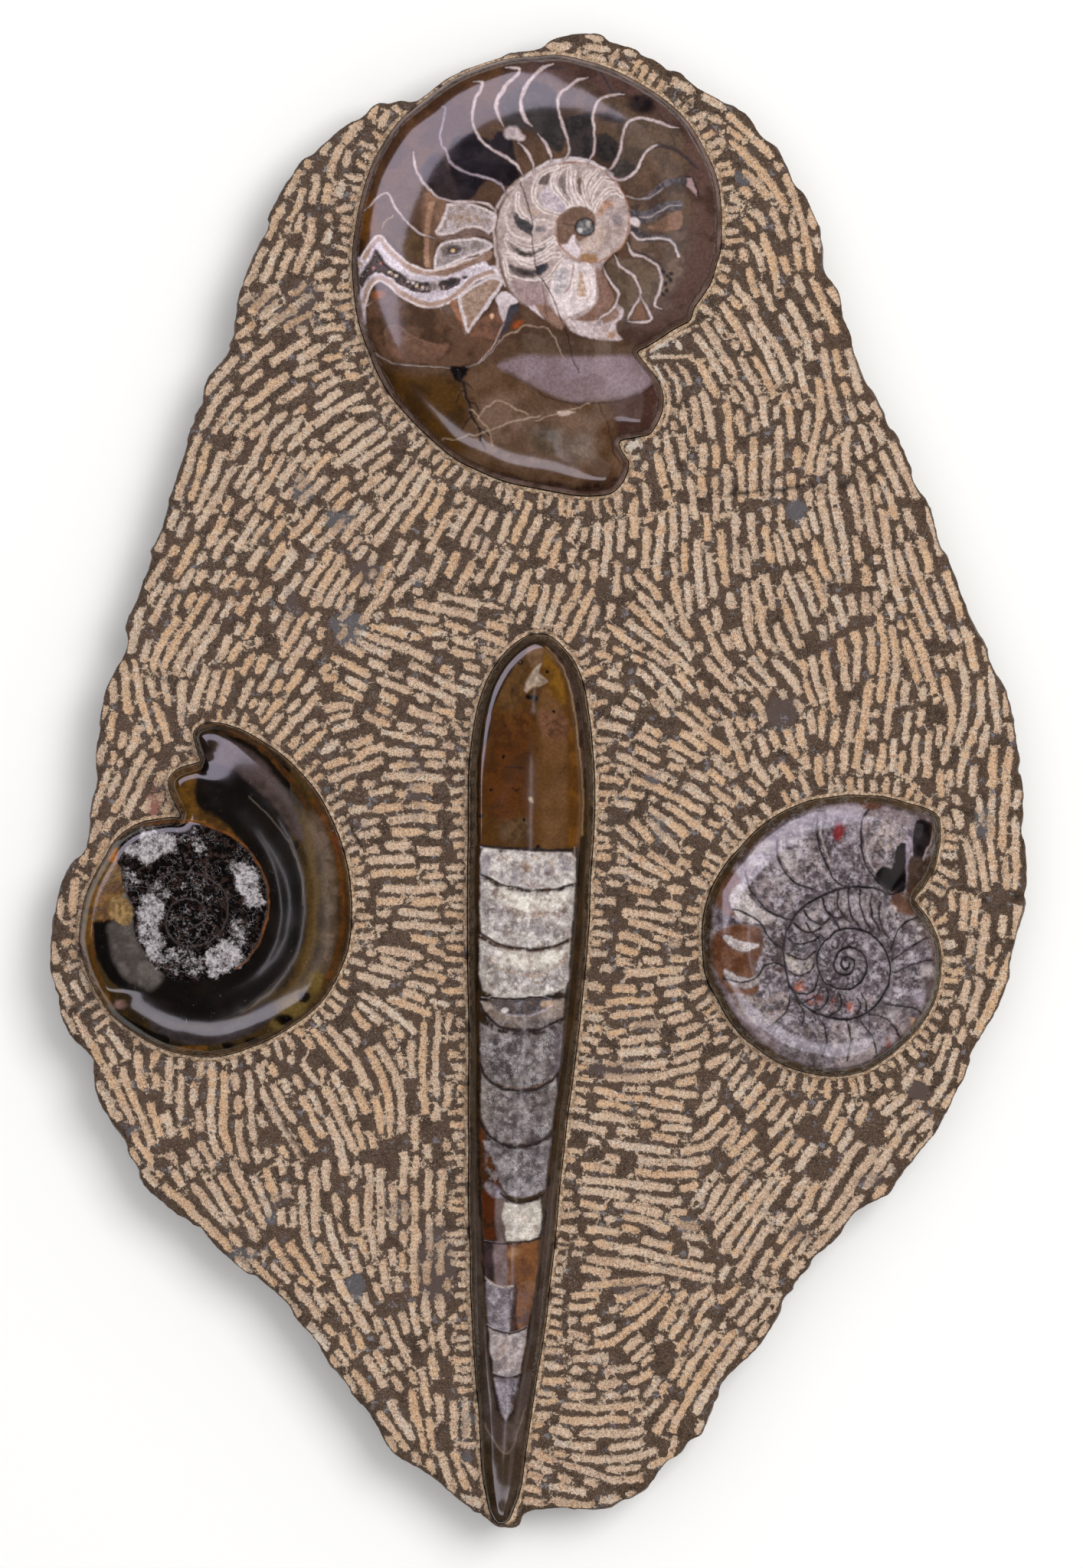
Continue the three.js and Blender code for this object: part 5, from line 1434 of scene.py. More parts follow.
def draw_large(p, dist):
    a = Drawing(p, ink(82, 61, 46), 101)
    a.fleck[:] = 0.35
    a.cloud(ink(62, 44, 32), 46, 0.75, 0.05)
    a.cloud(ink(104, 82, 62), 30, 0.55, 0.25, seed=3)
    x, y = p[:, 0], p[:, 1]
    # the body chamber and the stone below the septa
    chamber(a, [(480, 470), (520, 486), (580, 492), (640, 478), (690, 470), (760, 468), (860, 470), (866, 540), (830, 572),
                (812, 600), (800, 640), (760, 650), (690, 640), (600, 606), (540, 552), (500, 505)],
            (100, 77, 57), (80, 58, 38), soft=5, size=34, wild=True)
    chamber(a, [(486, 470), (540, 492), (600, 500), (612, 540), (600, 590), (560, 572), (520, 530), (495, 495)],
            (80, 55, 22), (62, 42, 18), soft=10, size=26, wild=True)
    chamber(a, [(640, 520), (720, 522), (770, 548), (780, 600), (720, 620), (650, 606), (622, 566)],
            (112, 91, 74), (90, 69, 51), soft=12, size=22, wild=True)
    chamber(a, [(800, 508), (862, 500), (866, 540), (846, 568), (815, 574), (800, 548)], (84, 62, 54), (70, 48, 40), soft=7)
    blob(a, 712, 577, 22, 19, (88, 74, 54), (66, 54, 38), seed=3, soft=0.7)
    blob(a, 752, 590, 21, 18, (122, 108, 94), (104, 90, 78), seed=4, soft=0.6)
    chamber(a, [(640, 618), (690, 626), (750, 634), (812, 622), (816, 640), (780, 650), (720, 646), (650, 632)],
            (40, 27, 20), (66, 46, 32), soft=5, size=9, wild=True)
    # outer right and lower right
    chamber(a, [(880, 140), (915, 190), (936, 250), (940, 310), (926, 372), (900, 416), (862, 440), (828, 458), (812, 430),
                (850, 405), (884, 360), (900, 300), (900, 240), (890, 190), (868, 150)],
            (92, 72, 64), (72, 54, 46), soft=8, size=26)
    chamber(a, [(690, 434), (740, 446), (800, 450), (832, 452), (834, 468), (780, 470), (720, 470), (688, 462)],
            (98, 80, 66), (78, 62, 50), soft=7, size=16, strength=0.8)
    chamber(a, [(655, 96), (720, 80), (800, 96), (870, 140), (905, 180), (880, 175), (820, 140), (760, 118), (700, 112), (660, 118)],
            (86, 66, 60), (70, 52, 46), soft=8, size=24)
    # the upper left, brown under its shine
    chamber(a, [(474, 262), (486, 220), (520, 166), (570, 124), (640, 90), (655, 96), (640, 160), (590, 180), (560, 210), (520, 252), (478, 280)],
            (90, 64, 44), (70, 48, 34), soft=7, size=30)
    chamber(a, [(468, 262), (486, 258), (497, 286), (492, 312), (474, 322), (464, 300)], (104, 68, 28), (84, 54, 22), soft=5)
    chamber(a, [(498, 268), (512, 285), (545, 310), (568, 318), (560, 345), (530, 336), (512, 318), (496, 300)], (92, 72, 48), (74, 56, 36), soft=4)
    chamber(a, [(556, 258), (578, 266), (580, 312), (566, 318), (553, 306)], (150, 116, 92), (120, 92, 70), soft=4, strength=0.8)
    chamber(a, [(462, 322), (476, 316), (480, 350), (472, 372), (462, 372)], (70, 44, 22), (50, 32, 18), soft=3)
    # grey stone between the upper septa
    chamber(a, [(659, 129), (680, 118), (700, 112), (728, 128), (732, 160), (738, 186), (730, 205), (712, 192), (690, 175), (664, 172), (655, 150)],
            (60, 56, 54), (46, 43, 42), soft=3, size=10)
    # the black filling
    chamber(a, [(590, 190), (600, 183), (620, 180), (640, 188), (650, 178), (665, 180), (672, 200), (676, 225), (680, 240), (672, 248),
                (655, 247), (640, 240), (625, 250), (620, 262), (600, 268), (585, 266), (575, 255), (580, 240), (588, 225), (583, 210)],
            (20, 14, 18), (34, 27, 31), soft=2.5, size=16, ragged=1.5, fleck=0.0)
    chamber(a, [(556, 215), (575, 205), (590, 232), (602, 262), (580, 266), (562, 252), (550, 236)], (30, 22, 24), (48, 38, 38), soft=4, size=12, fleck=0.0)
    chamber(a, [(732, 160), (750, 155), (772, 150), (776, 175), (774, 205), (765, 215), (745, 212), (742, 195), (735, 178)],
            (40, 38, 38), (58, 52, 50), soft=3, size=9, fleck=0.1)
    chamber(a, [(740, 122), (768, 112), (778, 128), (772, 150), (750, 155), (733, 158)], (86, 70, 56), (70, 56, 46), soft=3)
    chamber(a, [(776, 150), (785, 136), (815, 132), (846, 160), (820, 164), (812, 180), (806, 205), (800, 218), (782, 214), (777, 190)],
            (92, 74, 58), (70, 58, 48), soft=3, size=14)
    chamber(a, [(776, 188), (790, 180), (804, 190), (806, 205), (800, 218), (782, 215)], (50, 46, 44), (36, 32, 32), soft=2.5, size=8)
    chamber(a, [(780, 152), (812, 157), (808, 166), (782, 161)], (48, 40, 38), soft=3)
    chamber(a, [(820, 168), (846, 163), (884, 174), (890, 200), (868, 194), (846, 198), (832, 220), (814, 238), (800, 226), (810, 205)],
            (98, 82, 68), (78, 68, 58), soft=3, size=16)
    chamber(a, [(800, 217), (815, 214), (829, 224), (815, 239), (798, 230)], (72, 66, 62), (58, 52, 50), soft=2.5, size=8)
    chamber(a, [(840, 206), (858, 197), (888, 206), (902, 226), (884, 236), (848, 256), (832, 262), (818, 254), (806, 243), (828, 232)],
            (100, 80, 64), (82, 66, 54), soft=3, size=14)
    chamber(a, [(818, 262), (836, 268), (862, 246), (888, 240), (890, 272), (862, 278), (846, 286), (824, 280)], (94, 76, 62), (74, 60, 52), soft=3, size=12)
    chamber(a, [(826, 300), (836, 318), (868, 320), (890, 338), (884, 372), (864, 388), (860, 362), (846, 344), (824, 338)],
            (110, 92, 78), (88, 72, 60), soft=3, size=12)
    chamber(a, [(822, 292), (850, 290), (890, 280), (892, 330), (868, 314), (836, 312)], (98, 82, 70), (78, 64, 56), soft=3, size=12)
    chamber(a, [(798, 342), (822, 342), (844, 346), (860, 366), (852, 404), (833, 400), (820, 422), (800, 418), (804, 392), (792, 366)],
            (106, 91, 76), (86, 72, 58), soft=3, size=14)
    blob(a, 838, 142, 16, 14, (30, 24, 26), (48, 40, 40), seed=6)
    for q in ([(783, 97), (790, 108), (795, 118), (802, 126), (815, 127)], [(700, 84), (712, 92), (735, 90)]):
        line(a, q, (56, 54, 62), 2.6, strength=0.8, wild=True)
    # the vertical strip of older stone beside the geode
    chamber(a, [(562, 268), (585, 268), (577, 293), (569, 327), (565, 353), (556, 353), (554, 310), (557, 285)], (124, 96, 76), (104, 80, 62), soft=2.0)
    chamber(a, [(561, 268), (568, 268), (563, 295), (561, 325), (562, 353), (556, 353), (555, 310), (557, 285)], (172, 138, 112), (150, 118, 96), soft=1.5)
    # the pale inner whorls
    chamber(a, [(676, 240), (700, 226), (742, 213), (780, 220), (805, 243), (822, 280), (822, 304), (812, 326), (792, 343), (785, 360),
                (790, 395), (785, 420), (800, 440), (790, 447), (760, 440), (740, 425), (720, 419), (700, 408), (678, 398), (664, 378),
                (655, 354), (649, 326), (650, 294), (659, 265)],
            (190, 176, 170), (164, 150, 145), soft=1.6, size=9, calcite=0.25, fleck=0.0)
    chamber(a, [(704, 262), (716, 247), (733, 262), (742, 276), (728, 284), (712, 276)], (202, 193, 198), (176, 168, 174), soft=3, size=5, calcite=0.5)
    # thin brown layer lines between the petals
    thin = (138, 106, 86)
    petals = ([(727, 224), (711, 230), (702, 239), (697, 252), (698, 266), (706, 277), (720, 283), (732, 286)],
              [(735, 223), (724, 232), (720, 243), (725, 254), (734, 264), (742, 273)], [(742, 222), (731, 228), (727, 238), (730, 250), (738, 262), (746, 272)],
              [(743, 225), (742, 238), (743, 253), (748, 266), (752, 273)], [(750, 230), (748, 242), (750, 255), (755, 266), (760, 272)],
              [(770, 229), (763, 236), (762, 249), (765, 262), (770, 273)], [(781, 227), (772, 237), (767, 249), (768, 262), (773, 275)],
              [(800, 241), (787, 238), (780, 245), (773, 256), (771, 268)], [(806, 254), (795, 252), (785, 260), (778, 271), (773, 280)],
              [(812, 262), (806, 256), (797, 256), (788, 263), (782, 272), (778, 280)], [(677, 258), (675, 272), (680, 284), (690, 292), (697, 297)],
              [(662, 312), (673, 322), (690, 328), (707, 325), (722, 315)], [(660, 318), (668, 331), (682, 338), (697, 340), (712, 332), (724, 322)],
              [(658, 337), (673, 338), (682, 347), (697, 350), (710, 345), (720, 338), (730, 338)],
              [(659, 344), (661, 356), (665, 366), (682, 371), (700, 373), (715, 368), (725, 356), (734, 345)])
    for q in petals:
        line(a, q, (236, 229, 225), 6.2, (220, 210, 206), strength=0.85)
    for q in petals:
        line(a, q, thin, 1.5, (112, 84, 68), strength=0.85, patchy=0.15)
    for q in ([(665, 270), (661, 290), (666, 306), (676, 314), (692, 318)], [(663, 332), (672, 340), (686, 344), (700, 342)],
              [(700, 292), (712, 293), (726, 296)], [(699, 303), (712, 303), (727, 300)]):
        line(a, q, (232, 222, 218), 3.2, strength=0.7)
    # tapered open slots with crystal dust at their ends
    for q, c, soft_ in (
            ([(666, 279), (670, 288), (676, 294), (688, 301), (697, 307), (697, 300), (690, 293), (680, 289), (672, 282)], (48, 48, 52), 1.6),
            ([(672, 290), (684, 297), (696, 304), (695, 311), (684, 308), (675, 300)], (40, 42, 46), 1.8),
            ([(698, 301), (706, 300), (714, 303), (710, 307), (700, 307)], (104, 98, 102), 1.6),
            ([(663, 320), (673, 328), (685, 332), (697, 333), (707, 328), (714, 321), (711, 330), (703, 335), (693, 339), (678, 338), (669, 331)], (92, 86, 80), 1.6),
            ([(674, 330), (686, 334), (697, 335), (704, 332), (694, 338), (680, 337)], (52, 48, 44), 1.6),
            ([(664, 351), (681, 354), (697, 356), (707, 352), (714, 347), (716, 355), (707, 363), (698, 367), (682, 367), (670, 363)], (84, 76, 74), 1.7),
            ([(672, 354), (690, 358), (700, 358), (696, 364), (680, 363)], (54, 48, 46), 2.0),
            ([(700, 353), (709, 349), (714, 350), (712, 358), (704, 363), (700, 360)], (42, 44, 52), 1.5),
            ([(702, 245), (707, 237), (716, 231), (717, 236), (715, 246), (707, 247)], (84, 74, 70), 1.1),
            ([(730, 235), (735, 232), (738, 237), (738, 247), (740, 258), (743, 265), (740, 264), (734, 254), (729, 243)], (108, 99, 95), 1.5),
            ([(755, 238), (758, 236), (761, 234), (761, 242), (758, 249), (760, 260), (757, 258), (755, 248), (753, 242)], (88, 70, 60), 1.2),
            ([(789, 266), (796, 265), (802, 270), (799, 276), (792, 278), (785, 285), (779, 289), (777, 283), (783, 275)], (156, 126, 106), 2.5),
            ([(797, 286), (806, 285), (811, 293), (809, 302), (802, 301), (799, 293)], (112, 104, 106), 2.2),
            ([(661, 276), (668, 274), (672, 286), (664, 290)], (150, 138, 132), 2.5),
            ([(685, 271), (691, 275), (696, 281), (707, 283), (700, 287), (690, 283)], (150, 132, 120), 1.8)):
        chamber(a, q, c, tuple(int(v_ * 1.25) for v_ in c), soft=soft_, size=5, ragged=1.6, grain=4, strength=0.93, calcite=0.0)
    # lilac stone at the foot of the whorl
    chamber(a, [(668, 370), (690, 373), (707, 373), (713, 388), (717, 402), (703, 402), (688, 402), (677, 390)], (168, 148, 146), (146, 126, 126), soft=2, size=8, calcite=0.1)
    line(a, [(690, 374), (687, 388), (688, 401)], (124, 102, 98), 1.2, strength=0.6)
    chamber(a, [(688, 403), (698, 403), (711, 421), (702, 415)], (208, 198, 202), soft=1.2, smoothed=False)
    chamber(a, [(700, 402), (716, 402), (728, 416), (738, 424), (732, 434), (718, 426), (708, 416)], (142, 114, 98), (120, 94, 80), soft=2, size=8, calcite=0.0)
    # fine rays on the right
    for i in range(15):
        t = i / 14
        ex, ey = 818 - 58 * t ** 1.4, 296 + 44 * math.sin(t * 1.5)
        line(a, [(775 - 8 * t, 300 + 10 * t), ((775 + ex) / 2 + 2, (303 + ey) / 2 + 2), (ex, ey)], (160, 136, 122), 1.1, strength=0.5)
    # the big white chamber with layers inside it
    chamber(a, [(733, 346), (743, 343), (757, 349), (767, 348), (773, 355), (777, 371), (778, 385), (773, 402), (765, 408), (753, 413),
                (740, 418), (731, 417), (723, 405), (718, 390), (719, 375), (723, 363), (728, 355)], (230, 221, 219), (206, 196, 195), soft=1.4, size=9, calcite=0.25)
    chamber(a, [(724, 362), (734, 354), (742, 356), (742, 372), (736, 384), (728, 388), (722, 380)], (168, 164, 166), (206, 200, 200), soft=2, size=4.5, calcite=0.4)
    line(a, [(748, 351), (747, 362), (745, 374), (741, 382), (736, 386)], (160, 136, 128), 2.4, strength=0.8)
    line(a, [(752, 350), (751, 364), (749, 378), (744, 390)], (244, 238, 236), 3.2, strength=0.7)
    chamber(a, [(755, 359), (760, 362), (764, 378), (766, 391), (754, 391), (753, 382), (756, 372)], (178, 152, 128), (206, 186, 168), soft=1.2, size=4)
    line(a, [(752, 356), (750, 372), (748, 386), (752, 396), (764, 396), (771, 388), (769, 372), (763, 358)], (166, 142, 128), 1.1, strength=0.6)
    # brown chambers between white septa, lower right of the whorl
    chamber(a, [(778, 354), (785, 355), (790, 368), (799, 384), (802, 396), (795, 408), (782, 420), (767, 423), (752, 421), (766, 412),
                (777, 401), (782, 386), (778, 371)], (136, 108, 94), (120, 92, 78), soft=1.6, size=10)
    chamber(a, [(740, 420), (760, 423), (781, 423), (800, 412), (803, 402), (812, 405), (812, 417), (803, 427), (806, 440), (812, 446), (790, 448),
                (762, 443), (744, 434)], (202, 190, 190), (164, 148, 144), soft=1.8, size=7, calcite=0.4)
    chamber(a, [(786, 420), (798, 411), (803, 406), (808, 414), (800, 422), (788, 426)], (136, 108, 92), soft=1.6)
    blob(a, 796, 440, 8, 5, (156, 122, 96), (176, 150, 130), soft=0.5)
    # the innermost whorl
    line(a, [(731, 221), (740, 218), (757, 217), (773, 221), (790, 230), (802, 242), (813, 257), (819, 272), (821, 288), (820, 305), (815, 320), (803, 333),
             (790, 342), (773, 347), (757, 345), (743, 338), (733, 328), (727, 315), (725, 302), (728, 290), (733, 285)], (166, 122, 84), 1.8, (136, 84, 60), strength=0.9)
    chamber(a, [(727, 305), (728, 292), (736, 281), (748, 275), (760, 274), (770, 278), (776, 286), (777, 298), (766, 316), (758, 322), (747, 313), (740, 321), (733, 324), (728, 317)],
            (120, 96, 80), (104, 82, 66), soft=1.4, size=8, calcite=0.0, strength=0.97)
    chamber(a, [(757, 320), (766, 316), (777, 300), (790, 304), (786, 322), (772, 334), (758, 332)], (206, 190, 178), (184, 166, 154), soft=2.5, size=5, calcite=0.3, strength=0.8)
    chamber(a, [(733, 324), (740, 323), (747, 312), (751, 312), (750, 322), (757, 330), (757, 337), (753, 341), (746, 338), (740, 332)], (218, 208, 211), soft=1.2, calcite=0.2)
    chamber(a, [(757, 343), (758, 337), (767, 336), (777, 337), (782, 342), (773, 347), (765, 347)], (156, 122, 90), soft=1.4, calcite=0.0)
    blob(a, 763.3, 301, 13.2, 12.6, (40, 37, 36), soft=0.12, wild=False)
    blob(a, 763.3, 301, 10.6, 10.0, (128, 128, 128), (94, 96, 98), soft=0.2, wild=False, size=4)
    blob(a, 757, 305, 3.4, 3.0, (204, 202, 200), soft=0.6, wild=False)
    blob(a, 768, 297, 3.0, 4.0, (176, 170, 160), soft=0.6, wild=False)
    line(a, [(735, 296), (746, 298), (752, 301)], (44, 34, 30), 1.2, strength=0.8)
    line(a, [(722, 301), (735, 299)], (150, 130, 122), 1.0, strength=0.6)
    # the geode: layered walls, white crystal and an open, dark slit
    top = [(470, 350), (472, 340), (480, 327), (489, 315), (495, 311.5), (502, 315), (510, 327), (522, 338), (537, 350), (552, 356.5), (565, 358),
           (579, 355), (595, 350), (612, 343), (630, 341)]
    low = [(474, 424), (478, 402), (484, 382), (491, 372), (499, 370), (508, 377), (520, 388), (537, 398), (555, 404.5), (570, 405), (587, 400), (604, 387),
           (620, 373), (637, 365), (650, 363)]
    whole = list(curve(top, 4)) + list(curve(low, 4))[::-1]
    chamber(a, whole, (214, 207, 212), (188, 180, 188), soft=1.6, smoothed=False, calcite=0.5, fleck=0.0)
    chamber(a, [(596, 350), (612, 344), (632, 334), (642, 332), (642, 340), (625, 347), (600, 358), (580, 362)], (150, 124, 106), (130, 104, 88), soft=1.6)
    for q, side in ((top, 1), (low, -1)):
        lq = curve(q, 3)
        nq = normals_out(lq, 1)
        nq = nq * np.sign((nq[:, 1] * side).mean())
        a.stroke(lq, ink(222, 212, 208), 2.8, 0.9, 0.95, smoothed=False, calcite=0.3)
        a.stroke(lq + nq * 4.6, ink(184, 160, 142), 6.0, 1.4, 0.9, smoothed=False, c2=ink(168, 142, 124), calcite=0.15)
        for off, c_ in ((2.6, (146, 118, 100)), (4.8, (140, 112, 96)), (7.0, (158, 134, 118))):
            a.stroke(lq + nq * off, ink(*c_), 1.0, 0.7, 0.75, smoothed=False, patchy=0.3)
        a.stroke(lq + nq * 10.0, ink(228, 224, 231), 4.6, 1.6, 0.85, smoothed=False, c2=ink(204, 198, 208), calcite=0.7)
    core = [(471, 372), (474, 362), (480, 353), (487, 343), (492, 332), (498, 342), (503, 350), (512, 356), (525, 365), (537, 372), (550, 374), (561, 376),
            (561, 384), (549, 384), (537, 381), (525, 374), (514, 367), (504, 360), (492, 357), (484, 361), (478, 369), (473, 377)]
    second = [(574, 376), (580, 372), (586, 370), (594, 367.5), (600, 370), (596, 376), (588, 379), (578, 381)]
    for q in (core, second):
        shape = curve(q, 4, True)
        i = a.where(shape, 8)
        d, _a, _s = away(a.w[i], shape, True)
        d = np.where(inside(a.w[i], shape), -d, d) + 1.5 * noise(a.p[i], 4.5, 57, 3)
        a.lay(i, smooth(4.4, 2.0, d) * 0.6, a.tone(i, ink(150, 136, 134), ink(104, 84, 72), 4), rough=0.5)
        a.lay(i, smooth(2.3, 0.5, d) * 0.97, a.tone(i, ink(20, 14, 11), ink(62, 40, 24), 4.5), calcite=0.0, rough=0.9, relief=-1.3)
        bits = smooth(0.34, 0.52, noise(a.p[i], 4.2, 58, 3)) * smooth(1.5, -0.5, d)
        a.lay(i, bits * 0.7, a.tone(i, ink(120, 84, 56), ink(190, 176, 170), 4), rough=0.9, relief=0.5)
    for bx, by, c_ in ((510.5, 359, (214, 190, 150)), (518, 364, (216, 200, 172)), (540, 373, (222, 214, 206)), (545, 377, (206, 184, 140)), (489, 353, (176, 120, 96)),
                       (498, 347, (150, 84, 62)), (553, 379, (200, 176, 150)), (534, 371, (196, 190, 190))):
        blob(a, bx, by, 2.4, 2.0, c_, soft=0.5, wild=False, rough=0.5)
    blob(a, 607.8, 366, 3.0, 2.6, (72, 58, 56), soft=0.5)
    chamber(a, [(562, 374), (572, 373), (572, 382), (562, 384)], (142, 132, 128), (120, 108, 104), soft=2.2, size=4)
    # white limb down the left rim
    line(a, [(475, 400), (476, 412), (477, 424)], (206, 196, 201), 4.5, strength=0.85, calcite=0.4)
    line(a, [(505, 383), (502, 390), (491, 395), (480, 402)], (190, 178, 180), 1.8, strength=0.85)
    # chambers above and beside it
    ring_a = [(585, 273), (604, 270.5), (625, 275), (639, 280), (647, 288), (646, 299), (639, 308), (629, 302), (612, 301.5), (595, 308), (572, 310), (577, 298), (582, 285)]
    chamber(a, ring_a, (184, 176, 178), (150, 136, 128), soft=1.5, size=6, calcite=0.45)
    chamber(a, [(592, 282), (612, 280), (630, 286), (628, 296), (606, 296), (590, 300)], (150, 128, 108), (182, 172, 170), soft=4, size=4, calcite=0.4, strength=0.8)
    line(a, ring_a + ring_a[:1], (214, 204, 202), 3.2, strength=0.9, calcite=0.4)
    chamber(a, [(574, 313), (595, 309), (612, 303), (629, 304), (641, 311), (647, 317), (629, 313), (612, 315), (595, 319), (578, 317)], (128, 107, 97), (108, 88, 80), soft=1.4, size=6)
    for q in ([(576, 314), (595, 311.5), (612, 306.5), (630, 307), (644, 314)], [(577, 316), (596, 314.5), (613, 310), (630, 310.5), (645, 316)]):
        line(a, q, (80, 64, 58), 1.0, strength=0.7)
    ring_b = [(569, 355), (570, 340), (575, 326), (585, 320), (604, 318), (620, 316.5), (638, 321), (642, 327), (632, 332), (612, 338), (595, 346), (582, 353)]
    chamber(a, ring_b, (168, 160, 160), (140, 130, 126), soft=1.4, size=5, calcite=0.4)
    line(a, ring_b + ring_b[:1], (216, 208, 208), 3.4, strength=0.92, calcite=0.4)
    chamber(a, [(578, 328), (589, 323), (600, 325), (608, 328), (604, 335), (594, 339), (582, 338)], (92, 80, 72), (120, 108, 102), soft=2.6, size=4, ragged=1.2, grain=4)
    chamber(a, [(584, 328), (592, 325), (601, 326.5), (604, 331), (597, 335), (587, 335)], (48, 36, 27), (70, 54, 42), soft=1.4, size=4, ragged=1.2, grain=4, rough=0.8, relief=-0.6)
    blob(a, 591.5, 331.5, 2.6, 2.2, (226, 190, 130), soft=0.4, wild=False)
    chamber(a, [(612, 325), (622, 322), (626, 326), (616, 330)], (128, 118, 114), soft=1.8, size=4)
    chamber(a, [(569, 360), (595, 353), (612, 346), (635, 334), (645, 334), (640, 343), (615, 352), (595, 361), (575, 366)], (150, 124, 106), (130, 104, 88), soft=1.4, size=6, strength=0.9)
    for q in ([(570, 361), (595, 355), (613, 348), (636, 337)], [(572, 364), (596, 358), (614, 351), (638, 340)]):
        line(a, q, (104, 82, 70), 1.0, strength=0.65)
    # triangle chamber, the strip beside it and the tooth
    chamber(a, [(588, 399), (600, 398), (609, 420), (611, 437), (604, 437), (594, 415)], (154, 112, 86), (124, 90, 70), soft=1.6, size=9)
    line(a, [(575, 407), (582, 420), (592, 431), (608, 440)], (182, 172, 172), 1.8, strength=0.75)
    chamber(a, [(578, 405), (588, 402), (596, 425), (600, 433), (590, 428), (582, 418)], (104, 88, 76), soft=2)
    tri = [(600, 392), (620, 378), (639, 368), (653, 370), (654, 377), (642, 393), (629, 413), (617, 430), (610, 436), (606, 418)]
    chamber(a, tri, (164, 142, 124), (142, 118, 100), soft=1.6, size=5, calcite=0.3)
    line(a, tri + tri[:1], (214, 206, 208), 4.2, strength=0.92, calcite=0.5)
    line(a, [(607, 396), (622, 384), (640, 374)], (178, 154, 138), 1.0, strength=0.6)
    chamber(a, [(613, 438), (636, 414), (648, 398), (654, 416), (660, 424), (656, 446), (640, 462), (620, 466)],
            (118, 84, 66), (92, 68, 54), soft=3, size=10)
    chamber(a, [(648, 393), (654, 386), (662, 384.5), (670, 390), (677, 398), (667, 403), (662, 416), (657, 424), (652, 410)], (212, 204, 206), (188, 178, 180), soft=1.3, calcite=0.3)
    blob(a, 643, 417, 2.6, 2.6, (222, 176, 142), soft=0.4, wild=False)
    # boundary behind the whorls
    line(a, [(670, 253), (658, 268), (652.5, 280), (649, 298), (650, 322), (653, 343), (658, 365), (663, 375), (673, 392), (688, 404)], (116, 98, 90), 1.8, strength=0.85)
    line(a, [(667, 250), (655, 266), (648, 280), (645, 298), (646, 322), (649, 343), (654, 365), (660, 378)], (206, 194, 190), 3.2, strength=0.75, calcite=0.3)
    line(a, [(681, 239), (695, 229), (707, 222), (718, 216.5), (733, 214.5), (748, 212.5), (767, 216), (778, 221), (790, 226), (798, 233)], (214, 205, 206), 5.0, strength=0.9, calcite=0.3)
    line(a, [(665, 251), (675, 240), (690, 231), (705, 225)], (170, 146, 128), 1.3, strength=0.7)
    # the chambers to the left of them
    chamber(a, [(480, 408), (500, 380), (540, 402), (575, 409), (600, 420), (612, 439), (640, 450), (642, 460), (600, 484), (560, 482),
                (520, 478), (500, 470), (486, 440)], (96, 72, 54), (70, 50, 36), soft=3, size=20, wild=True, strength=0.9)
    chamber(a, [(503, 441), (505, 432), (514, 428), (524, 431), (534, 440), (550, 448), (570, 453), (587, 453), (578, 468), (552, 477), (522, 470), (507, 458)],
            (122, 92, 74), (104, 78, 62), soft=3, size=14, strength=0.85)
    line(a, [(503, 441), (505, 432), (514, 428), (524, 431), (534, 440), (550, 448), (570, 453)], (146, 116, 98), 1.2, strength=0.6)
    blob(a, 494, 387, 7, 6, (140, 84, 42), (108, 68, 38), seed=8, soft=0.6)
    # septa
    white = (208, 195, 193)
    cool = (170, 160, 170)
    for q, w_, c in (
            ([(477, 279), (495, 261), (507, 256), (511, 260), (516, 273), (527, 288), (539, 301), (552, 311), (568, 315)], 2.4, white),
            ([(541, 203), (542, 218), (546, 231), (555, 245), (564, 255), (574, 263), (589, 267), (605, 269), (626, 269), (638, 272), (649, 281)], 2.9, white),
            ([(577, 143), (582, 145), (580, 158), (577, 172), (576, 189), (583, 203), (589, 216), (597, 224), (611, 231), (630, 236), (647, 241), (656, 249), (662, 259)], 2.6, cool),
            ([(618, 111), (630, 112), (627, 123), (622, 133), (618, 147), (618, 164), (622, 176), (629, 189), (639, 198), (651, 205), (665, 213), (676, 222), (683, 234)], 3.1, white),
            ([(661, 92), (678, 94), (676, 102), (665, 112), (657, 123), (650, 135), (649, 149), (653, 162), (657, 170)], 4.6, white),
            ([(722, 87), (711, 92), (700, 100), (691, 112), (684, 124), (680, 138), (681, 150), (686, 162), (694, 171)], 4.8, white),
            ([(678, 192), (688, 203), (695, 216), (697, 230)], 3.4, white),
            ([(702, 180), (711, 191), (717, 203), (720, 215)], 3.2, white),
            ([(768, 105), (752, 111), (740, 120), (732, 127), (728, 139), (729, 152), (733, 164), (739, 180), (743, 197), (742, 207), (735, 215)], 3.2, white),
            ([(814, 128), (802, 128), (787, 132), (778, 141), (774, 156), (775, 172), (776, 189), (775, 203), (768, 216)], 3.2, white),
            ([(885, 171), (874, 170), (861, 165), (847, 161), (833, 159), (822, 162), (816, 170), (812, 183), (810, 197), (807, 209), (800, 222), (791, 228)], 3.2, white),
            ([(862, 195), (857, 194), (847, 199), (839, 209), (833, 222), (826, 232), (814, 239), (802, 238), (793, 228)], 3.0, white),
            ([(818, 322), (825, 337), (840, 340), (855, 350), (862, 363), (862, 378), (857, 392), (855, 403), (863, 407)], 3.2, white),
            ([(802, 338), (807, 350), (817, 358), (827, 365), (833, 377), (835, 390), (827, 405), (820, 418), (818, 424)], 3.0, white),
            ([(835, 390), (843, 405), (850, 420), (837, 424), (820, 424)], 2.8, white),
            ([(787, 351), (792, 365), (800, 377), (807, 388), (803, 402), (795, 412), (783, 420), (782, 427)], 2.8, white)):
        line(a, q, (52, 42, 38), w_ + 2.6, strength=0.5)
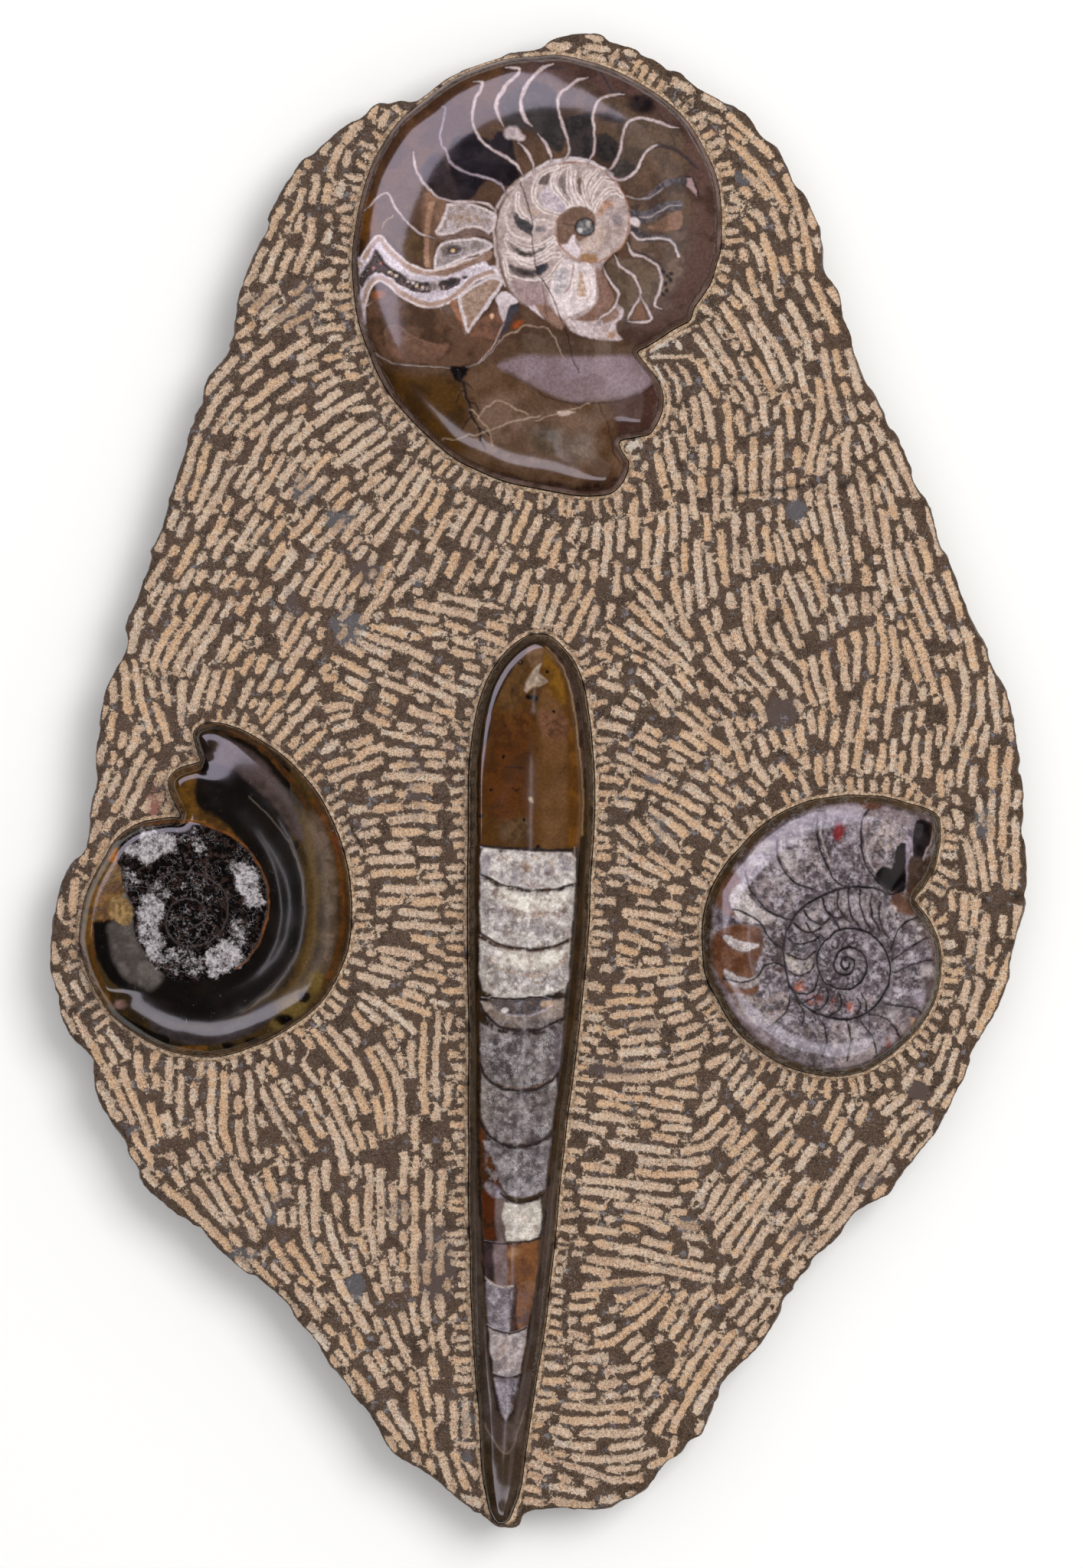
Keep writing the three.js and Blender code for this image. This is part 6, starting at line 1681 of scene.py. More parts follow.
        line(a, q, c, w_, (c[0] - 20, c[1] - 22, c[2] - 22), strength=0.96, calcite=0.25, taper=True)
    chamber(a, [(831, 404), (836, 399), (841, 410), (844, 421), (823, 421)], (118, 86, 66), soft=1.4, smoothed=False)
    line(a, [(826, 333), (838, 336), (853, 343), (863, 352), (867, 362)], (58, 52, 56), 3.2, strength=0.7)
    line(a, [(909, 224), (903, 218), (893, 209), (880, 200), (868, 196), (860, 195)], (54, 50, 56), 3.6, strength=0.85)
    chamber(a, [(815, 258), (834, 264), (848, 255), (862, 243), (873, 238), (887, 236), (889, 243), (876, 246), (864, 252), (850, 262), (836, 267)], (98, 94, 98), (66, 62, 66), soft=1.4, size=6)
    line(a, [(817, 261), (834, 265.5), (849, 261), (864, 251)], (180, 168, 166), 1.5, strength=0.75)
    chamber(a, [(885, 236), (903, 235), (912, 262), (900, 252)], (158, 134, 134), soft=1.6, smoothed=False)
    line(a, [(885, 236), (903, 235), (912, 262)], (22, 17, 18), 2.0, smoothed=False)
    blob(a, 890, 242, 5, 6, (34, 28, 30), (60, 54, 56), soft=0.6)
    chamber(a, [(821, 278), (832, 280), (845, 279), (857, 273), (870, 268), (890, 267), (890, 277), (872, 280), (858, 288), (846, 294), (834, 296), (824, 290)], (98, 94, 97), (72, 68, 72), soft=1.4, size=6)
    line(a, [(834, 288), (846, 288.5), (858, 282), (873, 274), (888, 272)], (184, 172, 170), 1.3, strength=0.8)
    chamber(a, [(844, 300), (856, 296), (870, 286), (888, 280), (889, 300), (872, 306), (856, 306)], (134, 104, 86), (112, 88, 72), soft=1.6)
    blob(a, 829, 293, 6.5, 6.0, (214, 204, 202), soft=0.25, calcite=0.3)
    chamber(a, [(823, 300), (830, 302), (838, 308), (850, 311), (865, 311), (877, 316), (884, 326), (888, 336), (881, 330), (872, 321), (860, 318), (846, 320), (834, 317), (825, 308)], (92, 87, 90), (62, 57, 60), soft=1.3, size=5)
    line(a, [(824, 308), (832, 316), (845, 316.5), (862, 315), (875, 320), (882, 330), (885, 339)], (210, 200, 200), 2.4, strength=0.92, calcite=0.3)
    for sx, sy in ((866, 360), (871, 366), (868, 374), (875, 370), (870, 382), (866, 388), (877, 362)):
        blob(a, sx, sy, 3.2, 2.8, (26, 20, 20), soft=0.6)
    blob(a, 668, 178, 10, 9, (208, 196, 194), (166, 152, 154), soft=0.35, calcite=0.5, seed=5)
    blob(a, 680, 184, 6, 5, (198, 184, 182), soft=0.4, calcite=0.5, seed=6)
    # the pale lilac zone, a painted reflection on the flat face, with its dark lower edge
    line(a, [(647, 476), (675, 496), (700, 511), (711, 521), (743, 529), (769, 530), (797, 528), (822, 521), (839, 515), (858, 500)], (40, 29, 24), 2.2, strength=0.75)
    # pale lilac: painted reflection
    chamber(a, [(650, 480), (690, 468), (760, 470), (830, 468), (852, 490), (838, 512), (800, 524), (745, 526), (700, 508), (670, 492)],
            (150, 135, 144), (134, 119, 124), soft=5, size=30, strength=0.78)
    # boundary line and cracks
    edge_line = [(490, 463), (500, 470), (520, 478), (560, 482), (600, 484), (625, 478), (645, 460), (655, 440), (665, 415), (672, 405)]
    line(a, edge_line, (30, 22, 18), 3.6, strength=0.75)
    line(a, edge_line, (176, 160, 150), 1.5, strength=0.8, patchy=0.4)
    chamber(a, [(588, 483), (600, 481), (612, 484), (606, 498), (600, 502), (594, 496)], (16, 12, 11), soft=1.5, ragged=1.5, grain=5)
    a.crack([(600, 487), (603, 500), (607, 512), (610, 525), (614, 535), (618, 545), (622, 555), (625, 566), (630, 580), (634, 588)], width=3.2, jag=3.5)
    for q in ([(607, 512), (600, 520), (597, 530)], [(612, 528), (620, 532), (626, 540)], [(617, 545), (610, 552), (606, 562)],
              [(603, 500), (612, 504), (618, 512)], [(624, 562), (632, 564), (640, 572)]):
        a.crack(q, width=1.8, jag=2.5, strength=0.85)
    for q in ([(615, 538), (625, 548), (630, 556), (638, 563), (641, 570), (643, 585)], [(625, 548), (635, 535), (648, 528), (662, 530), (675, 538), (690, 545)],
              [(578, 576), (620, 572), (640, 565), (665, 555), (690, 550), (705, 546)], [(652, 450), (662, 440), (675, 436), (680, 430), (690, 428), (700, 430), (715, 434), (725, 445), (730, 460), (736, 470)],
              [(770, 530), (748, 538), (724, 545), (700, 552)], [(500, 300), (506, 290), (514, 286)]):
        a.crack(q, ink(176, 156, 134), width=1.4, strength=0.75, jag=2.0)
    chamber(a, [(727, 541), (738, 539), (750, 542), (740, 546), (729, 547)], (186, 170, 156), soft=1.4, smoothed=False)
    a.crack([(680, 242), (685, 258), (692, 282), (696, 298), (694, 313), (697, 335), (699, 352), (707, 368), (718, 385), (727, 405), (733, 422), (740, 438), (745, 460),
             (755, 490)], ink(44, 30, 28), width=1.6, strength=0.9, jag=1.2)
    a.crack([(707, 368), (710, 393), (715, 418)], ink(92, 70, 62), width=1.1, strength=0.8, jag=1.0)
    a.crack([(657, 427), (648, 446), (640, 460), (625, 478)], ink(188, 174, 168), width=1.3, strength=0.75, jag=0.8)
    a.crack([(780, 530), (793, 560), (800, 590), (812, 610)], width=1.4, strength=0.7)
    a.crack([(858, 150), (872, 170), (880, 196)], width=1.3, strength=0.6)
    chamber(a, [(667, 405), (677, 401), (675, 412), (668, 421), (660, 437), (651, 449), (655, 435), (661, 421)], (40, 43, 56), (64, 62, 70), soft=1.4, ragged=1.5, grain=4)
    blob(a, 674, 427, 6, 3.4, (140, 70, 30), soft=0.6)
    # rim
    i = np.where(dist < 3.4)[0]
    a.lay(i, smooth(2.6, 0.8, dist[i]) * 0.3, a.tone(i, ink(120, 98, 92), ink(84, 62, 52), 30, 7))
    rim_band(a, dist, ink(76, 56, 46), ink(118, 98, 92), 1.3, 0.85)
    i = np.where((dist > 0.9) & (dist < 2.6))[0]
    a.lay(i, np.exp(-((dist[i] - 1.6) / 0.25) ** 2) * 0.6, a.tone(i, ink(26, 19, 16)))
    a.rough[:] = np.maximum(a.rough, 0.30 * smooth(2.0, 0.8, dist))
    a.ink = np.minimum(a.ink * np.array([1.05, 0.975, 1.01]), 0.95)
    return a


# ---------------------------------------------------------------- the left goniatite
def draw_left(p, dist):
    a = Drawing(p, ink(15, 11, 8), 202)
    a.cloud(ink(27, 20, 15), 30, 0.6, 0.1)
    # outer band: olive and amber on the right, worn colours round the rim; the grey-tan band over the right is partly
    # stone colour and partly a painted reflection
    inner = [(299, 997), (330, 1043), (361, 1074), (379, 1105), (392, 1135), (398, 1182), (393, 1228), (379, 1258), (352, 1289), (318, 1317),
             (287, 1331), (256, 1334), (225, 1329), (195, 1314), (173, 1295), (152, 1268), (147, 1228), (150, 1190), (172, 1150)]
    outer = np.where(~inside(p, curve(inner, 4, True)) & (p[:, 1] > 1180) | ((p[:, 0] > 380) & ~inside(p, curve(inner, 4, True))))[0]
    d, _a, _s = away(a.w[outer], curve(inner, 4))
    a.lay(outer, smooth(0, 5, d) * 0.9, a.tone(outer, ink(66, 50, 24), ink(46, 34, 20), 26))
    line(a, [(396, 1062), (406, 1096), (411, 1140), (412, 1190), (405, 1240), (388, 1282), (366, 1306)], (92, 68, 30), 13, (76, 56, 24), strength=0.8, soft=6, taper=True)
    # grey-tan band: partly stone colour, partly a painted reflection on the right shoulder
    line(a, [(408, 1060), (422, 1096), (431, 1140), (433, 1190), (428, 1238), (410, 1282), (384, 1312)], (116, 97, 84), 17, (94, 77, 64), strength=0.7, soft=7, taper=True)
    line(a, [(404, 1036), (426, 1072), (440, 1110), (448, 1160), (448, 1212), (438, 1258), (418, 1292)], (112, 62, 20), 6, (84, 48, 18), strength=0.8, soft=4, taper=True)
    chamber(a, [(352, 1322), (385, 1296), (410, 1268), (424, 1276), (414, 1302), (388, 1328), (362, 1344)], (106, 86, 44), (84, 66, 34), soft=5)
    chamber(a, [(438, 1088), (448, 1090), (454, 1116), (446, 1120), (440, 1106)], (120, 44, 26), (84, 36, 22), soft=3)
    # the upper zone, worn brown under its shine
    chamber(a, [(264, 975), (287, 963), (318, 975), (345, 994), (367, 1022), (385, 1052), (398, 1092), (385, 1092), (361, 1055), (330, 1025), (302, 1003), (275, 994)],
            (74, 60, 58), (60, 48, 44), soft=4)
    line(a, [(300, 956), (330, 968), (358, 992), (384, 1022), (404, 1056)], (84, 50, 22), 7, (60, 40, 20), strength=0.8)
    chamber(a, [(232, 1003), (262, 1000), (258, 1030), (262, 1050), (285, 1068), (305, 1085), (318, 1100), (300, 1092), (275, 1080), (245, 1072), (235, 1065), (225, 1045), (222, 1025)],
            (98, 66, 20), (70, 46, 16), soft=4, size=14, wild=True)
    chamber(a, [(256, 955), (270, 950), (300, 956), (290, 972), (264, 985)], (52, 38, 24), (36, 26, 18), soft=4)
    # lower band
    chamber(a, [(200, 1324), (238, 1340), (275, 1342), (315, 1330), (350, 1306), (362, 1322), (336, 1345), (305, 1357), (275, 1363), (238, 1360), (205, 1348)],
            (62, 54, 56), (50, 42, 42), soft=4)
    line(a, [(216, 1370), (240, 1368), (270, 1368)], (116, 74, 26), 6, (84, 54, 22), strength=0.85)
    line(a, [(140, 1308), (152, 1322), (167, 1332), (188, 1345), (219, 1357)], (12, 9, 8), 9, strength=0.9)
    blob(a, 157, 1311, 8, 5, (150, 118, 112), (120, 92, 84), seed=4, soft=0.7)
    for bx, by, rx, ry in ((331, 1357, 10, 4), (373, 1331, 12, 8), (399, 1300, 8, 7), (385, 1105, 5, 6), (352, 1154, 5, 4), (300, 1362, 9, 4)):
        blob(a, bx, by, rx, ry, (12, 8, 7), (26, 18, 12), seed=bx)
    # amber strip, black band and a grey zone at the left; the grey zone is a painted reflection
    chamber(a, [(112, 1204), (126, 1202), (127, 1240), (133, 1270), (146, 1300), (152, 1318), (138, 1310), (120, 1284), (110, 1250)], (112, 74, 26), (84, 54, 20), soft=2.5, size=14)
    chamber(a, [(126, 1200), (147, 1200), (148, 1232), (156, 1260), (170, 1284), (160, 1290), (142, 1272), (129, 1244)], (14, 10, 9), soft=2)
    # grey zone: painted reflection
    chamber(a, [(146, 1206), (176, 1203), (184, 1224), (192, 1238), (202, 1253), (216, 1264), (214, 1280), (200, 1292), (180, 1284), (164, 1272), (152, 1252), (146, 1230)],
            (100, 93, 89), (78, 71, 67), soft=5, size=16, strength=0.92)
    chamber(a, [(160, 1160), (170, 1154), (184, 1160), (192, 1176), (188, 1196), (180, 1206), (170, 1196)], (102, 94, 88), (76, 70, 68), soft=3, size=7)
    # ochre patch
    chamber(a, [(142, 1122), (150, 1110), (158, 1107), (156, 1124), (164, 1138), (166, 1152), (160, 1158), (176, 1156), (186, 1158), (180, 1163), (166, 1165),
                (161, 1176), (158, 1190), (148, 1200), (112, 1203), (112, 1186), (120, 1166), (128, 1142)],
            (118, 82, 26), (84, 56, 20), soft=1.6, size=9, ragged=2.6, grain=5, rough=0.2)
    chamber(a, [(130, 1132), (146, 1128), (160, 1136), (160, 1150), (146, 1156), (128, 1152)], (84, 60, 22), (116, 84, 30), soft=3.5, size=6, ragged=2)
    chamber(a, [(148, 1173), (160, 1170), (172, 1178), (178, 1192), (170, 1206), (156, 1204), (147, 1196)], (154, 124, 78), (116, 88, 48), soft=2, size=4, ragged=2.4, grain=4, rough=0.2)
    chamber(a, [(143, 1122), (150, 1109), (158, 1107), (155, 1122), (148, 1126)], (172, 104, 30), (140, 84, 26), soft=1.5, ragged=1.2)
    # crystal patches in the disc, grown like frost; the grain is worked out in the material
    ring = curve([(206, 1076), (238, 1074), (270, 1078), (300, 1090), (324, 1108), (341, 1132), (350, 1156), (352, 1180), (348, 1204), (340, 1228), (324, 1252),
                  (300, 1268), (270, 1278), (236, 1280), (206, 1262), (190, 1240), (178, 1215), (176, 1185), (166, 1160), (160, 1130), (162, 1104), (180, 1084)], 4, True)
    i = a.where(ring, 10)
    d, _a, _s = away(a.w[i], ring, True)
    d = np.where(inside(a.w[i], ring), -d, d)
    a.lay(i, smooth(2.0, -2.0, d), a.tone(i, ink(8, 5, 5)), calcite=0.10, fleck=1.0)
    for q, s_ in (
            ([(168, 1110), (184, 1100), (188, 1086), (200, 1082), (212, 1086), (224, 1088), (232, 1100), (228, 1112), (212, 1118), (198, 1128), (188, 1126), (178, 1116)], 0.98),
            ([(304, 1132), (312, 1126), (330, 1130), (340, 1140), (340, 1154), (348, 1168), (346, 1176), (336, 1184), (324, 1182), (322, 1172), (312, 1162), (306, 1150)], 0.95),
            ([(190, 1172), (206, 1168), (218, 1180), (216, 1196), (210, 1208), (212, 1220), (220, 1232), (212, 1240), (220, 1252), (212, 1260), (200, 1252), (192, 1236),
              (184, 1220), (188, 1204), (184, 1192)], 0.92),
            ([(274, 1244), (286, 1230), (300, 1224), (312, 1230), (316, 1244), (318, 1252), (310, 1262), (292, 1270), (280, 1276), (274, 1264), (270, 1252)], 0.95),
            ([(218, 1238), (240, 1236), (262, 1240), (272, 1256), (266, 1272), (244, 1274), (224, 1266)], 0.58),
            ([(306, 1198), (320, 1198), (328, 1214), (320, 1230), (308, 1226)], 0.62),
            ([(204, 1158), (216, 1154), (226, 1162), (222, 1174), (208, 1174)], 0.62),
            ([(224, 1146), (250, 1144), (272, 1150), (264, 1164), (240, 1160), (226, 1160)], 0.45),
            ([(258, 1094), (270, 1092), (272, 1110), (264, 1120), (256, 1108)], 0.62),
            ([(164, 1134), (174, 1136), (184, 1148), (176, 1158), (166, 1150)], 0.60),
            ([(276, 1164), (292, 1164), (296, 1186), (284, 1192), (274, 1180)], 0.40),
            ([(228, 1190), (260, 1196), (270, 1214), (246, 1220), (230, 1208)], 0.36),
            ([(236, 1082), (262, 1084), (264, 1096), (240, 1098)], 0.42)):
        shape = curve(q, 4, True)
        i = a.where(shape, 22)
        d, _a, _s = away(a.ww[i], shape, True)
        d = np.where(inside(a.ww[i], shape), -d, d)
        a.calcite[i] = np.maximum(a.calcite[i], s_ * smooth(9.0, -5.0, d))
    # faint coils
    for q in ([(196, 1160), (212, 1146), (236, 1139), (260, 1140), (280, 1150), (296, 1166), (300, 1190), (294, 1210), (280, 1226), (256, 1234), (236, 1232), (222, 1216),
               (220, 1196), (228, 1180), (244, 1173), (260, 1176), (270, 1188), (270, 1200), (256, 1210), (240, 1212)],):
        line(a, q, (84, 76, 78), 1.6, strength=0.85, patchy=0.3, fleck=0.2)
    # brown line round the disc and thin lines in the whorl
    line(a, [(184, 1079), (206, 1075), (238, 1073), (270, 1077), (300, 1089), (324, 1107), (341, 1131), (351, 1156), (353, 1180), (349, 1204), (341, 1228), (326, 1251), (310, 1263)],
         (128, 74, 30), 2.6, (92, 54, 24), strength=0.92, patchy=0.2, relief=-0.10, calcite=0.0)
    line(a, [(186, 1079), (206, 1072), (238, 1070), (270, 1074)], (150, 104, 52), 1.4, strength=0.7)
    line(a, [(327, 1040), (355, 1068), (376, 1095), (388, 1120), (396, 1148), (398, 1182)], (120, 104, 94), 1.2, strength=0.65)
    line(a, [(398, 1182), (393, 1228), (379, 1258), (352, 1289), (318, 1317), (287, 1331), (256, 1334)], (70, 58, 46), 1.2, strength=0.5)
    # rim: a worn pale line at the left, brown at the right
    rim_band(a, dist, ink(52, 34, 18), ink(84, 56, 28), 1.1, 0.85)
    line(a, [(150, 1088), (140, 1098), (130, 1126), (116, 1154), (109, 1180), (105, 1210), (106, 1240), (114, 1276), (130, 1310), (150, 1332), (176, 1352)],
         (126, 112, 116), 5.0, (104, 90, 92), strength=0.8)
    # the disc is cut flatter than the whorl round it
    flat_part = curve([(205, 985), (250, 962), (262, 985), (268, 1010), (284, 1040), (312, 1072), (340, 1112), (356, 1150), (362, 1190), (352, 1236), (322, 1272),
                       (276, 1292), (222, 1288), (188, 1272), (160, 1290), (90, 1310), (80, 1000)], 4, True)
    d, _a, _s = away(p, flat_part, True)
    d = np.where(inside(p, flat_part), -d, d)
    a.shoulder = 4.2 + 11.8 * smooth(-12, 26, d)
    return a


# ---------------------------------------------------------------- the right goniatite
def draw_right(p, dist):
    a = Drawing(p, ink(112, 101, 105), 303)
    a.calcite[:] = 0.5
    a.cloud(ink(84, 74, 76), 15, 0.8, 0.0)
    a.cloud(ink(168, 156, 160), 10, 0.6, 0.15, seed=3)
    a.cloud(ink(52, 42, 42), 7, 0.6, 0.40, seed=6)
    L = lambda q, c1, c2=None, **m: chamber(a, q, c1, c2, **m)
    # chambers
    L([(990, 1100), (1013, 1099), (1013, 1115), (1021, 1136), (1037, 1152), (1036, 1178), (1016, 1192), (990, 1180), (968, 1152), (976, 1120)], (172, 160, 156), (136, 120, 120), soft=3, size=14)
    blob(a, 1011, 1136, 9, 12, (200, 190, 186), seed=1, soft=0.7)
    blob(a, 992, 1128, 9, 9, (194, 182, 178), seed=2, soft=0.7)
    L([(1018, 1090), (1050, 1080), (1064, 1088), (1070, 1120), (1080, 1140), (1086, 1152), (1060, 1158), (1036, 1148), (1022, 1130)], (176, 163, 158), (140, 126, 126), soft=3, size=14)
    blob(a, 1040, 1107, 12, 14, (204, 192, 188), seed=3, soft=0.7)
    L([(1068, 1064), (1100, 1056), (1128, 1060), (1122, 1097), (1126, 1123), (1146, 1152), (1110, 1158), (1090, 1150), (1076, 1122), (1066, 1092)], (124, 110, 114), (88, 76, 78), soft=3, size=12)
    L([(1134, 1058), (1160, 1058), (1184, 1066), (1184, 1098), (1164, 1106), (1150, 1130), (1136, 1138), (1126, 1118), (1124, 1080)], (158, 144, 142), (124, 108, 108), soft=3, size=12)
    blob(a, 1153, 1097, 12, 10, (196, 174, 152), (170, 148, 130), seed=5, soft=0.6)
    L([(1170, 1104), (1182, 1100), (1182, 1130), (1180, 1157), (1174, 1167), (1158, 1163), (1145, 1154), (1140, 1142), (1150, 1131), (1161, 1133), (1166, 1118)], (13, 10, 10), (28, 22, 20), soft=1.4, calcite=0.0, ragged=2.0, grain=5)
    L([(1183, 1080), (1190, 1078), (1191, 1110), (1186, 1136), (1181, 1152), (1180, 1120)], (156, 142, 156), (118, 104, 114), soft=1.5)
    L([(1191, 1076), (1204, 1070), (1216, 1078), (1216, 1096), (1206, 1112), (1198, 1130), (1190, 1136), (1189, 1108)], (20, 15, 17), (40, 32, 32), soft=1.5, calcite=0.0)
    L([(1186, 1118), (1204, 1120), (1222, 1112), (1218, 1140), (1200, 1166), (1184, 1172), (1182, 1140)], (76, 60, 48), (58, 42, 32), soft=3, calcite=0.1)
    line(a, [(1216, 1078), (1215, 1097), (1205, 1115), (1203, 1123)], (176, 160, 150), 1.4, strength=0.8)
    L([(1161, 1165), (1180, 1166), (1196, 1172), (1196, 1192), (1176, 1194), (1163, 1184)], (112, 82, 66), (90, 64, 50), soft=3, calcite=0.2)
    L([(937, 1215), (960, 1206), (992, 1212), (994, 1240), (984, 1262), (990, 1290), (972, 1299), (948, 1292), (930, 1262), (926, 1230)],
      (92, 56, 34), (116, 80, 58), soft=4, size=12, calcite=0.1, fleck=0.4)
    L([(943, 1136), (962, 1140), (966, 1168), (976, 1192), (950, 1196), (934, 1180), (930, 1160)], (88, 54, 32), (112, 78, 58), soft=4, size=10, calcite=0.1, fleck=0.4)
    L([(992, 1194), (1014, 1200), (1024, 1218), (1020, 1242), (1022, 1270), (1000, 1268), (994, 1240)], (78, 62, 56), (112, 96, 92), soft=3, size=7, fleck=0.5)
    L([(1168, 1199), (1195, 1196), (1208, 1208), (1206, 1226), (1180, 1230), (1166, 1222)], (92, 80, 78), (168, 156, 152), soft=3, size=7)
    L([(1200, 1262), (1218, 1262), (1218, 1276), (1202, 1275)], (178, 166, 160), soft=3)
    L([(1168, 1273), (1192, 1276), (1214, 1274), (1212, 1287), (1186, 1288), (1170, 1284)], (72, 60, 58), (92, 78, 76), soft=3)
    L([(1168, 1291), (1186, 1290), (1206, 1292), (1203, 1306), (1184, 1309), (1168, 1304)], (192, 180, 186), (166, 152, 158), soft=3)
    L([(1171, 1325), (1192, 1328), (1190, 1341), (1182, 1337)], (215, 176, 136), soft=2, smoothed=False)
    L([(948, 1302), (986, 1310), (1010, 1318), (1030, 1300), (1028, 1318), (1014, 1334), (1002, 1344), (1016, 1360), (1010, 1376), (984, 1360), (960, 1336)], (170, 156, 158), (132, 116, 118), soft=4, size=16)
    L([(956, 1296), (990, 1300), (1020, 1296), (1029, 1302), (1024, 1322), (1004, 1336), (976, 1330), (960, 1314)], (166, 150, 143), (136, 120, 114), soft=3, size=10)
    blob(a, 992, 1320, 4.5, 3.5, (64, 52, 48), soft=0.5)
    L([(1021, 1338), (1046, 1336), (1072, 1342), (1076, 1376), (1050, 1382), (1024, 1372)], (88, 76, 74), (126, 112, 110), soft=4, size=9)
    L([(1084, 1338), (1110, 1336), (1138, 1344), (1142, 1372), (1120, 1388), (1090, 1388)], (168, 154, 150), (138, 124, 122), soft=3, size=12)
    L([(1145, 1316), (1180, 1316), (1186, 1346), (1160, 1366), (1148, 1352), (1134, 1326)], (140, 124, 124), (112, 98, 98), soft=3, size=10)
    L([(1079, 1048), (1124, 1046), (1126, 1062), (1090, 1066), (1078, 1060)], (172, 160, 166), (140, 126, 132), soft=3)
    L([(1121, 1044), (1150, 1046), (1147, 1056), (1124, 1056)], (112, 72, 52), (92, 60, 44), soft=2.5)
    blob(a, 1094, 1088, 9, 12, (126, 40, 42), (92, 44, 44), seed=9, soft=0.5, calcite=0.2)
    # the whorls inside the spiral
    L([(1048, 1191), (1063, 1190), (1064, 1216), (1050, 1218), (1044, 1206)], (172, 158, 152), soft=3)
    L([(1029, 1218), (1050, 1216), (1063, 1226), (1050, 1240), (1032, 1240)], (80, 75, 78), (106, 98, 98), soft=3)
    L([(1024, 1243), (1044, 1250), (1060, 1246), (1058, 1262), (1040, 1272), (1027, 1266)], (196, 184, 168), (170, 156, 142), soft=2.5)
    L([(1070, 1176), (1100, 1166), (1140, 1166), (1158, 1186), (1156, 1214), (1140, 1208), (1116, 1208), (1094, 1212), (1072, 1228), (1064, 1216), (1066, 1190)],
      (118, 104, 104), (150, 136, 134), soft=4, size=11, strength=0.85)
    for cx, cy, rx, ry, c in ((1042, 1286, 8, 6, (196, 118, 90)), (1062, 1304, 8, 7, (186, 100, 74)), (1086, 1311, 5, 9, (118, 50, 36)),
                              (1109, 1315, 7, 6, (170, 92, 74)), (1158, 1359, 4, 6, (128, 54, 44)),
                              (1132, 1306, 6, 7, (170, 146, 138)), (1163, 1189, 5, 5, (196, 182, 172)), (1071, 1183, 5, 5, (196, 184, 176))):
        blob(a, cx, cy, rx, ry, c, tuple(int(v_ * 0.85) for v_ in c), seed=cx, soft=0.5)
    # pale crescents at the left
    for q in ([(964, 1153), (953, 1168), (955, 1187), (966, 1200), (985, 1206), (1004, 1206), (1011, 1196), (996, 1188), (981, 1176), (970, 1161)],
              [(943, 1221), (951, 1234), (966, 1242), (983, 1239), (989, 1231), (976, 1230), (962, 1227), (951, 1221)],
              [(943, 1266), (949, 1280), (964, 1289), (981, 1288), (993, 1276), (995, 1266), (983, 1274), (968, 1276), (955, 1270)]):
        L(q, (206, 197, 190), (172, 160, 154), soft=1.8, calcite=0.8, ragged=1.6, grain=5)
    # clear and clouded hearts of the chambers
    for cx, cy, rx, ry, c in ((1023, 1157, 9, 7, (190, 178, 180)), (1053, 1203, 7, 8, (190, 182, 190)), (1076, 1184, 6, 7, (186, 176, 182)),
                              (1102, 1182, 6, 7, (182, 168, 166)), (1126, 1178, 6, 7, (176, 164, 166)), (981, 1323, 9, 7, (178, 164, 164)),
                              (1044, 1107, 10, 12, (206, 196, 198)), (1008, 1134, 9, 11, (204, 194, 196)), (990, 1122, 8, 9, (192, 182, 188)),
                              (1151, 1089, 8, 13, (200, 178, 160)), (1146, 1118, 6, 8, (178, 164, 162)), (1193, 1298, 8, 5, (198, 190, 198)),
                              (1096, 1352, 6, 9, (176, 162, 162)), (1128, 1356, 5, 9, (172, 158, 158)), (1058, 1360, 5, 7, (150, 136, 136)),
                              (1184, 1246, 7, 4, (168, 156, 160)), (1190, 1214, 5, 5, (150, 138, 142)), (1150, 1338, 7, 6, (164, 148, 150)),
                              (1090, 1124, 7, 12, (158, 146, 154)), (1110, 1088, 6, 10, (160, 150, 158)), (1100, 1140, 8, 6, (150, 138, 146))):
        blob(a, cx, cy, rx, ry, c, tuple(int(v_ * 0.86) for v_ in c), seed=cx, soft=0.8, strength=0.8, size=5)
    for cx, cy, rx, ry in ((1070, 1152, 16, 5), (1112, 1150, 14, 5), (1018, 1176, 10, 6), (1010, 1226, 7, 12), (1014, 1252, 6, 8),
                           (1044, 1226, 9, 6), (1182, 1216, 9, 6), (1062, 1352, 7, 7), (1034, 1356, 6, 6), (1118, 1340, 5, 6), (1190, 1281, 12, 4),
                           (1088, 1114, 4, 9), (1120, 1118, 4, 8)):
        blob(a, cx, cy, rx, ry, (58, 50, 54), (84, 74, 78), seed=cx + 1, soft=0.9, strength=0.7, size=5)
    # deeper joints and bright crystal between the chamber walls
    spread = smooth(4, 9, dist) * smooth(0.22, 0.42, a.calcite) * smooth(0.62, 0.52, a.calcite)
    a.cloud(ink(56, 48, 52), 9, 0.75, 0.22, seed=31, mask=spread)
    a.cloud(ink(186, 176, 182), 5, 0.65, 0.38, seed=32, mask=spread)
    a.cloud(ink(38, 30, 32), 4, 0.75, 0.48, seed=33, mask=spread)
    a.ink = a.ink * np.array([1.02, 0.995, 1.06])
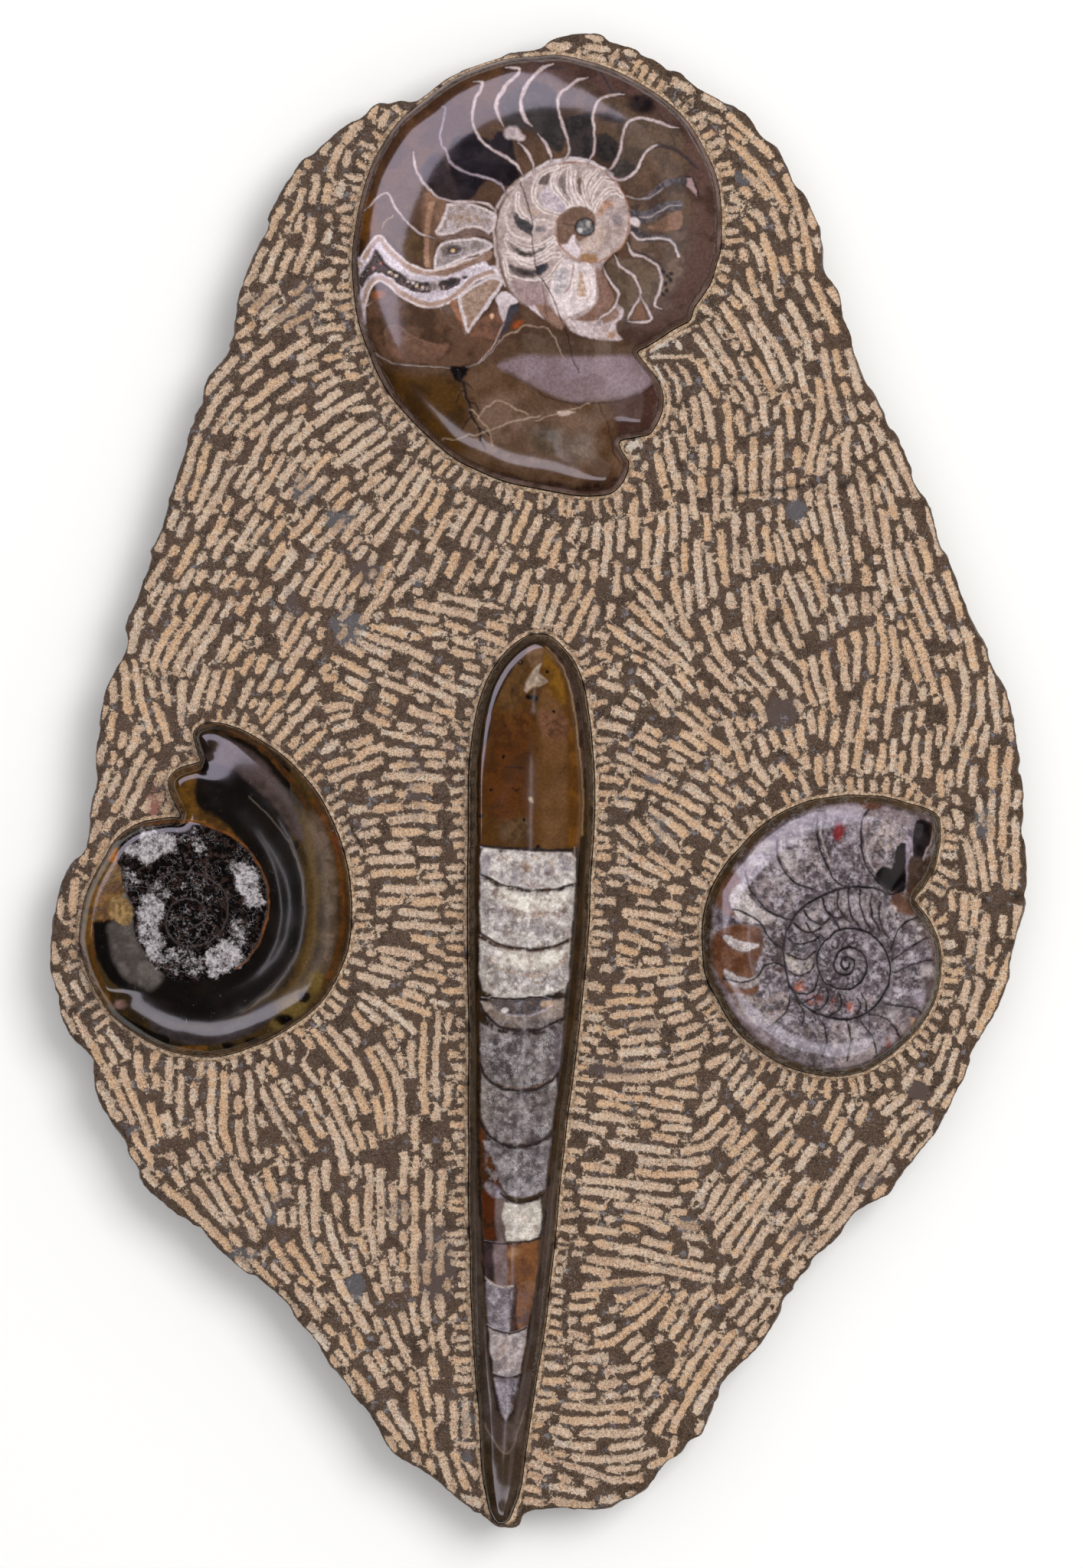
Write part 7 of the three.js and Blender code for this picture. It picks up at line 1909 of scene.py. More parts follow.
    # spiral and septa
    dark = (22, 17, 18)
    spiral = [(1179, 1157), (1161, 1168), (1142, 1160), (1116, 1158), (1090, 1162), (1069, 1170), (1048, 1183), (1034, 1199), (1025, 1218), (1021, 1239),
              (1023, 1260), (1027, 1281), (1037, 1299), (1053, 1315), (1071, 1324), (1090, 1329), (1105, 1329), (1121, 1325), (1137, 1316), (1150, 1299),
              (1158, 1281), (1160, 1262), (1155, 1244), (1145, 1228), (1132, 1218), (1116, 1212), (1098, 1212), (1084, 1219), (1071, 1233), (1065, 1249),
              (1066, 1265), (1074, 1281), (1087, 1288), (1100, 1291), (1116, 1286), (1126, 1273), (1129, 1260), (1125, 1246), (1116, 1239), (1104, 1236),
              (1094, 1241), (1087, 1254), (1089, 1265), (1097, 1271), (1107, 1270), (1113, 1262), (1112, 1253), (1105, 1248),
              (1098, 1251), (1096, 1258), (1100, 1264), (1106, 1262), (1107, 1257)]
    line(a, spiral, (66, 58, 64), 8, soft=5, strength=0.42)
    line(a, spiral, dark, 3.3, (40, 32, 33), strength=0.98, soft=0.9, relief=-0.05, calcite=0.0)
    blob(a, 1105, 1257, 3.4, 3.4, (40, 32, 30), soft=0.4)
    for q in ([(1013, 1099), (1013, 1115), (1021, 1136), (1037, 1152), (1058, 1161)], [(1066, 1070), (1065, 1089), (1071, 1115), (1079, 1133), (1090, 1152), (1108, 1160)],
              [(1132, 1057), (1124, 1070), (1122, 1097), (1126, 1123), (1134, 1139), (1147, 1154), (1161, 1168)], [(1092, 1165), (1091, 1181), (1098, 1194), (1108, 1204)],
              [(1121, 1162), (1120, 1178), (1124, 1194), (1132, 1210)], [(1147, 1178), (1145, 1191), (1149, 1210), (1158, 1225)],
              [(1024, 1244), (1029, 1246), (1048, 1252), (1063, 1241)], [(1027, 1267), (1040, 1273), (1056, 1267), (1061, 1257)],
              [(1037, 1296), (1053, 1296), (1063, 1286), (1066, 1273)], [(1061, 1320), (1074, 1312), (1079, 1299), (1077, 1289)],
              [(1082, 1325), (1094, 1317), (1096, 1304), (1092, 1295)], [(1116, 1323), (1121, 1312), (1116, 1302)],
              [(1161, 1239), (1168, 1218), (1179, 1204), (1195, 1197)], [(1163, 1252), (1182, 1239), (1200, 1228), (1210, 1224)],
              [(1166, 1270), (1184, 1260), (1203, 1254), (1216, 1253)], [(1153, 1310), (1174, 1312), (1195, 1317), (1200, 1323)],
              [(1132, 1323), (1153, 1328), (1166, 1341), (1176, 1357)], [(1121, 1333), (1137, 1354), (1142, 1373)],
              [(1029, 1299), (1027, 1315), (1013, 1331), (1000, 1341)], [(1037, 1302), (1048, 1320), (1045, 1336)],
              [(1074, 1336), (1077, 1357), (1071, 1378)], [(1105, 1336), (1108, 1357), (1105, 1383)],
              [(1068, 1226), (1058, 1216), (1050, 1204)], [(1094, 1212), (1088, 1200), (1080, 1190)], [(1026, 1224), (1040, 1232), (1058, 1228), (1068, 1222)],
              [(1034, 1204), (1046, 1214), (1060, 1216), (1070, 1210)], [(1048, 1188), (1058, 1202), (1072, 1206), (1082, 1198)],
              [(1072, 1172), (1076, 1188), (1088, 1198), (1098, 1198)], [(1106, 1160), (1106, 1178), (1110, 1196), (1118, 1208)],
              [(1136, 1166), (1134, 1182), (1138, 1200), (1146, 1214)], [(1128, 1320), (1128, 1308), (1122, 1296)], [(1048, 1308), (1062, 1300), (1070, 1288)],
              [(1034, 1200), (1014, 1196), (996, 1184), (978, 1160), (972, 1138)], [(1023, 1240), (1004, 1226), (990, 1204), (972, 1192), (952, 1186)],
              [(1024, 1262), (1010, 1256), (996, 1262), (984, 1276), (966, 1282), (944, 1276)]):
        line(a, q, (70, 62, 67), 5, soft=4, strength=0.42)
        line(a, q, dark, 2.5, (48, 38, 39), strength=0.97, soft=0.9, calcite=0.0)
    for q in ([(1018, 1100), (1018, 1116), (1026, 1134), (1042, 1149)], [(1070, 1074), (1070, 1090), (1076, 1112), (1084, 1131)],
              [(1127, 1098), (1131, 1121), (1140, 1137)], [(1110, 1338), (1113, 1357), (1110, 1382)], [(1158, 1326), (1171, 1339), (1181, 1354)]):
        line(a, q, (186, 172, 166), 2.4, strength=0.55)
    for k_ in range(22):
        t = math.radians(k_ * 16.4 + 5)
        cx, cy = 1098, 1257
        line(a, [(cx + 22 * math.cos(t), cy + 21 * math.sin(t)), (cx + 28 * math.cos(t + 0.10), cy + 27 * math.sin(t + 0.10)), (cx + 33 * math.cos(t + 0.22), cy + 32 * math.sin(t + 0.22))],
             (44, 35, 36), 1.7, strength=0.85, calcite=0.0)
    # rim
    i = np.where(dist < 5.4)[0]
    a.lay(i, smooth(4.4, 2.2, dist[i]) * 0.6, a.tone(i, ink(84, 56, 34), ink(60, 42, 28), 18, 7), calcite=0.1)
    rim_band(a, dist, ink(46, 31, 8), ink(66, 47, 17), 2.3, 0.96)
    return a


# ---------------------------------------------------------------- the orthoceras
def draw_ortho(p, dist):
    a = Drawing(p, ink(47, 32, 12), 404)
    a.fleck[:] = 0.25
    yy = [r[0] for r in ORTHO]
    left = np.interp(p[:, 1], yy, [r[1] for r in ORTHO])
    right = np.interp(p[:, 1], yy, [r[2] for r in ORTHO])
    half_at = np.interp(np.maximum(p[:, 1], 935), yy, [(r[2] - r[1]) / 2 for r in ORTHO]) * UNIT
    high = 4.2 + 5.3 * np.clip((half_at - 5) / 16.5, 0, 1)
    t = np.clip(dist / np.maximum(half_at, 1.0), 0, 1)
    steep = np.clip(dist / np.minimum(4.6, 0.62 * half_at + 0.5), 0, 1)
    off = (p[:, 0] - (left + right) / 2) * UNIT
    z = TOP + 0.98 + (high - 0.98) * (0.90 * np.sqrt(np.clip(1 - (1 - steep) ** 2, 0, 1)) + 0.085 * (1 - (1 - t) ** 2)) \
        + 0.12 * np.exp(-(off / 4.0) ** 2) * steep
    a.height = lambda rise, shoulder, flat: z
    a.cloud(ink(64, 45, 19), 34, 0.6, 0.1)
    a.cloud(ink(38, 26, 12), 24, 0.6, 0.15, seed=4)
    # paler, greyer outer flanks towards the lower end: a painted mauve-grey reflection on the steep sides
    down = smooth(1380, 1640, p[:, 1])
    i = np.arange(len(p))
    painted_flank_reflection = smooth(7.0, 2.5, dist) * (0.12 + 0.60 * down)
    a.lay(i, painted_flank_reflection, a.tone(i, ink(88, 74, 70), ink(66, 54, 48), 30))
    L = lambda q, c1, c2=None, **m: chamber(a, q, c1, c2, **m)
    # the body chamber
    bullet = [(690, 846), (702, 844), (713, 846), (728, 864), (739, 888), (745, 914), (750, 945), (754, 978), (758, 1010), (759, 1050), (758, 1090),
              (754, 1107), (690, 1108), (625, 1104), (625, 1060), (627, 1000), (631, 976), (638, 957), (640, 932), (650, 908), (662, 884), (676, 862)]
    L(bullet, (74, 45, 11), (88, 55, 18), soft=2.5, size=26, smoothed=False, fleck=0.55)
    # lighter band down the right of the body: a painted reflection
    L([(702, 905), (722, 900), (738, 930), (741, 975), (740, 1040), (738, 1104), (705, 1106), (702, 1040), (704, 980)],
      (104, 70, 38), (92, 60, 28), soft=5, size=24, wild=True, fleck=0.5)
    L([(740, 930), (750, 960), (756, 1010), (757, 1060), (755, 1104), (742, 1106), (742, 1040), (744, 980)], (104, 64, 16), (84, 50, 12), soft=3, size=16)
    L([(648, 950), (690, 945), (694, 1000), (690, 1060), (640, 1072), (632, 1010), (636, 975)], (84, 45, 11), (68, 38, 12), soft=12, size=22, wild=True)
    L([(708, 850), (722, 862), (734, 888), (738, 918), (722, 912), (712, 884)], (124, 84, 22), (98, 64, 18), soft=4, size=14)
    L([(690, 848), (708, 848), (708, 868), (694, 872), (688, 862)], (118, 88, 64), (96, 70, 48), soft=4)
    L([(658, 884), (684, 856), (690, 880), (684, 912), (664, 932), (650, 920)], (94, 64, 32), (74, 50, 26), soft=5, size=12)
    L([(655, 1076), (690, 1070), (692, 1098), (660, 1100)], (92, 70, 46), (66, 46, 26), soft=7, size=7, strength=0.8)
    L([(640, 935), (690, 930), (696, 962), (660, 968), (640, 958)], (66, 36, 14), (92, 54, 20), soft=8, size=8, strength=0.75)
    # pinkish patch in that band: painted reflection
    L([(706, 930), (738, 936), (738, 966), (708, 960)], (118, 80, 60), (92, 60, 44), soft=6, size=8, strength=0.7)
    L([(707, 867), (703, 880), (709, 884), (716, 890), (704, 898), (697, 897), (687, 906), (684, 902), (689, 888), (697, 874)],
      (178, 158, 140), (150, 130, 112), soft=1.8, smoothed=False, size=8, fleck=0.0)
    L([(703, 884), (716, 890), (704, 898)], (120, 100, 84), (150, 130, 112), soft=1.2, smoothed=False, size=5)
    for bx, by, rx, ry in ((690, 911, 4.4, 3.2), (699, 912, 3.8, 4.6), (679, 866, 4.0, 3.4), (629, 1066, 2.6, 2.8), (685, 1071, 2.0, 2.6), (658, 989, 2.2, 3.0),
                           (723, 930, 2.2, 2.4), (642, 1032, 2.0, 2.2), (703, 1106, 2.6, 3.0), (714, 878, 2.0, 2.0)):
        blob(a, bx, by, rx, ry, (12, 10, 12), soft=0.4, wild=False)
    blob(a, 679, 866, 1.6, 1.4, (110, 80, 40), soft=0.5, wild=False)
    line(a, [(670, 1029), (674, 1033), (679, 1029)], (26, 15, 8), 2.0, strength=0.9)
    blob(a, 693, 1045, 3.0, 4.0, (176, 156, 132), soft=0.6)
    for q in ([(660, 1003), (674, 1001), (686, 1004)], [(682, 985), (690, 982), (696, 988)], [(712, 948), (722, 944), (732, 950)], [(716, 958), (724, 954), (734, 958)],
              [(668, 900), (667, 912), (671, 922)], [(730, 1012), (736, 1006), (740, 1000)]):
        line(a, q, (40, 26, 16), 1.6, strength=0.7, wild=True)
    edge = bullet[-1:] + bullet[:8]
    line(a, [(625, 1100), (626, 1000), (631, 976), (638, 957), (640, 932), (650, 908), (662, 884), (676, 862), (688, 848)], (30, 20, 10), 4.0, strength=0.8)
    line(a, [(713, 845), (730, 864), (741, 888), (747, 914), (752, 945), (756, 980), (760, 1012), (761, 1050), (760, 1090)], (150, 118, 80), 1.8, strength=0.8)
    line(a, [(716, 843), (734, 864), (746, 888), (752, 914), (757, 945), (761, 980), (764, 1012)], (74, 56, 54), 6.0, (52, 38, 32), strength=0.8)
    line(a, [(617, 1000), (618, 1060), (619, 1104)], (104, 90, 84), 2.0, strength=0.5)
    line(a, [(622, 985), (622, 1040), (622, 1104)], (122, 100, 76), 1.3, strength=0.6)
    # white crystalline chambers
    white, cream, grey = (216, 207, 203), (234, 226, 216), (152, 143, 152)
    L([(631, 1106), (690, 1111), (744, 1113), (751, 1121), (752, 1152), (730, 1158), (700, 1161), (668, 1157), (646, 1150), (629, 1140), (627, 1120)],
      white, (180, 168, 166), soft=1.8, size=10, smoothed=False, calcite=0.6, fleck=0.0)
    for bx, by, rx, ry in ((640, 1124, 10, 10), (664, 1146, 13, 10), (708, 1136, 16, 11), (739, 1130, 8, 12), (634, 1136, 5, 8)):
        blob(a, bx, by, rx, ry, grey, (170, 160, 164), seed=bx, soft=0.5, calcite=0.4)
    for bx, by, rx, ry in ((686, 1133, 6, 5), (722, 1127, 5, 5), (660, 1118, 6, 4), (698, 1122, 4, 3)):
        blob(a, bx, by, rx, ry, (150, 108, 78), (196, 170, 150), seed=bx, soft=0.6)
    L([(650, 1108), (657, 1120), (662, 1110)], (60, 44, 36), soft=1.6, smoothed=False)
    line(a, [(652, 1113), (662, 1121), (676, 1126)], (110, 88, 76), 1.8, strength=0.7)
    L([(628, 1146), (646, 1156), (668, 1163), (700, 1166), (730, 1163), (750, 1158), (749, 1190), (745, 1222), (730, 1231), (708, 1236), (682, 1236),
       (660, 1232), (642, 1226), (629, 1217), (627, 1180)], (196, 185, 180), (172, 160, 158), soft=1.8, size=11, smoothed=False, calcite=0.8, fleck=0.0)
    L([(650, 1160), (670, 1165), (700, 1168), (730, 1165), (742, 1164), (738, 1180), (716, 1188), (690, 1190), (668, 1184), (652, 1174)], cream, (206, 194, 184), soft=4, size=14, calcite=0.2)
    line(a, [(634, 1184), (650, 1188), (668, 1190), (690, 1195), (716, 1192), (738, 1184)], (138, 104, 82), 5.0, (186, 164, 148), strength=0.75, wild=True, patchy=0.4)
    L([(630, 1176), (652, 1182), (668, 1188), (660, 1198), (636, 1198)], (110, 96, 102), (160, 148, 148), soft=3, size=6, ragged=1.5)
    L([(640, 1206), (700, 1202), (736, 1206), (726, 1226), (690, 1231), (652, 1226)], (184, 174, 172), (158, 148, 150), soft=5, size=9, strength=0.8)
    L([(627, 1226), (644, 1234), (662, 1239), (690, 1242), (716, 1240), (744, 1230), (743, 1268), (740, 1286), (728, 1294), (700, 1299), (670, 1301), (645, 1299), (632, 1292), (626, 1270)],
      (194, 186, 178), (168, 158, 154), soft=1.8, size=10, smoothed=False, calcite=0.8, fleck=0.0)
    L([(646, 1238), (670, 1243), (700, 1244), (734, 1238), (730, 1256), (706, 1264), (680, 1264), (656, 1256)], cream, (210, 200, 190), soft=4, size=14, calcite=0.2)
    line(a, [(640, 1250), (656, 1262), (676, 1270), (700, 1273), (722, 1264), (738, 1252)], (140, 102, 76), 5.5, (190, 168, 150), strength=0.8, wild=True, patchy=0.35)
    L([(644, 1266), (670, 1274), (700, 1278), (736, 1262), (738, 1282), (700, 1290), (656, 1288)], (146, 136, 138), (180, 170, 168), soft=4, size=7, strength=0.85)
    L([(640, 1286), (680, 1294), (730, 1286), (716, 1297), (680, 1300), (646, 1298)], (204, 196, 188), (180, 170, 164), soft=3, size=9)
    # the gap and the first grey chamber with its hollow
    L([(627, 1300), (650, 1304), (690, 1303), (739, 1291), (738, 1302), (700, 1307), (640, 1308), (628, 1306)], (34, 25, 20), (54, 40, 32), soft=1.6, smoothed=False, relief=-0.12)
    L([(628, 1307), (650, 1306), (700, 1306), (737, 1303), (735, 1326), (726, 1333), (705, 1340), (680, 1342), (660, 1340), (646, 1333), (632, 1318)],
      (152, 137, 127), (122, 106, 96), soft=1.8, size=8, smoothed=False, calcite=0.5)
    L([(640, 1303), (670, 1302), (712, 1302), (722, 1308), (712, 1318), (698, 1323), (672, 1325), (650, 1318)], (32, 22, 17), (66, 46, 32), soft=2.5, size=6, ragged=2, relief=-0.5, rough=0.4)
    blob(a, 716, 1310, 9, 5, (160, 122, 88), (196, 170, 140), seed=5)
    blob(a, 661, 1318, 4, 4, (206, 196, 190), seed=6)
    # grey chambers
    L([(627, 1334), (645, 1345), (664, 1350), (690, 1351), (714, 1347), (735, 1333), (734, 1360), (730, 1390), (726, 1402), (712, 1412), (690, 1418), (664, 1418),
       (646, 1411), (634, 1400), (628, 1384)], (132, 122, 120), (106, 96, 94), soft=1.8, size=11, smoothed=False, calcite=0.9)
    L([(640, 1348), (700, 1354), (732, 1342), (732, 1360), (690, 1366), (640, 1362)], (92, 82, 80), (112, 102, 100), soft=5, size=8, strength=0.8)
    L([(639, 1366), (664, 1364), (668, 1390), (660, 1404), (642, 1396)], (70, 62, 62), (102, 92, 90), soft=4, size=7)
    L([(666, 1364), (704, 1362), (712, 1386), (700, 1404), (674, 1402)], (166, 156, 154), (132, 122, 120), soft=5, size=7)
    L([(716, 1350), (734, 1346), (732, 1390), (718, 1404)], (120, 108, 116), (96, 84, 90), soft=3, size=8)
    L([(630, 1400), (648, 1419), (666, 1425), (690, 1426), (712, 1419), (727, 1406), (725, 1440), (720, 1472), (708, 1484), (690, 1491), (662, 1490), (646, 1483), (634, 1472), (628, 1448)],
      (144, 132, 128), (116, 104, 100), soft=1.8, size=11, smoothed=False, calcite=0.9)
    L([(636, 1426), (648, 1428), (650, 1446), (638, 1444)], (88, 68, 56), (112, 92, 80), soft=4, size=6)
    L([(656, 1434), (700, 1430), (714, 1446), (690, 1458), (660, 1452)], (164, 152, 150), (138, 126, 124), soft=5, size=7)
    L([(646, 1462), (712, 1456), (712, 1478), (680, 1488), (652, 1480)], (118, 106, 110), (140, 128, 130), soft=5, size=7, strength=0.8)
    blob(a, 669, 1452, 2.6, 2.6, (225, 218, 214), soft=0.4)
    L([(627, 1470), (640, 1490), (650, 1510), (650, 1530), (656, 1556), (640, 1562), (630, 1550), (627, 1510)], (86, 46, 16), (62, 36, 14), soft=2, size=10)
    L([(631, 1486), (648, 1492), (668, 1499), (690, 1498), (708, 1492), (720, 1484), (715, 1519), (712, 1548), (700, 1557), (682, 1562), (664, 1558), (656, 1548), (648, 1527), (643, 1510), (634, 1498)],
      (150, 141, 146), (124, 113, 118), soft=1.8, size=11, smoothed=False, calcite=0.9)
    blob(a, 684, 1520, 20, 16, (172, 162, 164), (150, 140, 144), seed=7, soft=0.7)
    # brown strip and the white block
    L([(630, 1550), (650, 1562), (660, 1568), (658, 1590), (660, 1616), (634, 1618), (630, 1590)], (78, 34, 8), (56, 30, 12), soft=1.8, smoothed=False, size=12, calcite=0.0)
    L([(648, 1562), (660, 1566), (659, 1616), (650, 1617), (647, 1590)], (116, 97, 94), (96, 80, 78), soft=2.5)
    L([(634, 1541), (650, 1546), (660, 1560), (646, 1562), (636, 1553)], (150, 138, 150), (112, 98, 104), soft=2.5, size=7)
    L([(660, 1568), (684, 1571), (706, 1564), (707, 1600), (703, 1614), (682, 1618), (661, 1618), (660, 1600), (656, 1588)], (212, 203, 193), (186, 174, 164), soft=1.8, size=10, smoothed=False, calcite=0.7)
    blob(a, 684, 1589, 5, 5, (176, 156, 140), (200, 186, 174), seed=9, soft=0.6)
    # brown and grey blocks
    L([(634, 1621), (656, 1623), (705, 1617), (703, 1660), (700, 1674), (676, 1680), (650, 1676), (636, 1668)], (122, 78, 44), (92, 56, 32), soft=1.8, smoothed=False, size=12, calcite=0.0, fleck=0.4)
    L([(634, 1622), (646, 1622), (646, 1670), (636, 1666)], (62, 47, 52), (44, 34, 36), soft=2)
    L([(645, 1622), (661, 1622), (662, 1674), (648, 1674)], (132, 114, 114), (108, 90, 90), soft=2.5)
    blob(a, 670, 1634, 7, 6, (150, 108, 74), seed=2, soft=0.6)
    blob(a, 688, 1656, 8, 7, (96, 62, 40), seed=3, soft=0.6)
    L([(635, 1672), (652, 1679), (668, 1680), (666, 1732), (650, 1733), (638, 1726)], (146, 137, 146), (116, 106, 114), soft=2, size=8, calcite=0.9)
    L([(665, 1679), (677, 1680), (676, 1734), (666, 1735)], (50, 31, 24), (70, 44, 34), soft=2)
    L([(677, 1678), (700, 1674), (694, 1712), (689, 1730), (677, 1733)], (126, 87, 62), (98, 66, 48), soft=2, size=10)
    line(a, [(633, 1665), (646, 1675), (658, 1678), (670, 1676)], (186, 172, 166), 2.2, strength=0.8)
    L([(638, 1731), (648, 1737), (664, 1740), (688, 1733), (684, 1760), (679, 1789), (661, 1794), (645, 1790), (641, 1762)], (188, 175, 172), (158, 142, 142), soft=1.8, size=10, smoothed=False, calcite=0.8)
    blob(a, 661, 1764, 10, 14, (168, 148, 142), (184, 168, 164), seed=4, soft=0.8)
    L([(645, 1797), (661, 1799), (679, 1796), (674, 1820), (668, 1838), (660, 1852), (654, 1838), (648, 1818)], (154, 144, 153), (122, 112, 122), soft=2, size=9, calcite=0.8, smoothed=False)
    line(a, [(671, 1804), (669, 1822), (664, 1836)], (54, 44, 50), 3.0, strength=0.75)
    inner = smooth(4, 9, dist) * smooth(1324, 1336, p[:, 1]) * smooth(1556, 1546, p[:, 1])
    a.cloud(ink(66, 57, 60), 8, 0.75, 0.10, seed=21, mask=inner)
    a.cloud(ink(190, 180, 180), 6, 0.55, 0.35, seed=22, mask=inner)
    a.ink = a.ink * (1 - 0.30 * inner)[:, None]
    upper = smooth(4, 9, dist) * smooth(1108, 1116, p[:, 1]) * smooth(1300, 1292, p[:, 1])
    a.cloud(ink(132, 104, 86), 7, 0.5, 0.34, seed=23, mask=upper)
    a.cloud(ink(84, 66, 60), 5, 0.5, 0.46, seed=24, mask=upper)
    a.cloud(ink(238, 230, 224), 6, 0.6, 0.30, seed=25, mask=upper)
    lower = smooth(4, 9, dist) * smooth(1676, 1690, p[:, 1]) * smooth(1850, 1838, p[:, 1])
    a.cloud(ink(96, 84, 92), 6, 0.6, 0.25, seed=26, mask=lower)
    # septa
    for q, w_ in (([(628, 1104), (660, 1107), (700, 1110), (740, 1110), (755, 1108)], 4.0),
                  ([(628, 1141), (650, 1152), (670, 1158), (690, 1162), (710, 1162), (730, 1159), (751, 1153)], 2.6),
                  ([(627, 1218), (644, 1228), (662, 1235), (682, 1238), (708, 1238), (734, 1231), (746, 1225)], 2.8),
                  ([(626, 1311), (639, 1327), (649, 1337), (665, 1343), (682, 1345), (708, 1342), (729, 1332), (737, 1326)], 4.2),
                  ([(627, 1388), (634, 1404), (647, 1415), (662, 1421), (682, 1423), (703, 1420), (721, 1409), (728, 1401)], 4.0),
                  ([(627, 1463), (635, 1478), (647, 1487), (662, 1494), (677, 1496), (693, 1494), (708, 1488), (721, 1478)], 4.0),
                  ([(654, 1556), (661, 1563), (670, 1567), (682, 1568), (700, 1563), (711, 1554)], 3.0),
                  ([(632, 1619), (655, 1621), (682, 1620), (706, 1614)], 2.4),
                  ([(636, 1728), (646, 1734), (661, 1737), (676, 1736), (689, 1730)], 2.0),
                  ([(645, 1792), (661, 1796), (680, 1791)], 2.4)):
        line(a, q, (30, 22, 21), w_, (48, 36, 34), strength=0.96, relief=-0.07, calcite=0.0)
    line(a, [(630, 1221), (646, 1231), (664, 1238), (684, 1241), (708, 1241), (732, 1235)], (120, 92, 80), 1.4, strength=0.6)
    line(a, [(648, 1411), (664, 1417), (684, 1419), (704, 1416), (720, 1406)], (126, 92, 76), 1.4, strength=0.6)
    # dark seams along both sides of the chambers
    line(a, [(625, 1104), (624, 1160), (624, 1240), (624, 1310), (625, 1400), (625, 1480), (627, 1560), (630, 1620), (633, 1680), (636, 1730), (643, 1795), (652, 1840)],
         (24, 15, 9), 4.0, (52, 34, 18), strength=0.85)
    line(a, [(755, 1110), (753, 1160), (748, 1220), (743, 1280), (738, 1330), (732, 1390), (726, 1440), (720, 1490), (714, 1550), (708, 1610), (702, 1670), (692, 1730), (682, 1790), (668, 1836)],
         (26, 17, 11), 4.5, (56, 38, 22), strength=0.85)
    line(a, [(750, 1106), (749, 1160), (744, 1220), (741, 1280)], (176, 160, 150), 1.6, strength=0.55, patchy=0.4)
    # the tip: olive flanks and a fine pale V where the polish turns
    L([(660, 1854), (668, 1850), (690, 1836), (684, 1880), (672, 1890), (661, 1894), (648, 1884), (632, 1850), (650, 1846)], (88, 74, 68), (70, 56, 50), soft=4, size=16, strength=0.8)
    line(a, [(631, 1852), (640, 1870), (649, 1885), (661, 1895), (670, 1886), (678, 1862), (686, 1836)], (140, 122, 110), 1.6, strength=0.7)
    L([(666, 1896), (678, 1880), (680, 1930), (670, 1960), (664, 1950)], (80, 66, 56), (62, 48, 36), soft=4, strength=0.8)
    L([(633, 1880), (650, 1896), (650, 1960), (640, 1960), (632, 1920)], (58, 44, 24), (42, 30, 16), soft=4, strength=0.8)
    for k in range(10):
        yk = 1120 + k * 78
        blob(a, 617 + 2 * math.sin(k * 2.1), yk, 2.2, 9, (96, 84, 78), seed=k, soft=0.8, strength=0.5)
    rim_band(a, dist, ink(44, 33, 18), ink(70, 56, 42), 1.5, 0.9)
    return a


build_fossil("large_ammonite", 1.64, 10.5, 20.0, draw_large, fossil_material("polished_large_ammonite", veil=0.2))
build_fossil("left_goniatite", 1.3, 9.5, 16.0, draw_left, fossil_material("polished_black_goniatite", frosted=True))
build_fossil("right_goniatite", 1.25, 9.5, 15.0, draw_right, fossil_material("polished_grey_goniatite", crystal_size=1500, veil=0.3, speck=0.55))
build_fossil("orthoceras", 1.5, 9.5, 9.0, draw_ortho, fossil_material("polished_orthoceras", crystal_size=560, veil=0.5, speck=0.3))


# ---------------------------------------------------------------- floor, light, camera
def floor():
    n, reach = 24, 2.6
    g = np.linspace(-reach, reach, n + 1)
    x, y = np.meshgrid(g, g, indexing="ij")
    co = np.stack([x.ravel(), y.ravel(), np.full(x.size, -0.0004)], 1)
    idx = np.arange((n + 1) ** 2).reshape(n + 1, n + 1)
    a, b, c, d = idx[:-1, :-1].ravel(), idx[1:, :-1].ravel(), idx[1:, 1:].ravel(), idx[:-1, 1:].ravel()
    ob = make_mesh("studio_floor", co, np.vstack([np.stack([a, b, c], 1), np.stack([a, c, d], 1)]))
    k = Mat("pale_paper")
    soft = k.noise(3.0, 2)
    colour = k.mix(soft, (0.90, 0.90, 0.895), (0.93, 0.93, 0.925))
    ob.data.materials.append(k.shader(colour, k.span(k.noise(400, 2), 0.3, 0.7, 0.75, 0.85),
                                      k.bump(k.noise(1200, 2), 0.00005, 0.3), Specular_IOR_Level=0.2))
    return ob


floor()


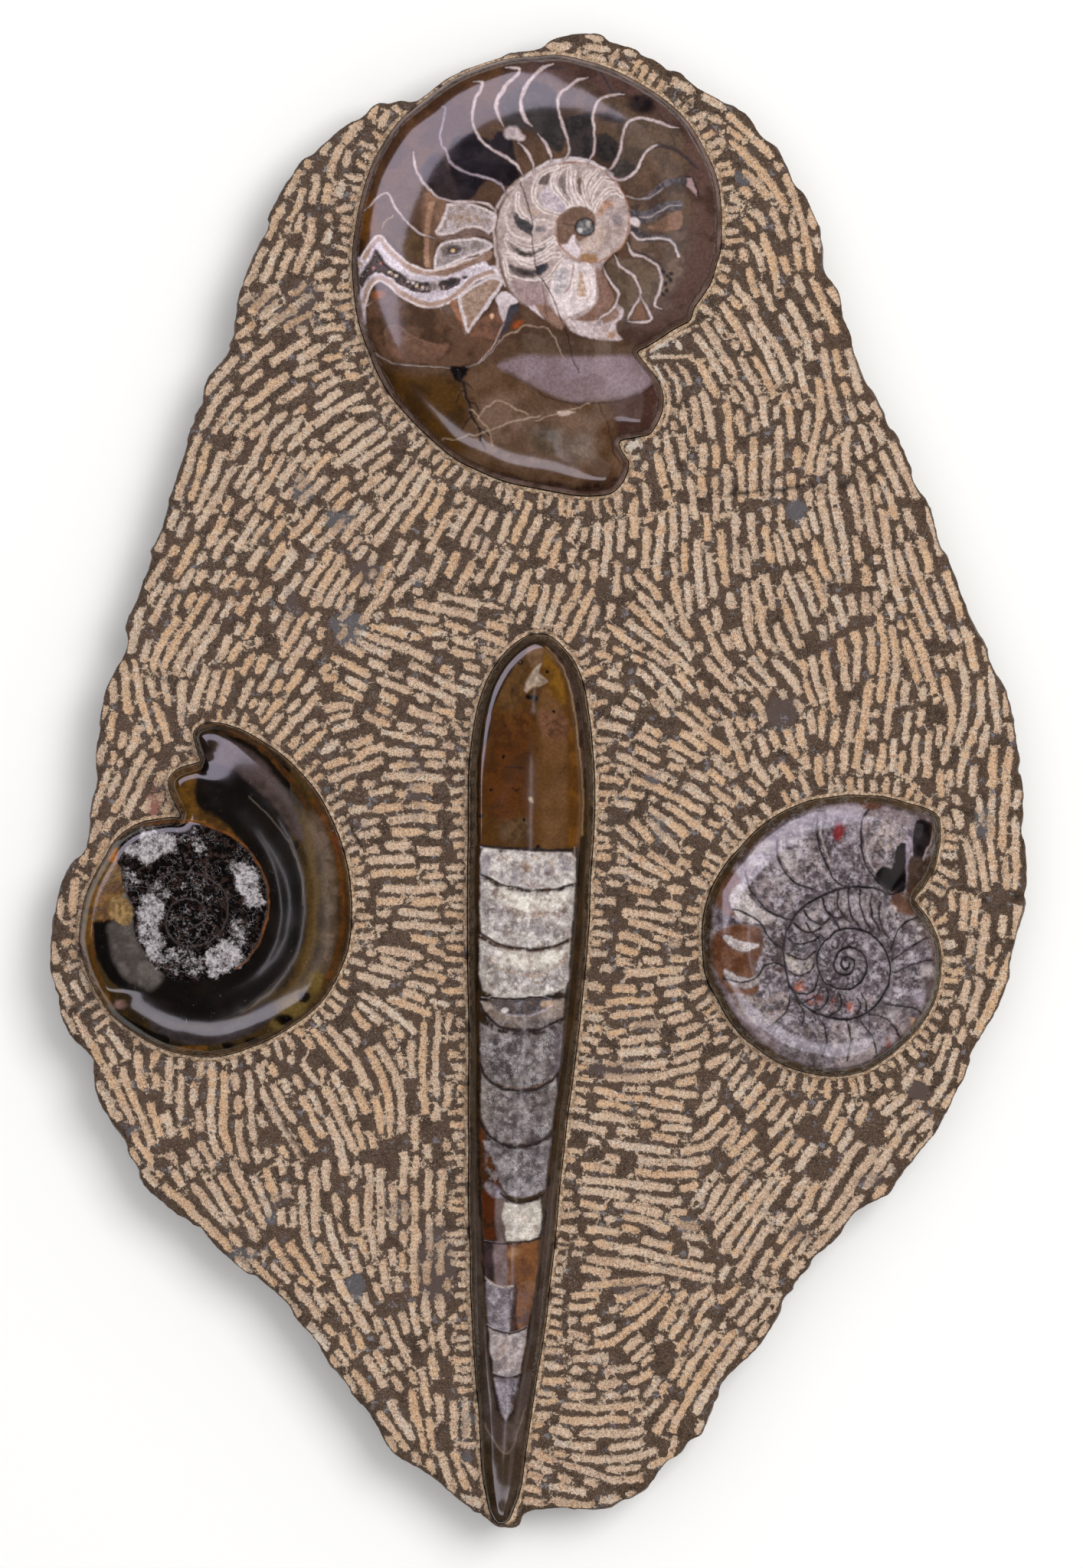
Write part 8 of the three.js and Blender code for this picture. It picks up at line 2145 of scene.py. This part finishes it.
def panel(name, azimuth, elevation, distance, width, height, radiance, colour=(1, 1, 1), shine=False, aim=(0, 0, 0.02)):
    """A soft panel light. The azimuth runs anticlockwise from +X. The lamps light the
    stone; the others, with shine, are white boards that only its polish shows."""
    light = bpy.data.lights.new(name, "AREA")
    light.shape, light.size, light.size_y = "RECTANGLE", width, height
    light.energy = radiance * math.pi * width * height
    light.color = colour
    ob = bpy.data.objects.new(name, light)
    bpy.context.scene.collection.objects.link(ob)
    a, e = math.radians(azimuth), math.radians(elevation)
    way = Vector((math.cos(a) * math.cos(e), math.sin(a) * math.cos(e), math.sin(e)))
    ob.location = Vector(aim) + way * distance
    ob.rotation_euler = (-way).to_track_quat("-Z", "Y").to_euler()
    ob.visible_camera = False
    ob.visible_diffuse = not shine
    ob.visible_glossy = shine
    return ob


panel("lamp_east", 32, 62, 2.6, 1.3, 1.3, 7.0, (1.0, 0.99, 0.965))
panel("lamp_top", 60, 84, 2.6, 2.2, 2.2, 0.75)
panel("board_north_west", 126, 54, 1.5, 1.5, 1.05, 4.2, (0.94, 0.85, 1.05), shine=True)
panel("board_south", -98, 60, 1.5, 1.5, 0.38, 3.8, (0.96, 0.90, 1.02), shine=True)
panel("board_east", 2, 70, 1.5, 1.3, 0.52, 0.45, (1.0, 0.93, 0.93), shine=True)
panel("board_top", -90, 82.5, 1.61, 0.034, 0.62, 4.5, (0.98, 0.92, 1.0), shine=True)

world = bpy.data.worlds.new("studio")
world.use_nodes = True
world.node_tree.nodes["Background"].inputs["Color"].default_value = (1.0, 1.0, 1.0, 1.0)
world.node_tree.nodes["Background"].inputs["Strength"].default_value = 0.58
world.cycles_visibility.glossy = False
bpy.context.scene.world = world

DISTANCE = 2.2
cam = bpy.data.cameras.new("camera")
cam.sensor_width = 36.0
cam.lens = 36.0 * DISTANCE / (2048 * UNIT / 1000)
cam.clip_start, cam.clip_end = 0.05, 20
eye = bpy.data.objects.new("camera", cam)
bpy.context.scene.collection.objects.link(eye)
eye.location = ((707 - MID_X) * UNIT / 1000, (MID_Y - 1024) * UNIT / 1000, 0.025 + DISTANCE)
eye.rotation_euler = (0, 0, 0)
bpy.context.scene.camera = eye
bpy.context.scene.view_settings.view_transform = "Standard"
bpy.context.scene.view_settings.look = "None"
